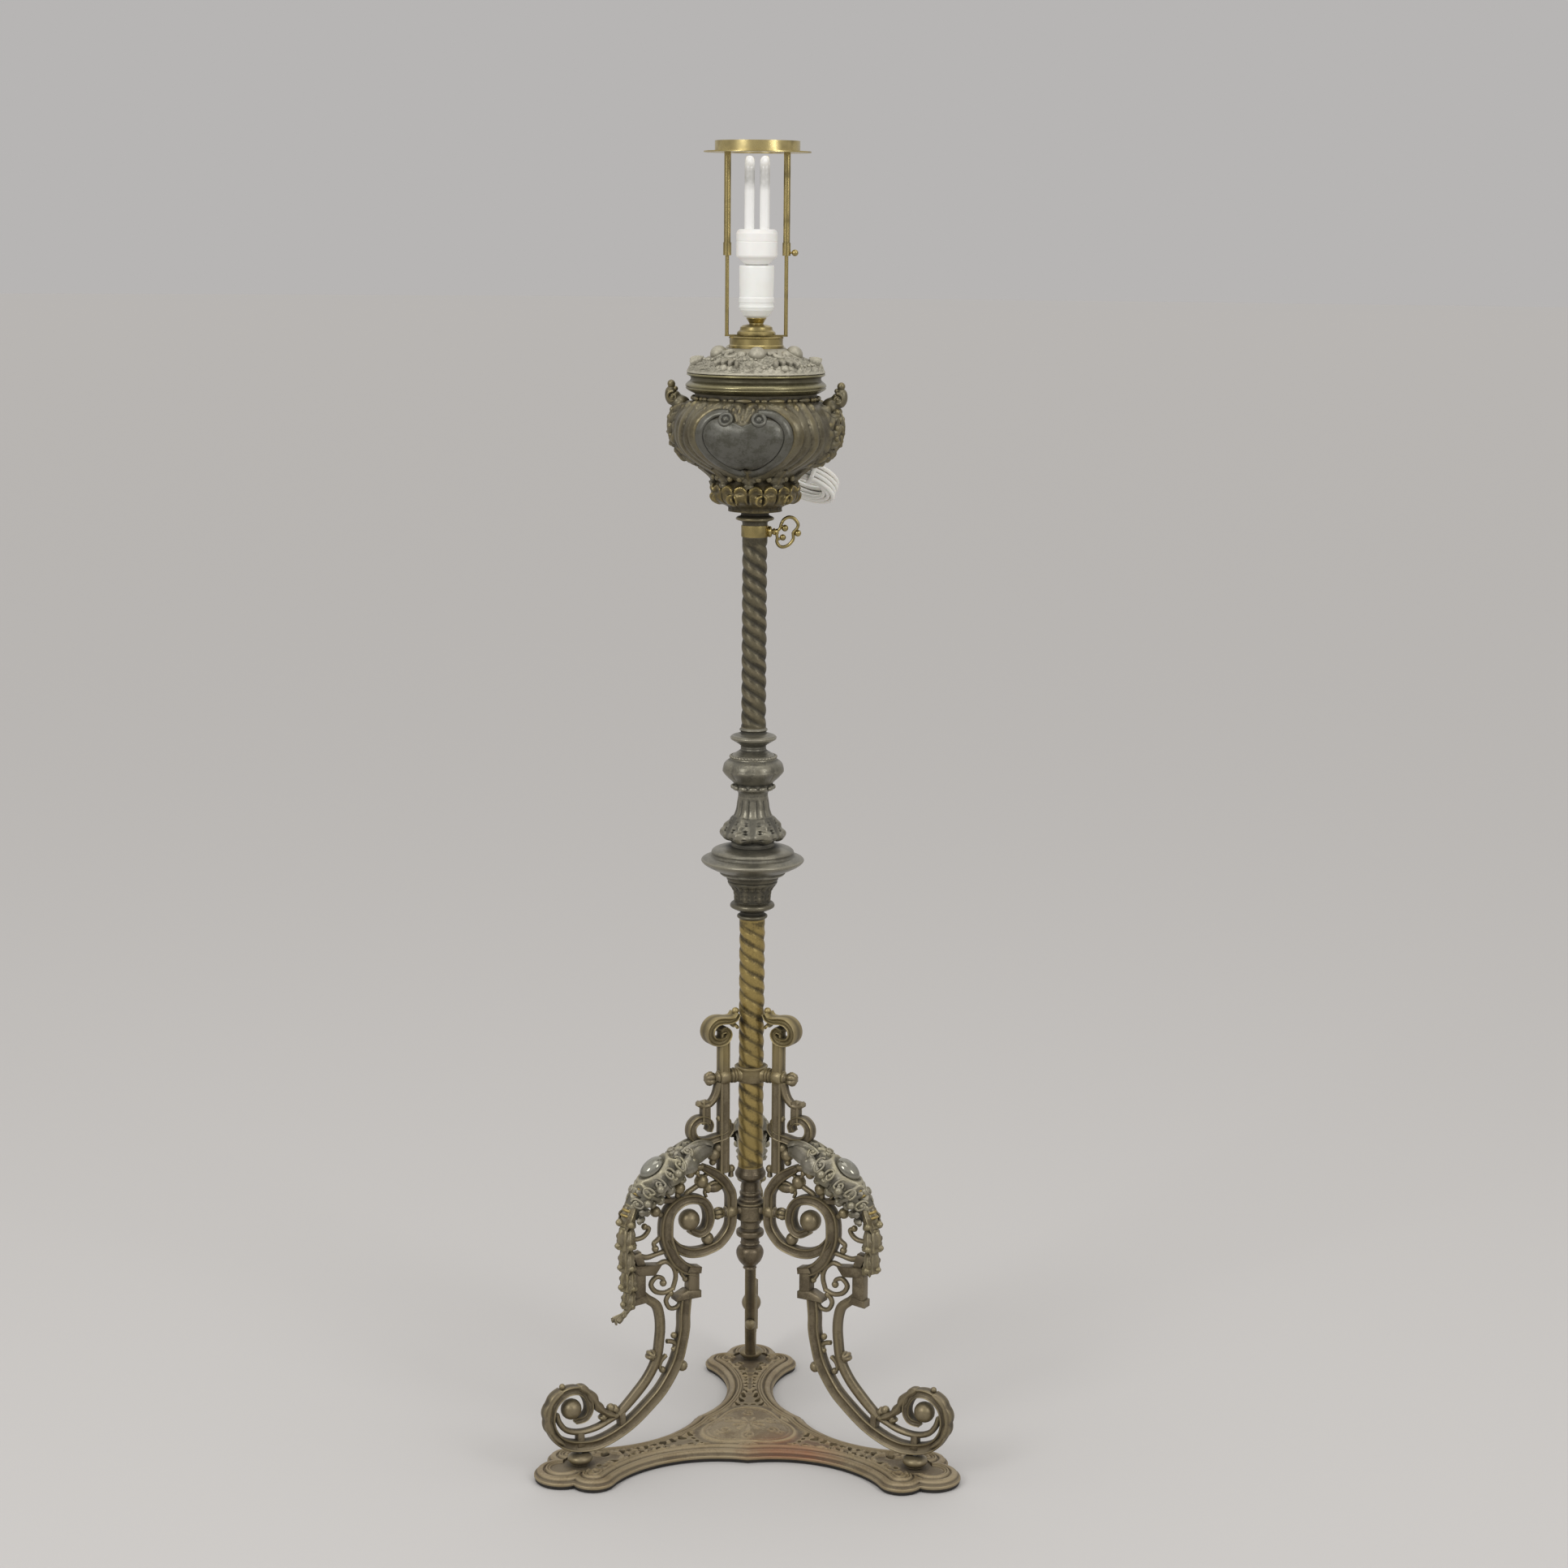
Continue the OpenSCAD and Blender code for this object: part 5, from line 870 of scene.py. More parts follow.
    # The last leaf flicks outwards in three lobes
    tip = [at(k, 0, 1) for k in np.linspace(shoulder_end + 136, length[-1] - 6, 10)]
    string.leaf(tip, (0.6, 0, 0.8), 12, 2, notch=0.4)
    for side in (-1, 0, 1):
        lobe = [at(k, side * (k - length[-1] + 12) * 0.42, 1 + 0.16 * (k - length[-1] + 10))
                for k in np.linspace(length[-1] - 12, length[-1] + (5 if side else 7), 10)]
        string.leaf(lobe, (0.6, side * 0.3, 0.8), 7.5, 1, notch=0.1, thick=3)
    return garland, string, ribs


def stone_casting():
    stone = Casting()
    p, q = spline(GARLAND, GARLAND_STEPS)[STONE_POINT:STONE_POINT + 2]
    along = unit(np.array((q[0] - p[0], 0, q[1] - p[1])))
    out = np.array((-along[2], 0, along[0]))
    middle = np.array((p[0], 0, p[1] + LEG_Z)) + out * 6.5
    # An oval stone, longer along the garland
    a = np.linspace(0, 2 * math.pi, 36, endpoint=False)
    rings = []
    for share, rise in ((1.0, -1.5), (1.0, 0.5), (0.97, 2.2), (0.88, 4.4), (0.7, 6.6), (0.45, 8.1), (0.2, 8.8)):
        rings.append([middle + along * 17.5 * share * math.cos(t) + (0, 12.2 * share * math.sin(t), 0) + out * rise
                      for t in a])
    stone.loft(rings, 0.0, middle - out * 1.5, middle + out * 9)
    return stone


# Base: the two lobes at an arm's end, its tip, its waist, the cusp between two arms, and the legs' bolts
LOBE_AT, LOBE_SIDE, LOBE_R = 236, 33, 27
REACH, END_R = 296, 34
WAIST_AT, WAIST_HALF, CUSP_AT, BOLT_AT = 140, 29, 80, 238
# Pierced eyes on one side of an arm: [distance from the axis, off the middle line, half sizes, tilt]
EYES = [(219, 14, 4.2, 3.0, 40), (198, 11, 6.6, 4.4, -20), (177, 7.5, 4.0, 3.2, 0), (167, 6.3, 3.1, 2.7, 0),
        (155.5, 5.8, 3.3, 2.6, 0), (144, 5.4, 3.3, 2.6, 0), (132.5, 5.4, 3.3, 2.6, 0), (120, 6.2, 5.0, 3.0, 10),
        (105, 8.0, 5.2, 3.2, 15), (90, 10.5, 6.0, 3.6, 25), (76, 15.5, 4.6, 3.0, 60), (77, 5.0, 3.4, 2.4, 80)]
# Corners of each eye, and the grid of points between: rough on the arms, fine within that radius
EYE_SIDES, ROUGH_X, ROUGH_Y, FINE, FINE_R = 14, 3.0, 2.6, 1.45, 70


def bezier(a, b, c, d, t):
    t = np.array(t)[:, None]
    return (1 - t) ** 3 * a + 3 * t * (1 - t) ** 2 * b + 3 * t * t * (1 - t) * c + t ** 3 * d


def arc(centre, r, start, end, n):
    a = np.radians(np.linspace(start, end, n + 1))
    return np.array(centre) + r * np.stack([np.cos(a), np.sin(a)], 1)


def arm_flank(d):
    """One side of a base arm along +X, drawn in by d, from the cusp between two arms to the tip."""
    lobe, far = np.array((LOBE_AT, LOBE_SIDE)), np.array((REACH - END_R, 0.0))
    cusp = np.array((CUSP_AT * 0.5 - d * 0.6, CUSP_AT * 0.866 - d))
    waist = np.array((WAIST_AT, WAIST_HALF - d))
    meet = lobe + ray(130, LOBE_R - d)
    reach = np.linalg.norm(far - lobe)
    along = ((LOBE_R - d) ** 2 - (END_R - d) ** 2 + reach ** 2) / (2 * reach)
    off = math.sqrt(max((LOBE_R - d) ** 2 - along ** 2, 0))
    u = (far - lobe) / reach
    notch = lobe + along * u + off * np.array((-u[1], u[0]))
    lobe_end = math.degrees(math.atan2(notch[1] - lobe[1], notch[0] - lobe[0]))
    far_start = math.degrees(math.atan2(notch[1], notch[0] - far[0]))
    return np.vstack([bezier(cusp, cusp + (25, -24), waist - (40, 0), waist, np.linspace(0, 1, 15)[:-1]),
                      bezier(waist, waist + (35, 0), meet - ray(40, 18), meet, np.linspace(0, 1, 13)[:-1]),
                      arc(lobe, LOBE_R - d, 130, lobe_end, 14), arc(far, END_R - d, far_start, 0, 12)[1:]])


def base_outline(d):
    flank = arm_flank(d)
    arm = np.vstack([flank[1:] * (1, -1), flank[::-1][1:]])
    return np.vstack([turned_by(arm, a) for a in ARMS])


def inside(points, outline):
    """Which points lie inside a closed outline."""
    x, y = points[:, 0][:, None], points[:, 1][:, None]
    a, b = outline, np.roll(outline, -1, axis=0)
    spans = (a[:, 1] > y) != (b[:, 1] > y)
    cross = a[:, 0] + (y - a[:, 1]) / np.where(b[:, 1] == a[:, 1], 1e-9, b[:, 1] - a[:, 1]) * (b[:, 0] - a[:, 0])
    return (spans & (x < cross)).sum(1) % 2 == 1


def filled(outline, holes, grid=()):
    """Triangles that fill an outline but not its holes. Returns the flat points and the triangles."""
    points, edges = [], []
    for loop in [outline] + holes:
        first = len(points)
        points += list(loop)
        edges += [(first + i, first + (i + 1) % len(loop)) for i in range(len(loop))]
    made = delaunay_2d_cdt([Vector(p) for p in points + list(grid)], edges, [], 0, 1e-4)
    flat, tris = np.array([tuple(p) for p in made[0]]), np.array(made[2])
    middles = flat[tris].mean(1)
    keep = inside(middles, outline)
    for hole in holes:
        near = np.linalg.norm(middles - hole.mean(0), axis=1) < 12
        keep[near] &= ~inside(middles[near], hole)
    return flat, tris[keep]


def arm_relief():
    """Ridges and pierced eyes of one arm along +X, mirrored about its middle line."""
    ridges, eyes = [], []
    for side in (-1, 1):
        flip = np.array((1, side))
        for centre, r0, r1, start, turns in (((205, 17), 8, 2.5, 170, -1.1), ((183, 9), 6, 2, 10, 1.0),
                                             ((232, 30), 10, 4, -60, 1.2), ((112, 9.5), 6, 2, 190, -1.1)):
            ridges.append((scroll(centre, r0, r1, start, turns) * flip, 2.1, 3.0))
        # Stems of the scrolls, and the leaf that runs along the arm's edge
        ridges.append((spline([(70, 21), (90, 15.5), (112, 10.8), (140, 9), (165, 10.2), (185, 15), (205, 22),
                               (222, 29)], 6) * flip, 2.0, 2.8))
        ridges.append((spline([(122, 2.5), (146, 5), (168, 2.5)], 6) * flip, 1.6, 2.4))
        # Rungs between the slots
        for x in range(126, 182, 11):
            ridges.append((np.array([(x, 2.5), (x + 4, 8)]) * flip, 2.0, 2.4))
        eyes += [((x, y * side), long, wide, tilt * side) for x, y, long, wide, tilt in EYES]
    return ridges, eyes


def crown_share(points):
    """Distance from the axis, as a share of the rounded three-cornered panel in the base's middle."""
    a = np.arctan2(points[:, 1], points[:, 0])
    return np.hypot(points[:, 0], points[:, 1]) / (56 + 9 * np.cos(3 * (a - math.pi / 2)))


def base_casting():
    """The relief plate: an ogee edge, then a sunk field with scrolls and pierced eyes round a crowned panel."""
    base = Casting()
    foot = foot_of("base_plate")
    steps = [(-0.1, 0), (-0.1, -4.0), (-0.5, -4.4), (-1.0, -3.4), (-1.0, -1.4), (0.2, -0.2), (2.0, 0.4), (2.6, 1.4),
             (2.6, 2.6), (3.6, 4.0), (5.4, 5.0), (7.6, 5.5), (9.2, 5.4), (10.2, 4.6), (10.9, 3.4), (12.0, 3.4),
             (12.8, 5.0), (13.6, 6.6), (14.4, 7.2), (15.4, 6.7), (16.0, 5.6), (16.8, 6.3), (17.6, 6.8), (18.6, 6.2),
             (19.4, 5.0)]
    rings = [at_height(base_outline(d), foot + h) for d, h in steps]
    inset, floor = steps[-1]
    ridges, eyes = arm_relief()
    ridges = [(turned_by(line, a), half, rise) for a in ARMS for line, half, rise in ridges]
    holes = [turned_by(turned_by(circle(EYE_SIDES) * (long, wide), tilt) + centre, a)
             for a in ARMS for centre, long, wide, tilt in eyes]
    # A shell in the middle, scrolls round it, and a small shell at each cusp
    for k in range(9):
        a = 40 * k + 30
        ridges.append((np.array([ray(a, 5), ray(a, 19 + 2 * (k % 3 == 0))]), np.array((1.4, 3.0)), 2.0))
    for k in range(6):
        centre = ray(60 * k + 30, 35 if k % 2 else 31)
        ridges.append((scroll(centre, 9, 2, 60 * k, 1.3 if k % 2 else -1.3), 1.6, 2.0))
        ridges.append((scroll(centre * 1.34, 5, 1.5, 60 * k + 90, 1.0), 1.3, 1.6))
    for a in (30, 150, 270):
        for k in (-2, -1, 0, 1, 2):
            ridges.append((np.array([ray(a + 1.4 * k, 49), ray(a + 5.5 * k, 61 - 2.5 * abs(k))]), np.array((1.2, 2.4)),
                           2.2))
    rough = np.array([(x + (k % 2) * ROUGH_X / 2, y) for k, y in enumerate(np.arange(-185, 306, ROUGH_Y))
                      for x in np.arange(-270, 272, ROUGH_X)])
    steps_across = np.arange(-FINE_R - 2, FINE_R + 2.1, FINE)
    fine = np.array([(x, y) for x in steps_across for y in steps_across])
    grid = np.vstack([rough[np.hypot(*rough.T) >= FINE_R + 1], fine[np.hypot(*fine.T) < FINE_R]])
    grid = grid[inside(grid, base_outline(inset + 1.5))]
    for hole in holes:
        grid = grid[np.linalg.norm(grid - hole.mean(0), axis=1) > np.ptp(hole, axis=0).max() / 2 + 0.8]
    edge = base_outline(inset)
    flat, tris = filled(edge, holes, grid)
    share = crown_share(flat)
    rise = ridge_height(flat, ridges)
    worn = np.clip(rise / 1.2 - 0.85, -1, 1)
    # The panel is crowned, with a raised rim and fine lines between its scrolls
    crown = 5.6 * np.clip(1 - share ** 2, 0, 1)
    rim = 2.6 * hump(share - 0.97, 0.045) + 1.4 * hump(share - 0.86, 0.025)
    swirl = 1.4 * np.sin(9 * np.arctan2(flat[:, 1], flat[:, 0]))
    lines = 0.28 * np.cos(np.hypot(*flat.T) * 2 * math.pi / 3.4 + swirl)
    on_panel = share < 0.84
    high = crown + np.where(on_panel, np.maximum(rise, 0.3 + lines), np.maximum(rise, rim))
    worn = np.where(on_panel, np.clip(worn + 0.35, -0.35, 0.6), np.maximum(worn, np.clip(rim - 0.75, -1, 1)))
    # The field's edge stays level, so that it meets the ogee's last step
    high[[np.abs(edge - p).sum(1).min() < 1e-3 for p in flat]] = 0
    base.add(at_height(flat, foot + floor + high), tris.tolist(), worn)
    levels = np.array([min(h, 6) / 3.4 - 1.15 if d > 1 else -0.1 for d, h in steps])[:, None]
    base.loft(rings, np.broadcast_to(levels, (len(steps), len(rings[0]))), capped=False)
    # Underside, and the walls of the eyes
    flat_low, tris_low = filled(base_outline(steps[0][0]), holes)
    base.add(at_height(flat_low, foot), tris_low[:, ::-1].tolist(), -0.6)
    walls = [(i, (i + 1) % EYE_SIDES, (i + 1) % EYE_SIDES + EYE_SIDES, i + EYE_SIDES) for i in range(EYE_SIDES)]
    for hole in holes:
        top = [np.argmin(np.linalg.norm(flat - p, axis=1)) for p in hole]
        base.add(np.vstack([at_height(hole, foot + floor + high[top]), at_height(hole, foot)]), walls, -1.0)
    return base


def foot_plate_casting():
    plate = Casting()
    top = top_of("base_foot_plate")
    steps = [(2.0, 0), (0.4, 0.8), (0, 2.0), (0, top - 2.2), (0.5, top - 0.8), (1.8, top)]
    rings = [at_height(base_outline(d), h) for d, h in steps]
    plate.loft(rings, -0.2, capped=False)
    for ring, step in ((rings[0], -1), (rings[-1], 1)):
        flat, tris = filled(ring[:, :2], [])
        plate.add(at_height(flat, ring[0, 2]), tris[:, ::step].tolist(), -0.2)
    return plate


# Column
def petals(count, depth, low, top):
    """A relief of leaves round a turned piece, between two heights."""
    def relief(a, z, r):
        t = np.clip((z - low) / (top - low), 0, 1)
        phase = np.radians(a) * count / 2
        body = np.abs(np.cos(phase)) ** 0.5
        rib = hump(np.sin(phase), 0.16)
        veins = 0.35 * np.cos(10 * t * math.pi + 5 * np.abs(np.sin(phase)))
        shape = (body + 0.45 * rib + veins * body * (1 - rib)) * np.sin(math.pi * t) ** 0.6
        return depth * shape, np.clip(shape * 1.4 - 1.0, -1, 1) * np.where((z > low) & (z < top), 1, 0)
    return relief


def plain(a, z, r):
    return np.zeros_like(z), np.zeros_like(z)


def grooved(pitch, depth):
    """Fine turned lines."""
    def relief(a, z, r):
        wave = np.cos(z * 2 * math.pi / pitch)
        return depth * wave, wave * 0.3
    return relief


def beads_round(casting, r, z, count, size, long):
    for k in range(count):
        a = math.radians(k * 360 / count)
        casting.ball(round_axis(a, r, z), size, (math.cos(a), math.sin(a), 0), long, 10, worn=0.8)


# Three ridges, each once round the tube in 52 mm
ROPE_LEAD, ROPE_STARTS, ROPE_SIDES, ROPE_RING = 52, 3, 96, 1.3


def rope_casting(foot, top, r, depth, bore, leafy, dark=1.75):
    """Rope-turned tube: rounded ridges wound to the left, with sharp hollows, smooth only at its very ends.

    Its leafy part, above that share of its height, carries small leaves on the ridges.
    """
    rope = Casting()
    z = np.arange(foot, top, ROPE_RING)
    z[-1] = top
    a = np.arange(ROPE_SIDES) * 360 / ROPE_SIDES
    grid_a, grid_z = np.meshgrid(a, z)
    phase = (np.radians(grid_a) + 2 * math.pi * (grid_z - foot) / ROPE_LEAD) * ROPE_STARTS / 2
    fade = between(grid_z, foot + 2, top - 7, 5)
    ridge = np.abs(np.cos(phase)) ** 0.8
    # Leaves about 17 mm long follow the ridges
    along = (grid_z - foot) / 17 + 0.35 * np.sin(phase)
    above = np.clip(((grid_z - foot) / (top - foot) - leafy) * 12, 0, 1)
    leaf = np.abs(np.sin(math.pi * along)) ** 0.6 * ridge * above
    radius = r - depth * fade * (1 - ridge) + 0.55 * (leaf - 0.5) * (leaf > 0) * fade
    worn = np.clip(fade * (ridge * 2.6 - dark) + 0.8 * (leaf - 0.6) * (leaf > 0), -1, 1)
    rad = np.radians(grid_a)
    rings = np.vstack([round_axis(rad, radius, grid_z), [round_axis(rad[0], bore, h) for h in (top, foot)]])
    rope.loft(rings, np.vstack([worn, np.zeros((2, len(a)))]), endless=True)
    return rope


def add_turned(name, profile, finish, slot, node, relief=plain, bore=None, sides=96, extra=None, steps=4, edge=40):
    """Replaces a turned CAD piece by one with its full profile; heights run from the node's underside."""
    piece = Casting()
    foot = foot_of(node)
    turned_relief(piece, lifted(profile, foot), sides, lambda a, z, r: relief(a, z - foot, r), bore, steps)
    if extra:
        extra(piece, foot)
    return piece.build(name, finish, NODES[node]["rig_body"], slot, [node], edge=edge)


TIE_BORE, GUIDE_BORE = 5.08, 9.66


def acanthus(count, low, top, depth, shift=0.0):
    """Deeply cut leaves round a skirt: ribbed, pitted between their lobes and rolled over at the foot."""
    def relief(a, z, r):
        t = np.clip((z - low) / (top - low), 0, 1)
        turn = (a + shift) * count / 360
        off = (turn + 0.5) % 1 - 0.5
        body = np.sqrt(np.clip(1 - (off / (0.46 - 0.1 * t)) ** 2, 0, 1))
        rib = hump(off, 0.07)
        lobes = 0.5 + 0.5 * np.cos(2 * math.pi * (3.2 * t - 2.2 * np.abs(off)))
        pits = hump(np.abs(off) - 0.24, 0.07) * hump(np.cos(2 * math.pi * 3.2 * t) + 0.6, 0.5)
        uneven = 0.3 * np.sin(turn * 5.1 + 9 * t) * np.sin(turn * 2.3)
        shape = ((body * (0.55 + 0.45 * lobes) + 0.5 * rib - 1.1 * pits + uneven * body)
                 * np.sin(math.pi * t ** 0.6) ** 0.5)
        inside_leaf = (z > low) & (z < top)
        return depth * shape * inside_leaf, np.clip(shape * 1.5 - 0.9 - 0.8 * pits, -1, 1) * inside_leaf
    return relief


def both(*reliefs):
    """Adds reliefs together."""
    def relief(a, z, r):
        parts = [one(a, z, r) for one in reliefs]
        return sum(p[0] for p in parts), np.clip(sum(p[1] for p in parts), -1, 1)
    return relief


def fluted(count, low, top, depth):
    """Flutes between two heights, which fade out at their ends."""
    def relief(a, z, r):
        fade = between(z, low, top, 3)
        flute = np.abs(np.cos(np.radians(a) * count / 2))
        return depth * (flute ** 0.6 - 1) * fade, np.clip(flute * 1.6 - 1.0, -1, 1) * fade
    return relief


def facets(count, low, top, depth, shift=0.0):
    """Soft facets round a knop, deepest at mid height."""
    def relief(a, z, r):
        t = np.clip((z - low) / (top - low), 0, 1)
        off = (((a + shift) * count / 360 + 0.5) % 1 - 0.5) * 360 / count
        flat = 1 - 1 / np.cos(np.radians(off))
        crease = np.clip(np.abs(off) * count / 180 - 0.85, 0, 1) * -3.0
        return (flat * 22 * depth + crease * depth) * np.sin(math.pi * t), crease * np.sin(math.pi * t)
    return relief


def add_column():
    # Hanging finial: an urn on a neck, with deep dark grooves between its mouldings
    add_turned("hanging_finial", [(1.5, 0), (6, 1.0), (8.6, 2.6), (7.6, 5), (9.6, 7.4), (14.2, 13), (17, 20.5),
                                  (16.9, 26), (14.6, 30.4), (11.6, 32.4), (11.2, 34), (12.4, 35.6), (11.6, 37.4),
                                  (11.4, 42), (13.4, 43.8), (16.8, 46), (17.6, 49.4), (16.6, 52.6), (12.4, 54),
                                  (12.2, 57)], SHADE_DARKENED_BRASS, "leg_brass", "bottom_finial")
    add_turned("turned_socket", [(14.4, 0), (14.6, 3), (12, 5), (11.8, 7.4), (13.4, 9), (13.4, 11.4), (11.4, 13.2),
                                 (11.2, 18), (11.4, 25.6), (13.8, 28), (17, 30.2), (19.1, 33.6), (19, 37.2),
                                 (17.2, 40.2), (16.4, 42.4), (15.4, 45)], SHADE_DARKENED_BRASS, "leg_brass", "column_socket",
               bore=TIE_BORE)
    # Capital: a bell with worn leaves and a row of small tongues under its disc, in a darker bronze that paints the
    # shade under the disc
    bell = both(acanthus(8, 23, 40, 1.3, 22.5), petals(20, 1.1, 37, 45))
    add_turned("capital", [(15.4, 0), (18.4, 2.0), (18.4, 4.6), (15, 7.2), (15.6, 10), (22, 12.4), (27.2, 15.6),
                           (26.4, 19.5), (22.6, 22.4), (22.2, 24.5), (22.4, 30), (23.6, 36), (25.8, 41.5), (29.4, 44.5),
                           (30.6, 46.6), (29.6, 48.5), (31.6, 50), (31.9, 55)], CAPITAL_PAINTED_SHADE_BRONZE, "column_bronze",
               "column_capital", bell, TIE_BORE, 160, steps=6)
    add_turned("drip_disc_dressed", [(32, 0), (37.6, 0.6), (40.2, 2.6), (40, 4.8), (44, 6.6), (52, 10.2), (59, 14.2),
                                     (62.6, 17.6), (62.8, 19.6), (60.5, 21.4), (55, 23.8), (52, 24.6), (51, 25.6),
                                     (50.2, 27.2), (50.3, 29.8), (47.6, 32.4), (41, 34.6), (33, 36), (26, 37)],
               COLUMN_BRONZE, "column_bronze", "drip_disc", bore=12, sides=144, steps=5)
    skirt = both(acanthus(6, 7, 37, 3.2, 30), fluted(12, 36, 60, 1.3))
    add_turned("leafy_baluster", [(26.8, 0), (26.6, 3), (25.4, 6.5), (29.6, 8.2), (34.6, 11), (36.4, 14.8), (34.6, 19),
                                  (31.6, 24), (29.4, 28), (25.6, 34), (22.6, 40), (20.6, 46), (19.6, 53), (18.8, 58),
                                  (18.4, 61)], COLUMN_BRONZE, "column_bronze", "baluster", skirt, GUIDE_BORE, 216,
               steps=7, edge=60)

    def foot_beads(piece, foot):
        beads_round(piece, 24.4, foot + 12.2, 12, 3.3, 1.8)
    add_turned("knop", [(18.3, 0), (18.2, 4), (19.4, 6.6), (22.6, 9), (23.6, 12), (22.8, 14.8), (23.4, 16.6), (27, 20),
                        (33.5, 26.0), (38.0, 31.6), (38.1, 34.4), (36.6, 39.5), (33.8, 43), (30, 45.6), (28.4, 47)],
               COLUMN_BRONZE, "column_bronze", "baluster_knop", facets(8, 18, 46, 0.9, 22.5), GUIDE_BORE, 160,
               foot_beads)

    def cable_ring(piece, foot):
        beads_round(piece, 27.4, foot + 2.6, 40, 2.0, 1.3)
    add_turned("reeded_collar", [(28.6, 0), (28.2, 2), (25.4, 4.5), (20, 8.0), (16.0, 11), (15.4, 14), (15.8, 16.4),
                                 (20.4, 19.8), (26.6, 23.4), (28.2, 26), (26.6, 28.2), (22, 30.0), (17.4, 31.4),
                                 (15.4, 32.8), (15.8, 34), (17.2, 35.2), (16.6, 36.8), (15.4, 38)], COLUMN_BRONZE,
               "column_bronze", "baluster_collar", grooved(2.4, 0.12), GUIDE_BORE, 144, cable_ring, steps=6)
    rope_casting(foot_of("lower_column_tube"), top_of("lower_column_tube"), 15.7, 1.3, TIE_BORE, 0.47, 1.3).build(
        "gilt_rope_tube", GILT_BRASS, "stand", "gilt_tube", ["lower_column_tube"])
    rope_casting(foot_of("upper_column_tube"), top_of("upper_column_tube"), 15.2, 2.3, GUIDE_BORE, 2.0).build(
        "dark_rope_tube", DARK_BRASS, "stand", "dark_tube", ["upper_column_tube"])


def add_spiders():
    axes = [np.append(ray(a), 0) for a in ARMS]
    ring = Casting()
    # A plain ring whose arms swell out of it
    turned_relief(ring, lifted([(17.0, -10), (18.6, -9.4), (19.6, -6), (19.9, 0), (19.6, 5), (20.6, 7.8), (20.2, 9.4),
                                (17.4, 10)], UPPER_SPIDER_Z), 96, plain, 16.2)
    for d in axes:
        ring.turned([(0, 0), (9.6, 0.2), (9.2, 3), (8.4, 5.4), (9.6, 7), (9.6, 8.4), (8.2, 9.6), (9.2, 11), (9.2, 12.4),
                     (7.6, 13.8), (8.2, 15), (7, 16.2), (0, 16.2)], d * 16.7 + (0, 0, UPPER_SPIDER_Z), d, 28)
    ring.build("upper_spider_cast", LEG_BRASS, "stand", "leg_brass", ["upper_spider"])
    hub = Casting()
    turned_relief(hub, lifted([(11.8, 0), (12, 5), (12.6, 8), (16.4, 10.6), (17.5, 13), (17.5, 27), (16.6, 29.6),
                               (18.4, 31.4), (17.8, 33), (14.8, 34)], foot_of("lower_spider")), 96, plain, TIE_BORE)
    for d in axes:
        hub.turned([(0, 0), (6.4, 0.2), (6.6, 2), (5.2, 4), (5.2, 6), (6.4, 7.4), (0, 7.5)],
                   d * 14.2 + (0, 0, LOWER_SPIDER_Z), d, 24)
    hub.build("lower_spider_cast", LEG_BRASS, "stand", "leg_brass", ["lower_spider"])
    for name, at, z, r in (("upper_arm_knobs", 46, UPPER_SPIDER_Z, 9.4), ("lower_arm_knobs", 34, LOWER_SPIDER_Z, 8.4)):
        knobs = Casting()
        for d in axes:
            start = d * at + (0, 0, z)
            knobs.turned([(0, 0), (7, 0.1), (7.2, 1.6), (5.4, 3), (5, 5), (6.6, 6.4), (7, 7.6), (0, 8)], start, d, 24)
            knobs.turned([(0, 6), (r * 0.6, 6.6), (r * 0.95, 10), (r, 13), (r * 0.86, 16.5), (r * 0.5, 19), (0, 19.6)],
                         start, d, 36, 6, 0.26)
        knobs.build(name + "_petalled", LEG_BRASS, "stand", "leg_brass", [name])


# Clamp key: the two strands of its bow, and its balls as [distance from the axis, height, radius]
KEY_UPPER = [(26, 0), (30, 4), (31.5, 9), (35, 15), (41, 17.7), (47, 16), (51.5, 10), (51, 5), (46, -0.5)]
KEY_LOWER = [(25.5, -1), (26.8, -7), (26.5, -12.5), (30, -17.5), (36, -18), (42, -14.5), (46, -9), (46, -4),
             (45.5, -0.5)]
KEY_BALLS = [(36, 4.4, 4.2), (33.5, -6.8, 3.9), (51.5, -1.6, 4.2)]
KEY_STALKS = [[(31, 7), (33, 6), (36, 4.4)], [(27, -9), (30, -8.5), (33.5, -6.8)]]


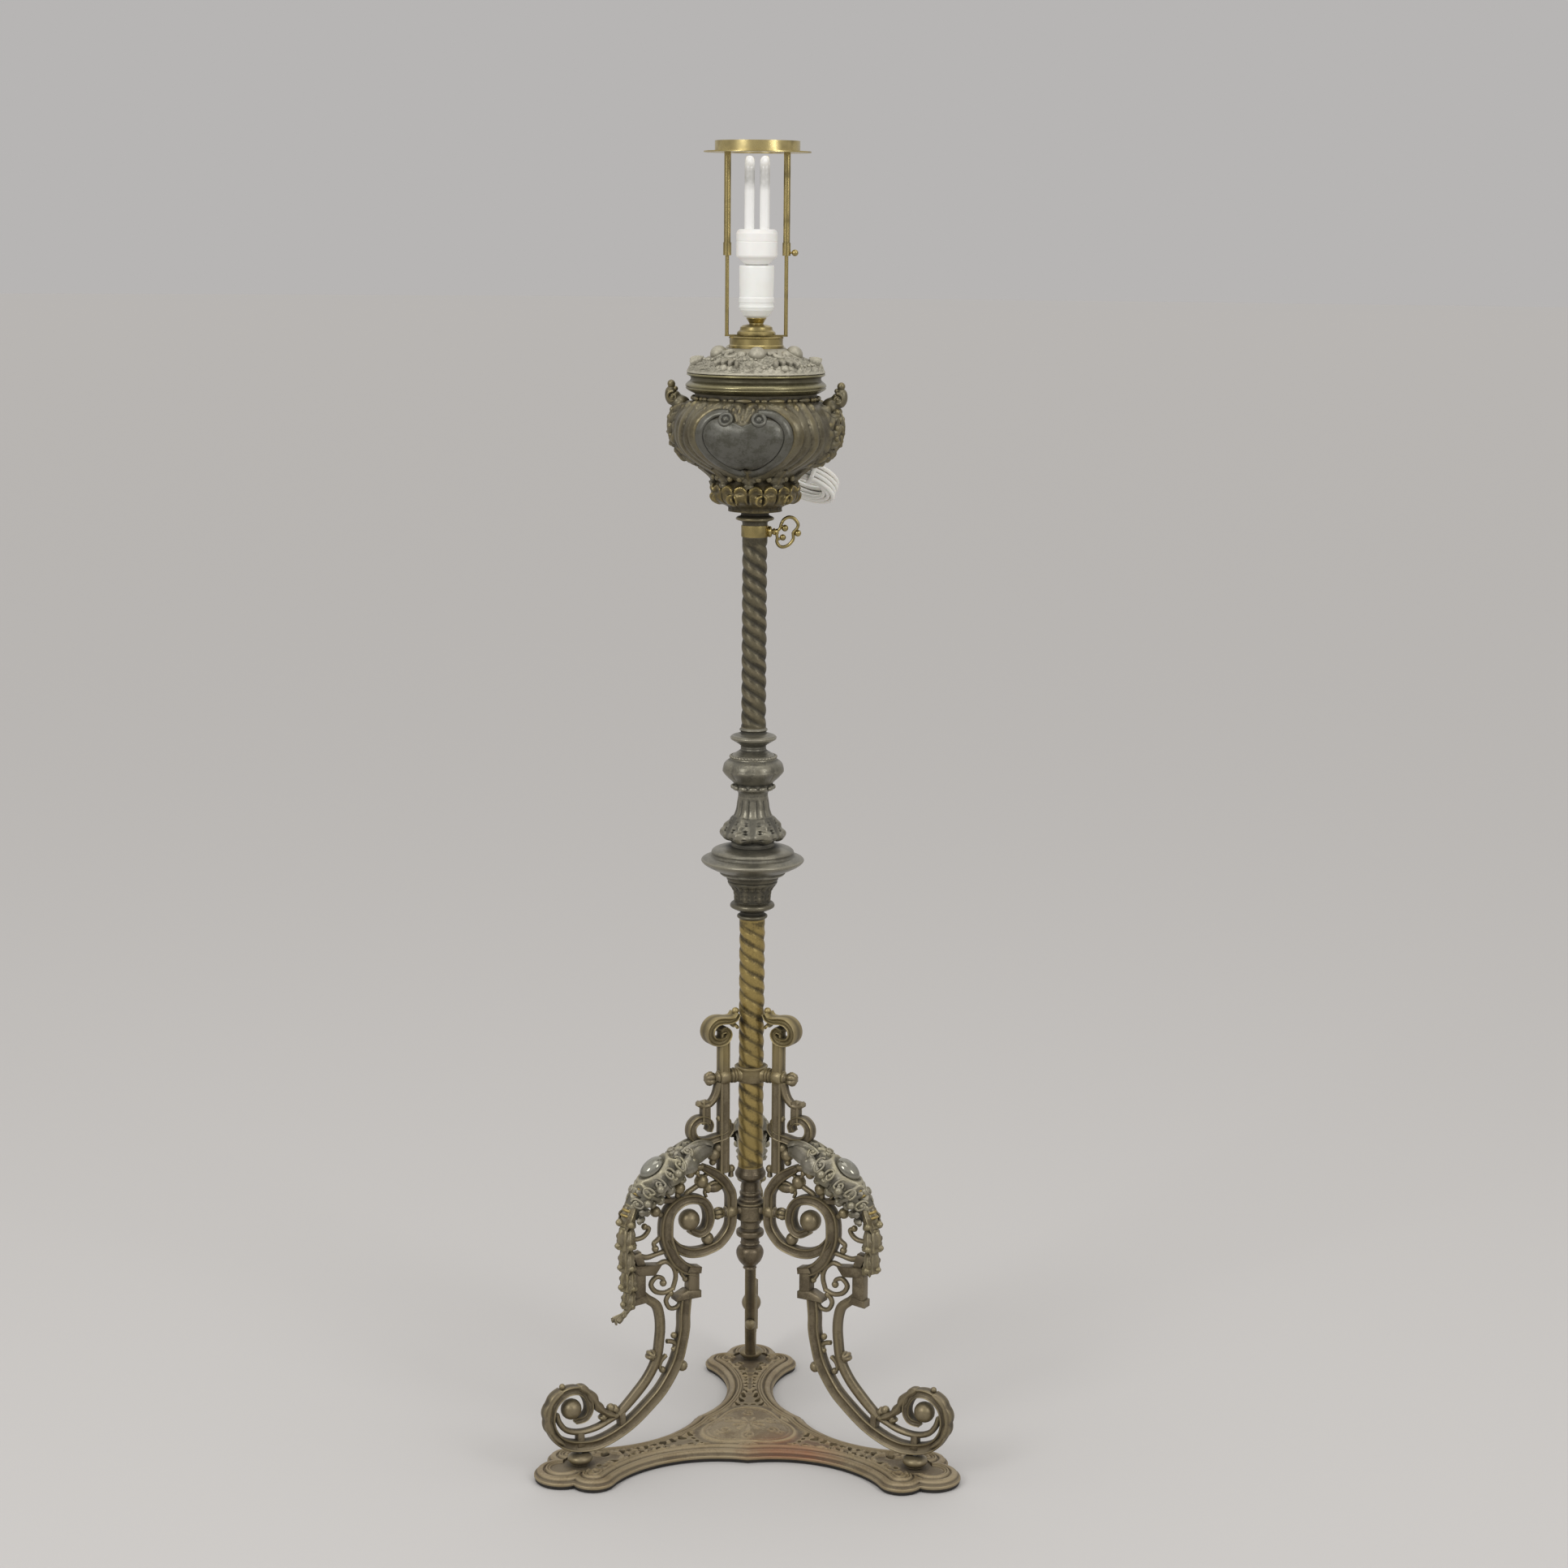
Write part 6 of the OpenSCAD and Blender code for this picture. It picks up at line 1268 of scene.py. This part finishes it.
def add_clamp():
    z = (foot_of("clamp_key") + top_of("clamp_key")) / 2
    key = Casting()
    key.turned([(0, 0), (2.95, 0.1), (2.95, 12.6), (4.2, 13.4), (4.4, 15), (3.2, 16.2), (3.6, 17), (3.9, 18.4),
                (3.2, 19.6), (2.4, 20), (0, 20.2)], (8.7, 0, z), (1, 0, 0), 24, worn=0.3)
    for route in (KEY_UPPER, KEY_LOWER):
        line = spline(route, 6)
        places = at_height(line * (1, 0), line[:, 1] + z)
        key.sweep(places, ROUND, 3.6 + 0.6 * np.sin(np.linspace(0, math.pi, len(line))), 4.8, (0, 1, 0))
    for stalk in KEY_STALKS:
        key.cable(spline([(x, 0, z + h) for x, h in stalk], 4), 1.7, 8)
    for x, h, r in KEY_BALLS:
        key.ball((x, 0, z + h), r, worn=0.4, sides=18)
    key.build("clamp_key_bow", BRIGHT_BRASS, "clamp_key", "bright_brass", ["clamp_key"])
    # The collar, with the round boss that the key screws into
    collar = Casting()
    foot, top = foot_of("clamp_collar"), top_of("clamp_collar")
    turned_relief(collar, [(16.0, foot), (16.5, foot + 0.6), (16.5, top - 0.9), (16.1, top - 0.2), (15.6, top)], 96,
                  plain, GUIDE_BORE, 3)
    collar.turned([(3.2, 14), (5.2, 14.2), (5.4, 15.4), (6.2, 16.2), (6.9, 17.4), (6.9, 18.6), (5.8, 20.2),
                   (3.2, 20.9)], (0, 0, z), (1, 0, 0), 28, worn=0.2)
    collar.build("clamp_collar_boss", BRIGHT_BRASS, "stand", "bright_brass", ["clamp_collar"])


# Font
VASE_TURN = -9
VASE = [(47.4, 0), (49.4, 1.2), (52, 4.2), (57, 8.4), (66, 14.5), (77, 21.5), (86, 29), (92, 36.5), (96, 45),
        (97.4, 54), (97, 62), (95, 70), (90.5, 78), (84, 85), (77.5, 89.4), (74, 92), (72.9, 95), (72.9, 99.5)]
VASE_INSIDE = [(67, 99.5), (67, 93), (78, 84), (90, 66), (91, 50), (80, 28), (56, 12), (42, 4), (40, 0)]
# Panel, its frame and the bands beside it, in mm along the girth and above the vase's widest place
PANEL = [(0, -35), (12, -37), (28, -32), (42, -20), (49, -4), (49, 8), (43.5, 17), (32, 21.5), (14, 19), (0, 14)]
FRAME = [(0, -41), (12, -43), (30, -38), (45.5, -26), (54, -9), (55, 5), (50, 17), (40.5, 25.5), (29, 28.5), (20, 28)]
SECOND_BAND = [(10, -50), (30, -47), (50, -36), (64, -17), (69, 2), (65, 19), (54, 31), (40, 37), (26, 38)]
# A volute: a disc with a rolled rim, a groove and a button
VOLUTE = [(0, -3), (8.8, -2.8), (9.4, 0), (9.4, 2.0), (8.4, 3.6), (6.8, 4.0), (5.6, 3.2), (4.6, 2.2), (3.8, 2.6),
          (3.2, 4.0), (1.8, 4.9), (0, 5.1)]
# The widest place, its radius and its height above the vase's underside
GIRTH_R, GIRTH_Z = 97.0, 52
VASE_FOOT = foot_of("vase_body")


def on_vase(turn, along, high, rise=0.0):
    """A point on the vase's side, along the girth from a turn in degrees, risen above the surface."""
    radii, heights = np.array(VASE).T
    below, r, above = (np.interp(high + GIRTH_Z + step, heights, radii) for step in (-1, 0, 1))
    out = unit((2.0, below - above))
    return round_axis(math.radians(turn) + along / GIRTH_R, r + rise * out[0],
                      VASE_FOOT + GIRTH_Z + high + rise * out[1])


def vase_sweep(casting, turn, route, wide, deep, rise, section=ROUND, worn=None, steps=6):
    """A moulding along a route on the vase's side; the route may carry a width of its own."""
    line = spline(route, steps)
    places = np.array([on_vase(turn, u, h, rise) for u, h in line[:, :2]])
    normal = np.array([on_vase(turn, u, h, rise + 1) for u, h in line[:, :2]]) - places
    casting.sweep(places, section, line[:, 2] if line.shape[1] > 2 else wide, deep, normal, worn)


def vase_relief(a, z, r):
    """Broad flutes beside the panels, leaf edges under the band, and knobbly leaf work towards the horns."""
    rise = np.zeros_like(z)
    worn = np.zeros_like(z)
    for turn in (VASE_TURN, VASE_TURN + 180):
        along = girth(a, turn, GIRTH_R)
        places = np.stack([along.ravel(), (z - GIRTH_Z).ravel()], 1)
        ridges = []
        for s in (-1, 1):
            for k in range(3):
                foot, bend, top = 44 + 15 * k, 82 + 13 * k, 77 + 14 * k
                flute = spline([(foot * s, -49), ((foot + 22) * s, -36), (bend * s, -12), (top * s, 12),
                                ((top - 4) * s, 33)], 6)
                ridges.append((flute, np.linspace(4.5, 7.6, len(flute)), 2.4 + 0.8 * (k % 2)))
                # Curled end of each flute
                ridges.append((np.array([((top - 4) * s, 33 + 2 * (k % 2))]), 4.6, 5.0))
            for k in range(6):
                lean, wide = 2.0 * (k % 3), 4.2 + 1.3 * (k % 2)
                ridges.append((np.array([((8 + 14.5 * k) * s, 36 + lean), ((16 + 14.5 * k) * s, 40.5 - lean)]), wide,
                               3.6))
                ridges.append((np.array([((13 + 14.5 * k) * s, 31.5 + lean)]), 2.6, 3.6))
            # Pleats between the volutes, and small lobes under the frame
            ridges.append((np.array([(5 * s, 30), (4 * s, 41)]), 2.6, 2.4))
            ridges.append((np.array([(6 * s, 20), (10 * s, 27)]), 2.2, 1.6))
            ridges.append((np.array([(16 * s, -48), (5 * s, -44)]), 4.0, 3.0))
        ridges.append((np.array([(0, 21), (0, 25)]), 2.0, 1.8))
        lift = ridge_height(places, ridges).reshape(z.shape)
        rise = np.maximum(rise, lift)
        worn = np.where(lift > 0.2, lift / 2.2 - 0.85, worn)
    # Leaf work: lumps of uneven size, pitted between, which stand out most at the vase's sides
    for side in (90 + VASE_TURN, 270 + VASE_TURN):
        off = girth(a, side, GIRTH_R)
        wave_a = off + 3.2 * np.sin(z / 6.1) + 2.0 * np.sin(z / 3.7 + off / 9)
        wave_z = z + 3.4 * np.sin(off / 5.3) + 1.5 * np.sin(off / 2.9 + z / 7)
        lumps = np.abs(np.sin(wave_z * math.pi / 12.5)) ** 0.8 * np.abs(np.cos(wave_a * math.pi / 13.5)) ** 0.7
        small = np.abs(np.sin(wave_z * math.pi / 5.2) * np.cos(wave_a * math.pi / 5.8))
        patch = np.clip(1.15 - (off / (37 - 0.16 * z)) ** 2, 0, 1) * between(z, 9, 90, 14, 8)
        lift = patch * (2.4 + 6.4 * lumps + 1.6 * small)
        rise = np.where(patch > 0, np.maximum(rise * (1 - patch), lift), rise)
        worn = np.where(patch > 0.1, np.clip(lumps * 1.7 + small * 0.5 - 1.05, -1, 1), worn)
    fade = between(z, 1.5, 94, 6, 5)
    return rise * fade, np.clip(worn * fade, -1, 1)


def add_vase():
    shell = Casting()
    turned_relief(shell, lifted(VASE, VASE_FOOT), 420, lambda a, z, r: vase_relief(a, z - VASE_FOOT, r),
                  lifted(VASE_INSIDE, VASE_FOOT), 7)
    # Beads under the band, one long and two short by turns, with dark gaps between them
    for k in range(12):
        for away, r, share in ((0, 2.9, 3.5), (12.5, 2.5, 1.2), (18.5, 2.6, 1.6)):
            a = math.radians(30 * k - 10.5 + away)
            shell.ball(round_axis(a, 75.4, VASE_FOOT + 94), r, (math.cos(a), math.sin(a), 0), share, 12, worn=0.95)
    for turn in (VASE_TURN, VASE_TURN + 180):
        for s in (-1, 1):
            band = [(u * s, h) for u, h in SECOND_BAND]
            vase_sweep(shell, turn, band, 15, 5.4, 0.2, worn=0.0)
    # Leaf tongues that hang over the waist
    for k in range(9):
        a = math.radians(40 * k - 8)
        out = round_axis(a)
        route = [round_axis(a, r, VASE_FOOT + h) for r, h in
                 spline([(66, 15), (57, 8), (50.5, 1.5), (48.6, -4), (51, -8.5), (54, -10)], 5)]
        shell.leaf(route, out, 21 if k % 2 else 17, 3, notch=0.35, thick=4)
        side = np.array((math.cos(a), math.sin(a), 0))
        for s in (-1, 1):
            shell.ball(round_axis(a, 49.8, VASE_FOOT + 1) + side * s * 11, 4.4, out, 0.8, 12, 5, 0.15)
    shell.build("vase_shell", VASE_BRONZE, "font", "vase_bronze", ["vase_body"], edge=60)
    panels = Casting()
    for turn in (VASE_TURN, VASE_TURN + 180):
        half = spline(PANEL, 6)
        outline = np.vstack([half, half[::-1][1:-1] * (-1, 1)])
        rings = []
        for share, rise in ((1.0, 0.1), (0.99, 1.8), (0.96, 2.8), (0.9, 3.3), (0.8, 3.6), (0.65, 3.8), (0.5, 3.9),
                            (0.35, 4.0), (0.2, 4.0), (0.08, 4.0)):
            ring = []
            for u, h in (outline + (0, 6)) * share - (0, 6):
                # Dents and soft lumps, a centimetre or two across
                dent = 0.4 * math.sin(u / 5.1 + h / 7) * math.sin(h / 4.3 - u / 9) * (share < 0.95)
                ring.append(on_vase(turn, u, h, rise + dent))
            rings.append(ring)
        panels.loft(rings, 0.0)
        for s in (-1, 1):
            route = np.column_stack([FRAME, np.linspace(15, 10.5, len(FRAME))]) * (s, 1, 1)
            vase_sweep(panels, turn, route, 10, 7, 0.6, worn=0.05, steps=4)
            middle = on_vase(turn, 20 * s, 20.5, 1.0)
            panels.turned(VOLUTE, middle, middle - on_vase(turn, 20 * s, 20.5, 0), 36, worn=0.05)
    panels.build("heart_panels", PANEL_BRONZE, "font", "vase_bronze", ["vase_medallions"], edge=60)


def add_horns():
    horns = Casting()
    for side in (-1, 1):
        def at(x, z, y=0.0):
            return np.array((side * x, y, VASE_FOOT + z))

        # Leaves that climb the vase's side, knobbly at their edges
        for y, out in ((-15, 0), (0, 3), (15, 0)):
            horns.leaf([at(x + out - 1.5, z, y * (1.0 - 0.5 * z / 90)) for x, z in
                        spline([(69, 17), (81, 25.5), (92, 36), (98.5, 48), (100.5, 59), (99.5, 69), (95, 79)], 5)],
                       (side, y * 0.05, 0.1), 15, 5, notch=0.5, thick=4, crown=2.4, rib=1.6)
        # Snail-shaped horn: a thick curl that narrows to a ball
        route = spline([at(80, 73), at(87, 80.5), at(93, 87), at(98.5, 91.5), at(103, 95.5), at(103, 101.5),
                        at(102, 106)], 6)
        radii = np.interp(np.linspace(0, 1, len(route)), [0, 0.3, 0.55, 0.75, 1], [13, 10.4, 9.0, 7.2, 3.4])
        bulges = 1 + 0.08 * np.cos(np.linspace(0, 7 * math.pi, len(route)))
        horns.cable(route, radii * bulges, 20)
        horns.ball(at(102.5, 109), 4.9, (side * 0.3, 0, 1), 1.05, worn=0.6)
        horns.ball(at(97.5, 103.5), 3.2, worn=0.4)
        # Spiral eye on both faces of the curl
        for y in (-8.2, 8.2):
            eye = [at(99.5 + p[0], 94 + p[1], y * (1 - 0.012 * k))
                   for k, p in enumerate(scroll((0, 0), 7, 1.5, 100, -1.4, 22))]
            horns.cable(eye, np.linspace(1.9, 1.3, len(eye)), 8)
            horns.ball(at(99.5, 94, y * 0.95), 2.6, worn=0.7)
        for k, (x, z, r) in enumerate(((103.5, 60, 4.6), (104, 70, 4.4), (102.5, 49, 4.4), (98, 38, 4.2),
                                       (92.5, 29.5, 3.8), (101, 79, 4.2))):
            for y in ((-8, 7, 17) if k % 2 else (-3, 11, -16)):
                horns.ball(at(x - abs(y) * 0.2, z, y), r, (side, 0, 0.2), 0.9, 12, 4, 0.12, worn=0.35)
    horns.build("leaf_horns", VASE_BRONZE, "font", "ring_brass", ["vase_horns"], VASE_TURN, edge=60)


def gadroon_relief(a, z, r):
    """Leaves rolled over at their tops, dark gaps between them, and scrolls lower down."""
    off = (a + 9) / 20 % 1 - 0.5
    arch = 33 - 7 * (2 * off) ** 2
    roll = hump(z - arch, 2.6)
    swell = np.clip(1 - (2 * off) ** 2, 0, 1) ** 0.5 * between(z, 8, 36, 8, 6)
    gap = hump(np.abs(off) - 0.5, 0.07) * between(z, 10, 32, 4)
    hollow = hump(z - arch + 6, 2.6) * hump(off, 0.24)
    scallop = np.abs(np.cos(np.radians(a) * 12)) * hump(z - 6, 3)
    rise = 2.6 * roll + 1.8 * swell - 2.4 * gap - 1.6 * hollow + 1.0 * scallop - 1.2
    uneven = 0.5 + 0.5 * np.sin(np.radians(a) * 7 + 1.3 * np.sin(z / 3.1 + np.radians(a) * 13))
    bright = (0.7 + 0.9 * uneven) * roll + 0.3 * swell - 1.4 * gap - hollow
    for k in range(9):
        d = np.hypot(girth(a, 8.7 + 40 * k, 52), (z - 17.5) * 1.05)
        ring = hump(d - 6.0, 1.7) + 1.1 * hump(d, 2.4)
        rise += 2.4 * ring
        bright += 0.9 * ring
    return rise, np.clip(bright - 0.55, -1, 1)


def dome_relief(a, z, r):
    """Grains and small uneven leaves over the slope, and a scalloped rim."""
    wave_a = a * r / 57.3 + 2.4 * np.sin(r / 3.1)
    leafy = np.sin(wave_a / 2.3 + 1.6 * np.sin(r / 2.2)) * np.cos(r / 1.7 + 1.2 * np.sin(wave_a / 3.9))
    grain = np.sin(wave_a / 0.8 + 2 * np.sin(r)) * np.cos(z * 2.1 + np.sin(wave_a / 1.3))
    slope = between(r, 46, 82.6, 8, 3)
    rim = np.abs(np.cos(np.radians(a) * 17)) * hump(r - 77, 3.0)
    rise = slope * (1.3 * leafy + 0.8 * grain) + 1.2 * rim
    return rise, np.clip(0.6 * slope * (leafy + 0.9 * grain) + 0.4 * rim, -1, 1)


def dome_dressing(dome, foot):
    """Bosses, small knobs and C-scrolls round the collar, five times, and leaf clusters along the rim."""
    def on_dome(a, r, z, rise=0.0):
        out = unit(round_axis(a, 0.5, 0.87))
        return round_axis(a, r, foot + z) + out * rise, out
    for k in range(5):
        a = math.radians(72 * k + 2)
        # A smooth egg in a low cup
        at, out = on_dome(a, 46.5, 21.5)
        dome.turned([(0, -6), (11.4, -5.8), (12.2, -1), (12.0, 0.8), (10.6, 1.8), (9.8, 1.2), (0, 1)], at, out, 36,
                    worn=-0.1)
        dome.ball(at + out * 1.6, 10.2, out, 0.9, 28, worn=0.2)
        at, out = on_dome(a - math.radians(23), 45, 21, 1)
        dome.ball(at, 6.2, out, 0.8, 20, worn=0.1)
        # C-scroll, open towards the knob
        at, out = on_dome(a - math.radians(39), 46, 20.6, 2)
        across = unit(np.cross(out, round_axis(a)))
        down = np.cross(out, across)
        bow = [at + 6.8 * (math.cos(t) * across + math.sin(t) * down) for t in np.radians(np.linspace(45, 315, 24))]
        dome.cable(bow, 1.2 + 1.8 * np.sin(np.linspace(0, math.pi, 24)), 12)
        dome.ball(bow[-1], 2.2)
        # Leaf that runs from one boss towards the next
        sweep_a = np.radians(np.linspace(14, 33, 14)) + a
        dome.leaf([on_dome(t, 47 - 5 * i / 13, 21 + 2.4 * i / 13, 1.5)[0] for i, t in enumerate(sweep_a)],
                  on_dome(a, 45, 21)[1], 7, 3)
    for k in range(6):
        a = math.radians(60 * k + 28 + 5 * math.sin(3 * k))
        for lean, r, z, size in ((-7, 73, 6.5, 5.4), (-1, 74, 7, 6.2), (5, 73, 6.5, 5.6), (9, 70, 7.5, 4.4)):
            at, out = on_dome(a + math.radians(lean), r, z)
            dome.ball(at, size, out, 0.9, 16, 5, 0.14, -0.1)
        for lean, rise, wide in ((-7, 6, 6.5), (-1.5, 8, 7.5), (4, 7, 7), (9, 4.5, 5.5)):
            t = a + math.radians(lean)
            root, tip = on_dome(t, 64, 13)[0], on_dome(t + math.radians(lean * 0.3), 77, 4 + rise)[0]
            route = [root + (tip - root) * x + np.array((0, 0, 1.2 * math.sin(x * 3.1))) for x in np.linspace(0, 1, 9)]
            dome.leaf(route, round_axis(t, 0.3, 1), wide, 3, thick=4.5)
    # Small buds strewn over the slope
    for k in range(46):
        a, r = math.radians(k * 137.5), 58 + 17 * ((k * 0.618) % 1)
        at, out = on_dome(a, r, 26.5 - (r - 42) * 0.55)
        dome.ball(at, 1.7 + 0.9 * ((k * 0.37) % 1), out, 0.8, 10)


def add_font():
    add_turned("vase_foot_dressed", [(15.2, 0), (15.4, 3.6), (17, 5.2), (22.4, 7), (23, 8.8), (21.4, 10.4),
                                     (17.4, 12.2), (16.8, 14), (17, 16)], VASE_BRONZE, "vase_bronze", "vase_foot")
    add_turned("gadrooned_ring", [(20, 0), (32.4, 0.6), (33, 3), (32.8, 6), (38, 8.6), (46, 12), (51.6, 17), (53.2, 22),
                                  (52.6, 28), (50, 34), (47.6, 38.6), (46.4, 42)], RING_BRASS, "ring_brass",
               "gadroon_ring", gadroon_relief, 12, 288, steps=7, edge=60)
    add_turned("double_band", [(72.9, 0), (75.6, 0.8), (78.4, 2.2), (81.6, 4.0), (83.7, 6.0), (83.0, 7.4), (84.0, 8.8),
                               (83.4, 10.8), (81.2, 13), (78.8, 14.8), (77.8, 16.2), (77.6, 18), (78.2, 19.6),
                               (80.8, 20.8), (82.4, 21.8), (82.6, 22.8), (81.6, 23.9), (79, 24.5)], BAND_BRASS,
               "band_brass", "font_band", bore=67, sides=168, steps=5)
    add_turned("embossed_cover", [(76, 0), (82, 0.1), (82.2, 1.4), (80.6, 3.2), (76, 6.6), (70, 10.4), (62, 14.8),
                                  (54, 18.6), (47, 22.4), (41, 26), (36, 28.4), (33.2, 29)], COVER_BRONZE,
               "cover_bronze", "font_cover", dome_relief, 26, 360, dome_dressing, steps=9, edge=60)


def dress(node, finish, bevel=0.0):
    """Gives a CAD node its finish, and a fine bevel where its edges are sharp."""
    piece = NODES[node]
    piece.data.materials.clear()
    piece.data.materials.append(finish)
    if bevel:
        modifier = piece.modifiers.new("edges", "BEVEL")
        modifier.width = bevel * MM
        modifier.segments = 2
        modifier.limit_method = "ANGLE"
        modifier.angle_limit = math.radians(40)


def add_legs():
    leg, stone = leg_casting(), stone_casting()
    whole, broken = garland_casting(), garland_casting(True)
    stones = Casting()
    for turn, name in zip(ARMS, ARM_NAMES):
        leg.build("leg_" + name + "_casting", LEG_BRASS, "stand", "leg_brass", ["leg_" + name], turn)
        sheet, string, bands = broken if name == "right" else whole
        string.build("garland_" + name + "_string", STRING_BRASS, "stand", "grey_ornament", turn=turn)
        sheet.build("garland_" + name + "_casting", GREY_BRASS, "stand", "grey_ornament", ["garland_" + name], turn)
        bands.build("garland_" + name + "_ribs", GILT_BRASS, "stand", "grey_ornament", turn=turn)
        stones.add(turned_by(np.vstack(stone.points), turn), stone.faces)
    stones.build("cabochons", CABOCHON, "stand", "polished_stone", ["garland_jewels"], edge=70)


def add_base():
    base_casting().build("relief_plate", BASE_BRASS, "stand", "base_bronze", ["base_plate"], edge=55, weld=True)
    foot_plate_casting().build("foot_plate", FOOT_IRON, "stand", "cast_iron_plate", ["base_foot_plate"], weld=True)
    knobs = Casting()
    foot = foot_of("foot_knobs")
    for a in ARMS:
        knobs.turned([(0, 0), (11, 0.1), (11.2, 1.6), (13.6, 3.2), (15.2, 5.4), (15.5, 7.4), (14.6, 10), (12, 12),
                      (9.6, 13.2), (0, 14)], np.append(ray(a, BOLT_AT), foot), sides=36)
    knobs.build("flattened_knobs", LEG_BRASS, "stand", "leg_brass", ["foot_knobs"])


def dress_cad_nodes():
    for node in ("leg_bolts", "tie_rod", "tie_nut"):
        dress(node, STEEL)
    dress("garland_rivets", LEG_BRASS)
    for node in ("guide_tube", "telescopic_rod", "font_tank", "holder_nipple"):
        dress(node, DEEP_BRASS)
    for node in ("font_collar", "font_cap", "gallery_yoke", "holder_funnel",
                 "gallery_sleeves", "gallery_screw"):
        dress(node, BRIGHT_BRASS, 0.3)
    dress("gallery_ring", PALE_BRASS, 0.3)
    for node in ("lamp_holder_base", "lamp_holder_shell", "holder_contact"):
        dress(node, HOLDER_PLASTIC, 0.3)
    dress("bulb_housing", BULB_PLASTIC, 0.3)
    dress("bulb_tubes", BULB_GLASS)
    for node in ("bulb_contact", "bulb_cap"):
        dress(node, STEEL)
    for node in ("cord_gland", "plug_body"):
        dress(node, CORD_VINYL, 0.4)
    dress("plug_pins", DEEP_BRASS)


def add_stage():
    floor = bpy.data.meshes.new("floor")
    ring = [(60 * math.cos(a), 60 * math.sin(a), 0) for a in np.linspace(0, 2 * math.pi, 64, endpoint=False)]
    floor.from_pydata(ring, [], [tuple(range(64))])
    finish, tree = new_finish("pale_floor")
    shader = add_node(tree, "BsdfPrincipled", {"Base Color": colour("#bfbdbb"), "Roughness": 0.8})
    add_node(tree, "OutputMaterial", {}, {"Surface": shader.outputs[0]})
    floor.materials.append(finish)
    piece = bpy.data.objects.new("floor", floor)
    bpy.context.collection.objects.link(piece)
    world = bpy.data.worlds.new("studio")
    world.use_nodes = True
    tree = world.node_tree
    background = tree.nodes["Background"]
    # A grey wall near the horizon and a brighter room above it
    height = add_node(tree, "SeparateXYZ", {}, {0: add_node(tree, "TexCoord").outputs["Generated"]})
    share = add_node(tree, "MapRange", {"From Min": 0.08, "From Max": 0.5}, {"Value": height.outputs[2]}).outputs[0]
    tone = add_node(tree, "Mix", {"data_type": "RGBA", 6: colour("#b7b5b4"), 7: colour("#f4f2f0")}, {0: share})
    tree.links.new(tone.outputs[2], background.inputs["Color"])
    background.inputs["Strength"].default_value = 1.0
    bpy.context.scene.world = world
    bpy.context.scene.view_settings.view_transform = "Standard"


add_camera()
add_cord()
add_stage()
add_softbox("softbox_left", (-2.2, -2.6, 2.6), (0, 0, 0.9), (1.0, 1.4), 34)
add_softbox("softbox_right", (2.4, -2.4, 2.4), (0, 0, 0.9), (1.0, 1.4), 24)
add_softbox("softbox_top", (0, -0.4, 3.6), (0, 0, 0.8), (2.0, 1.6), 14)
add_legs()
add_base()
add_column()
add_spiders()
add_clamp()
add_vase()
add_horns()
add_font()
dress_cad_nodes()
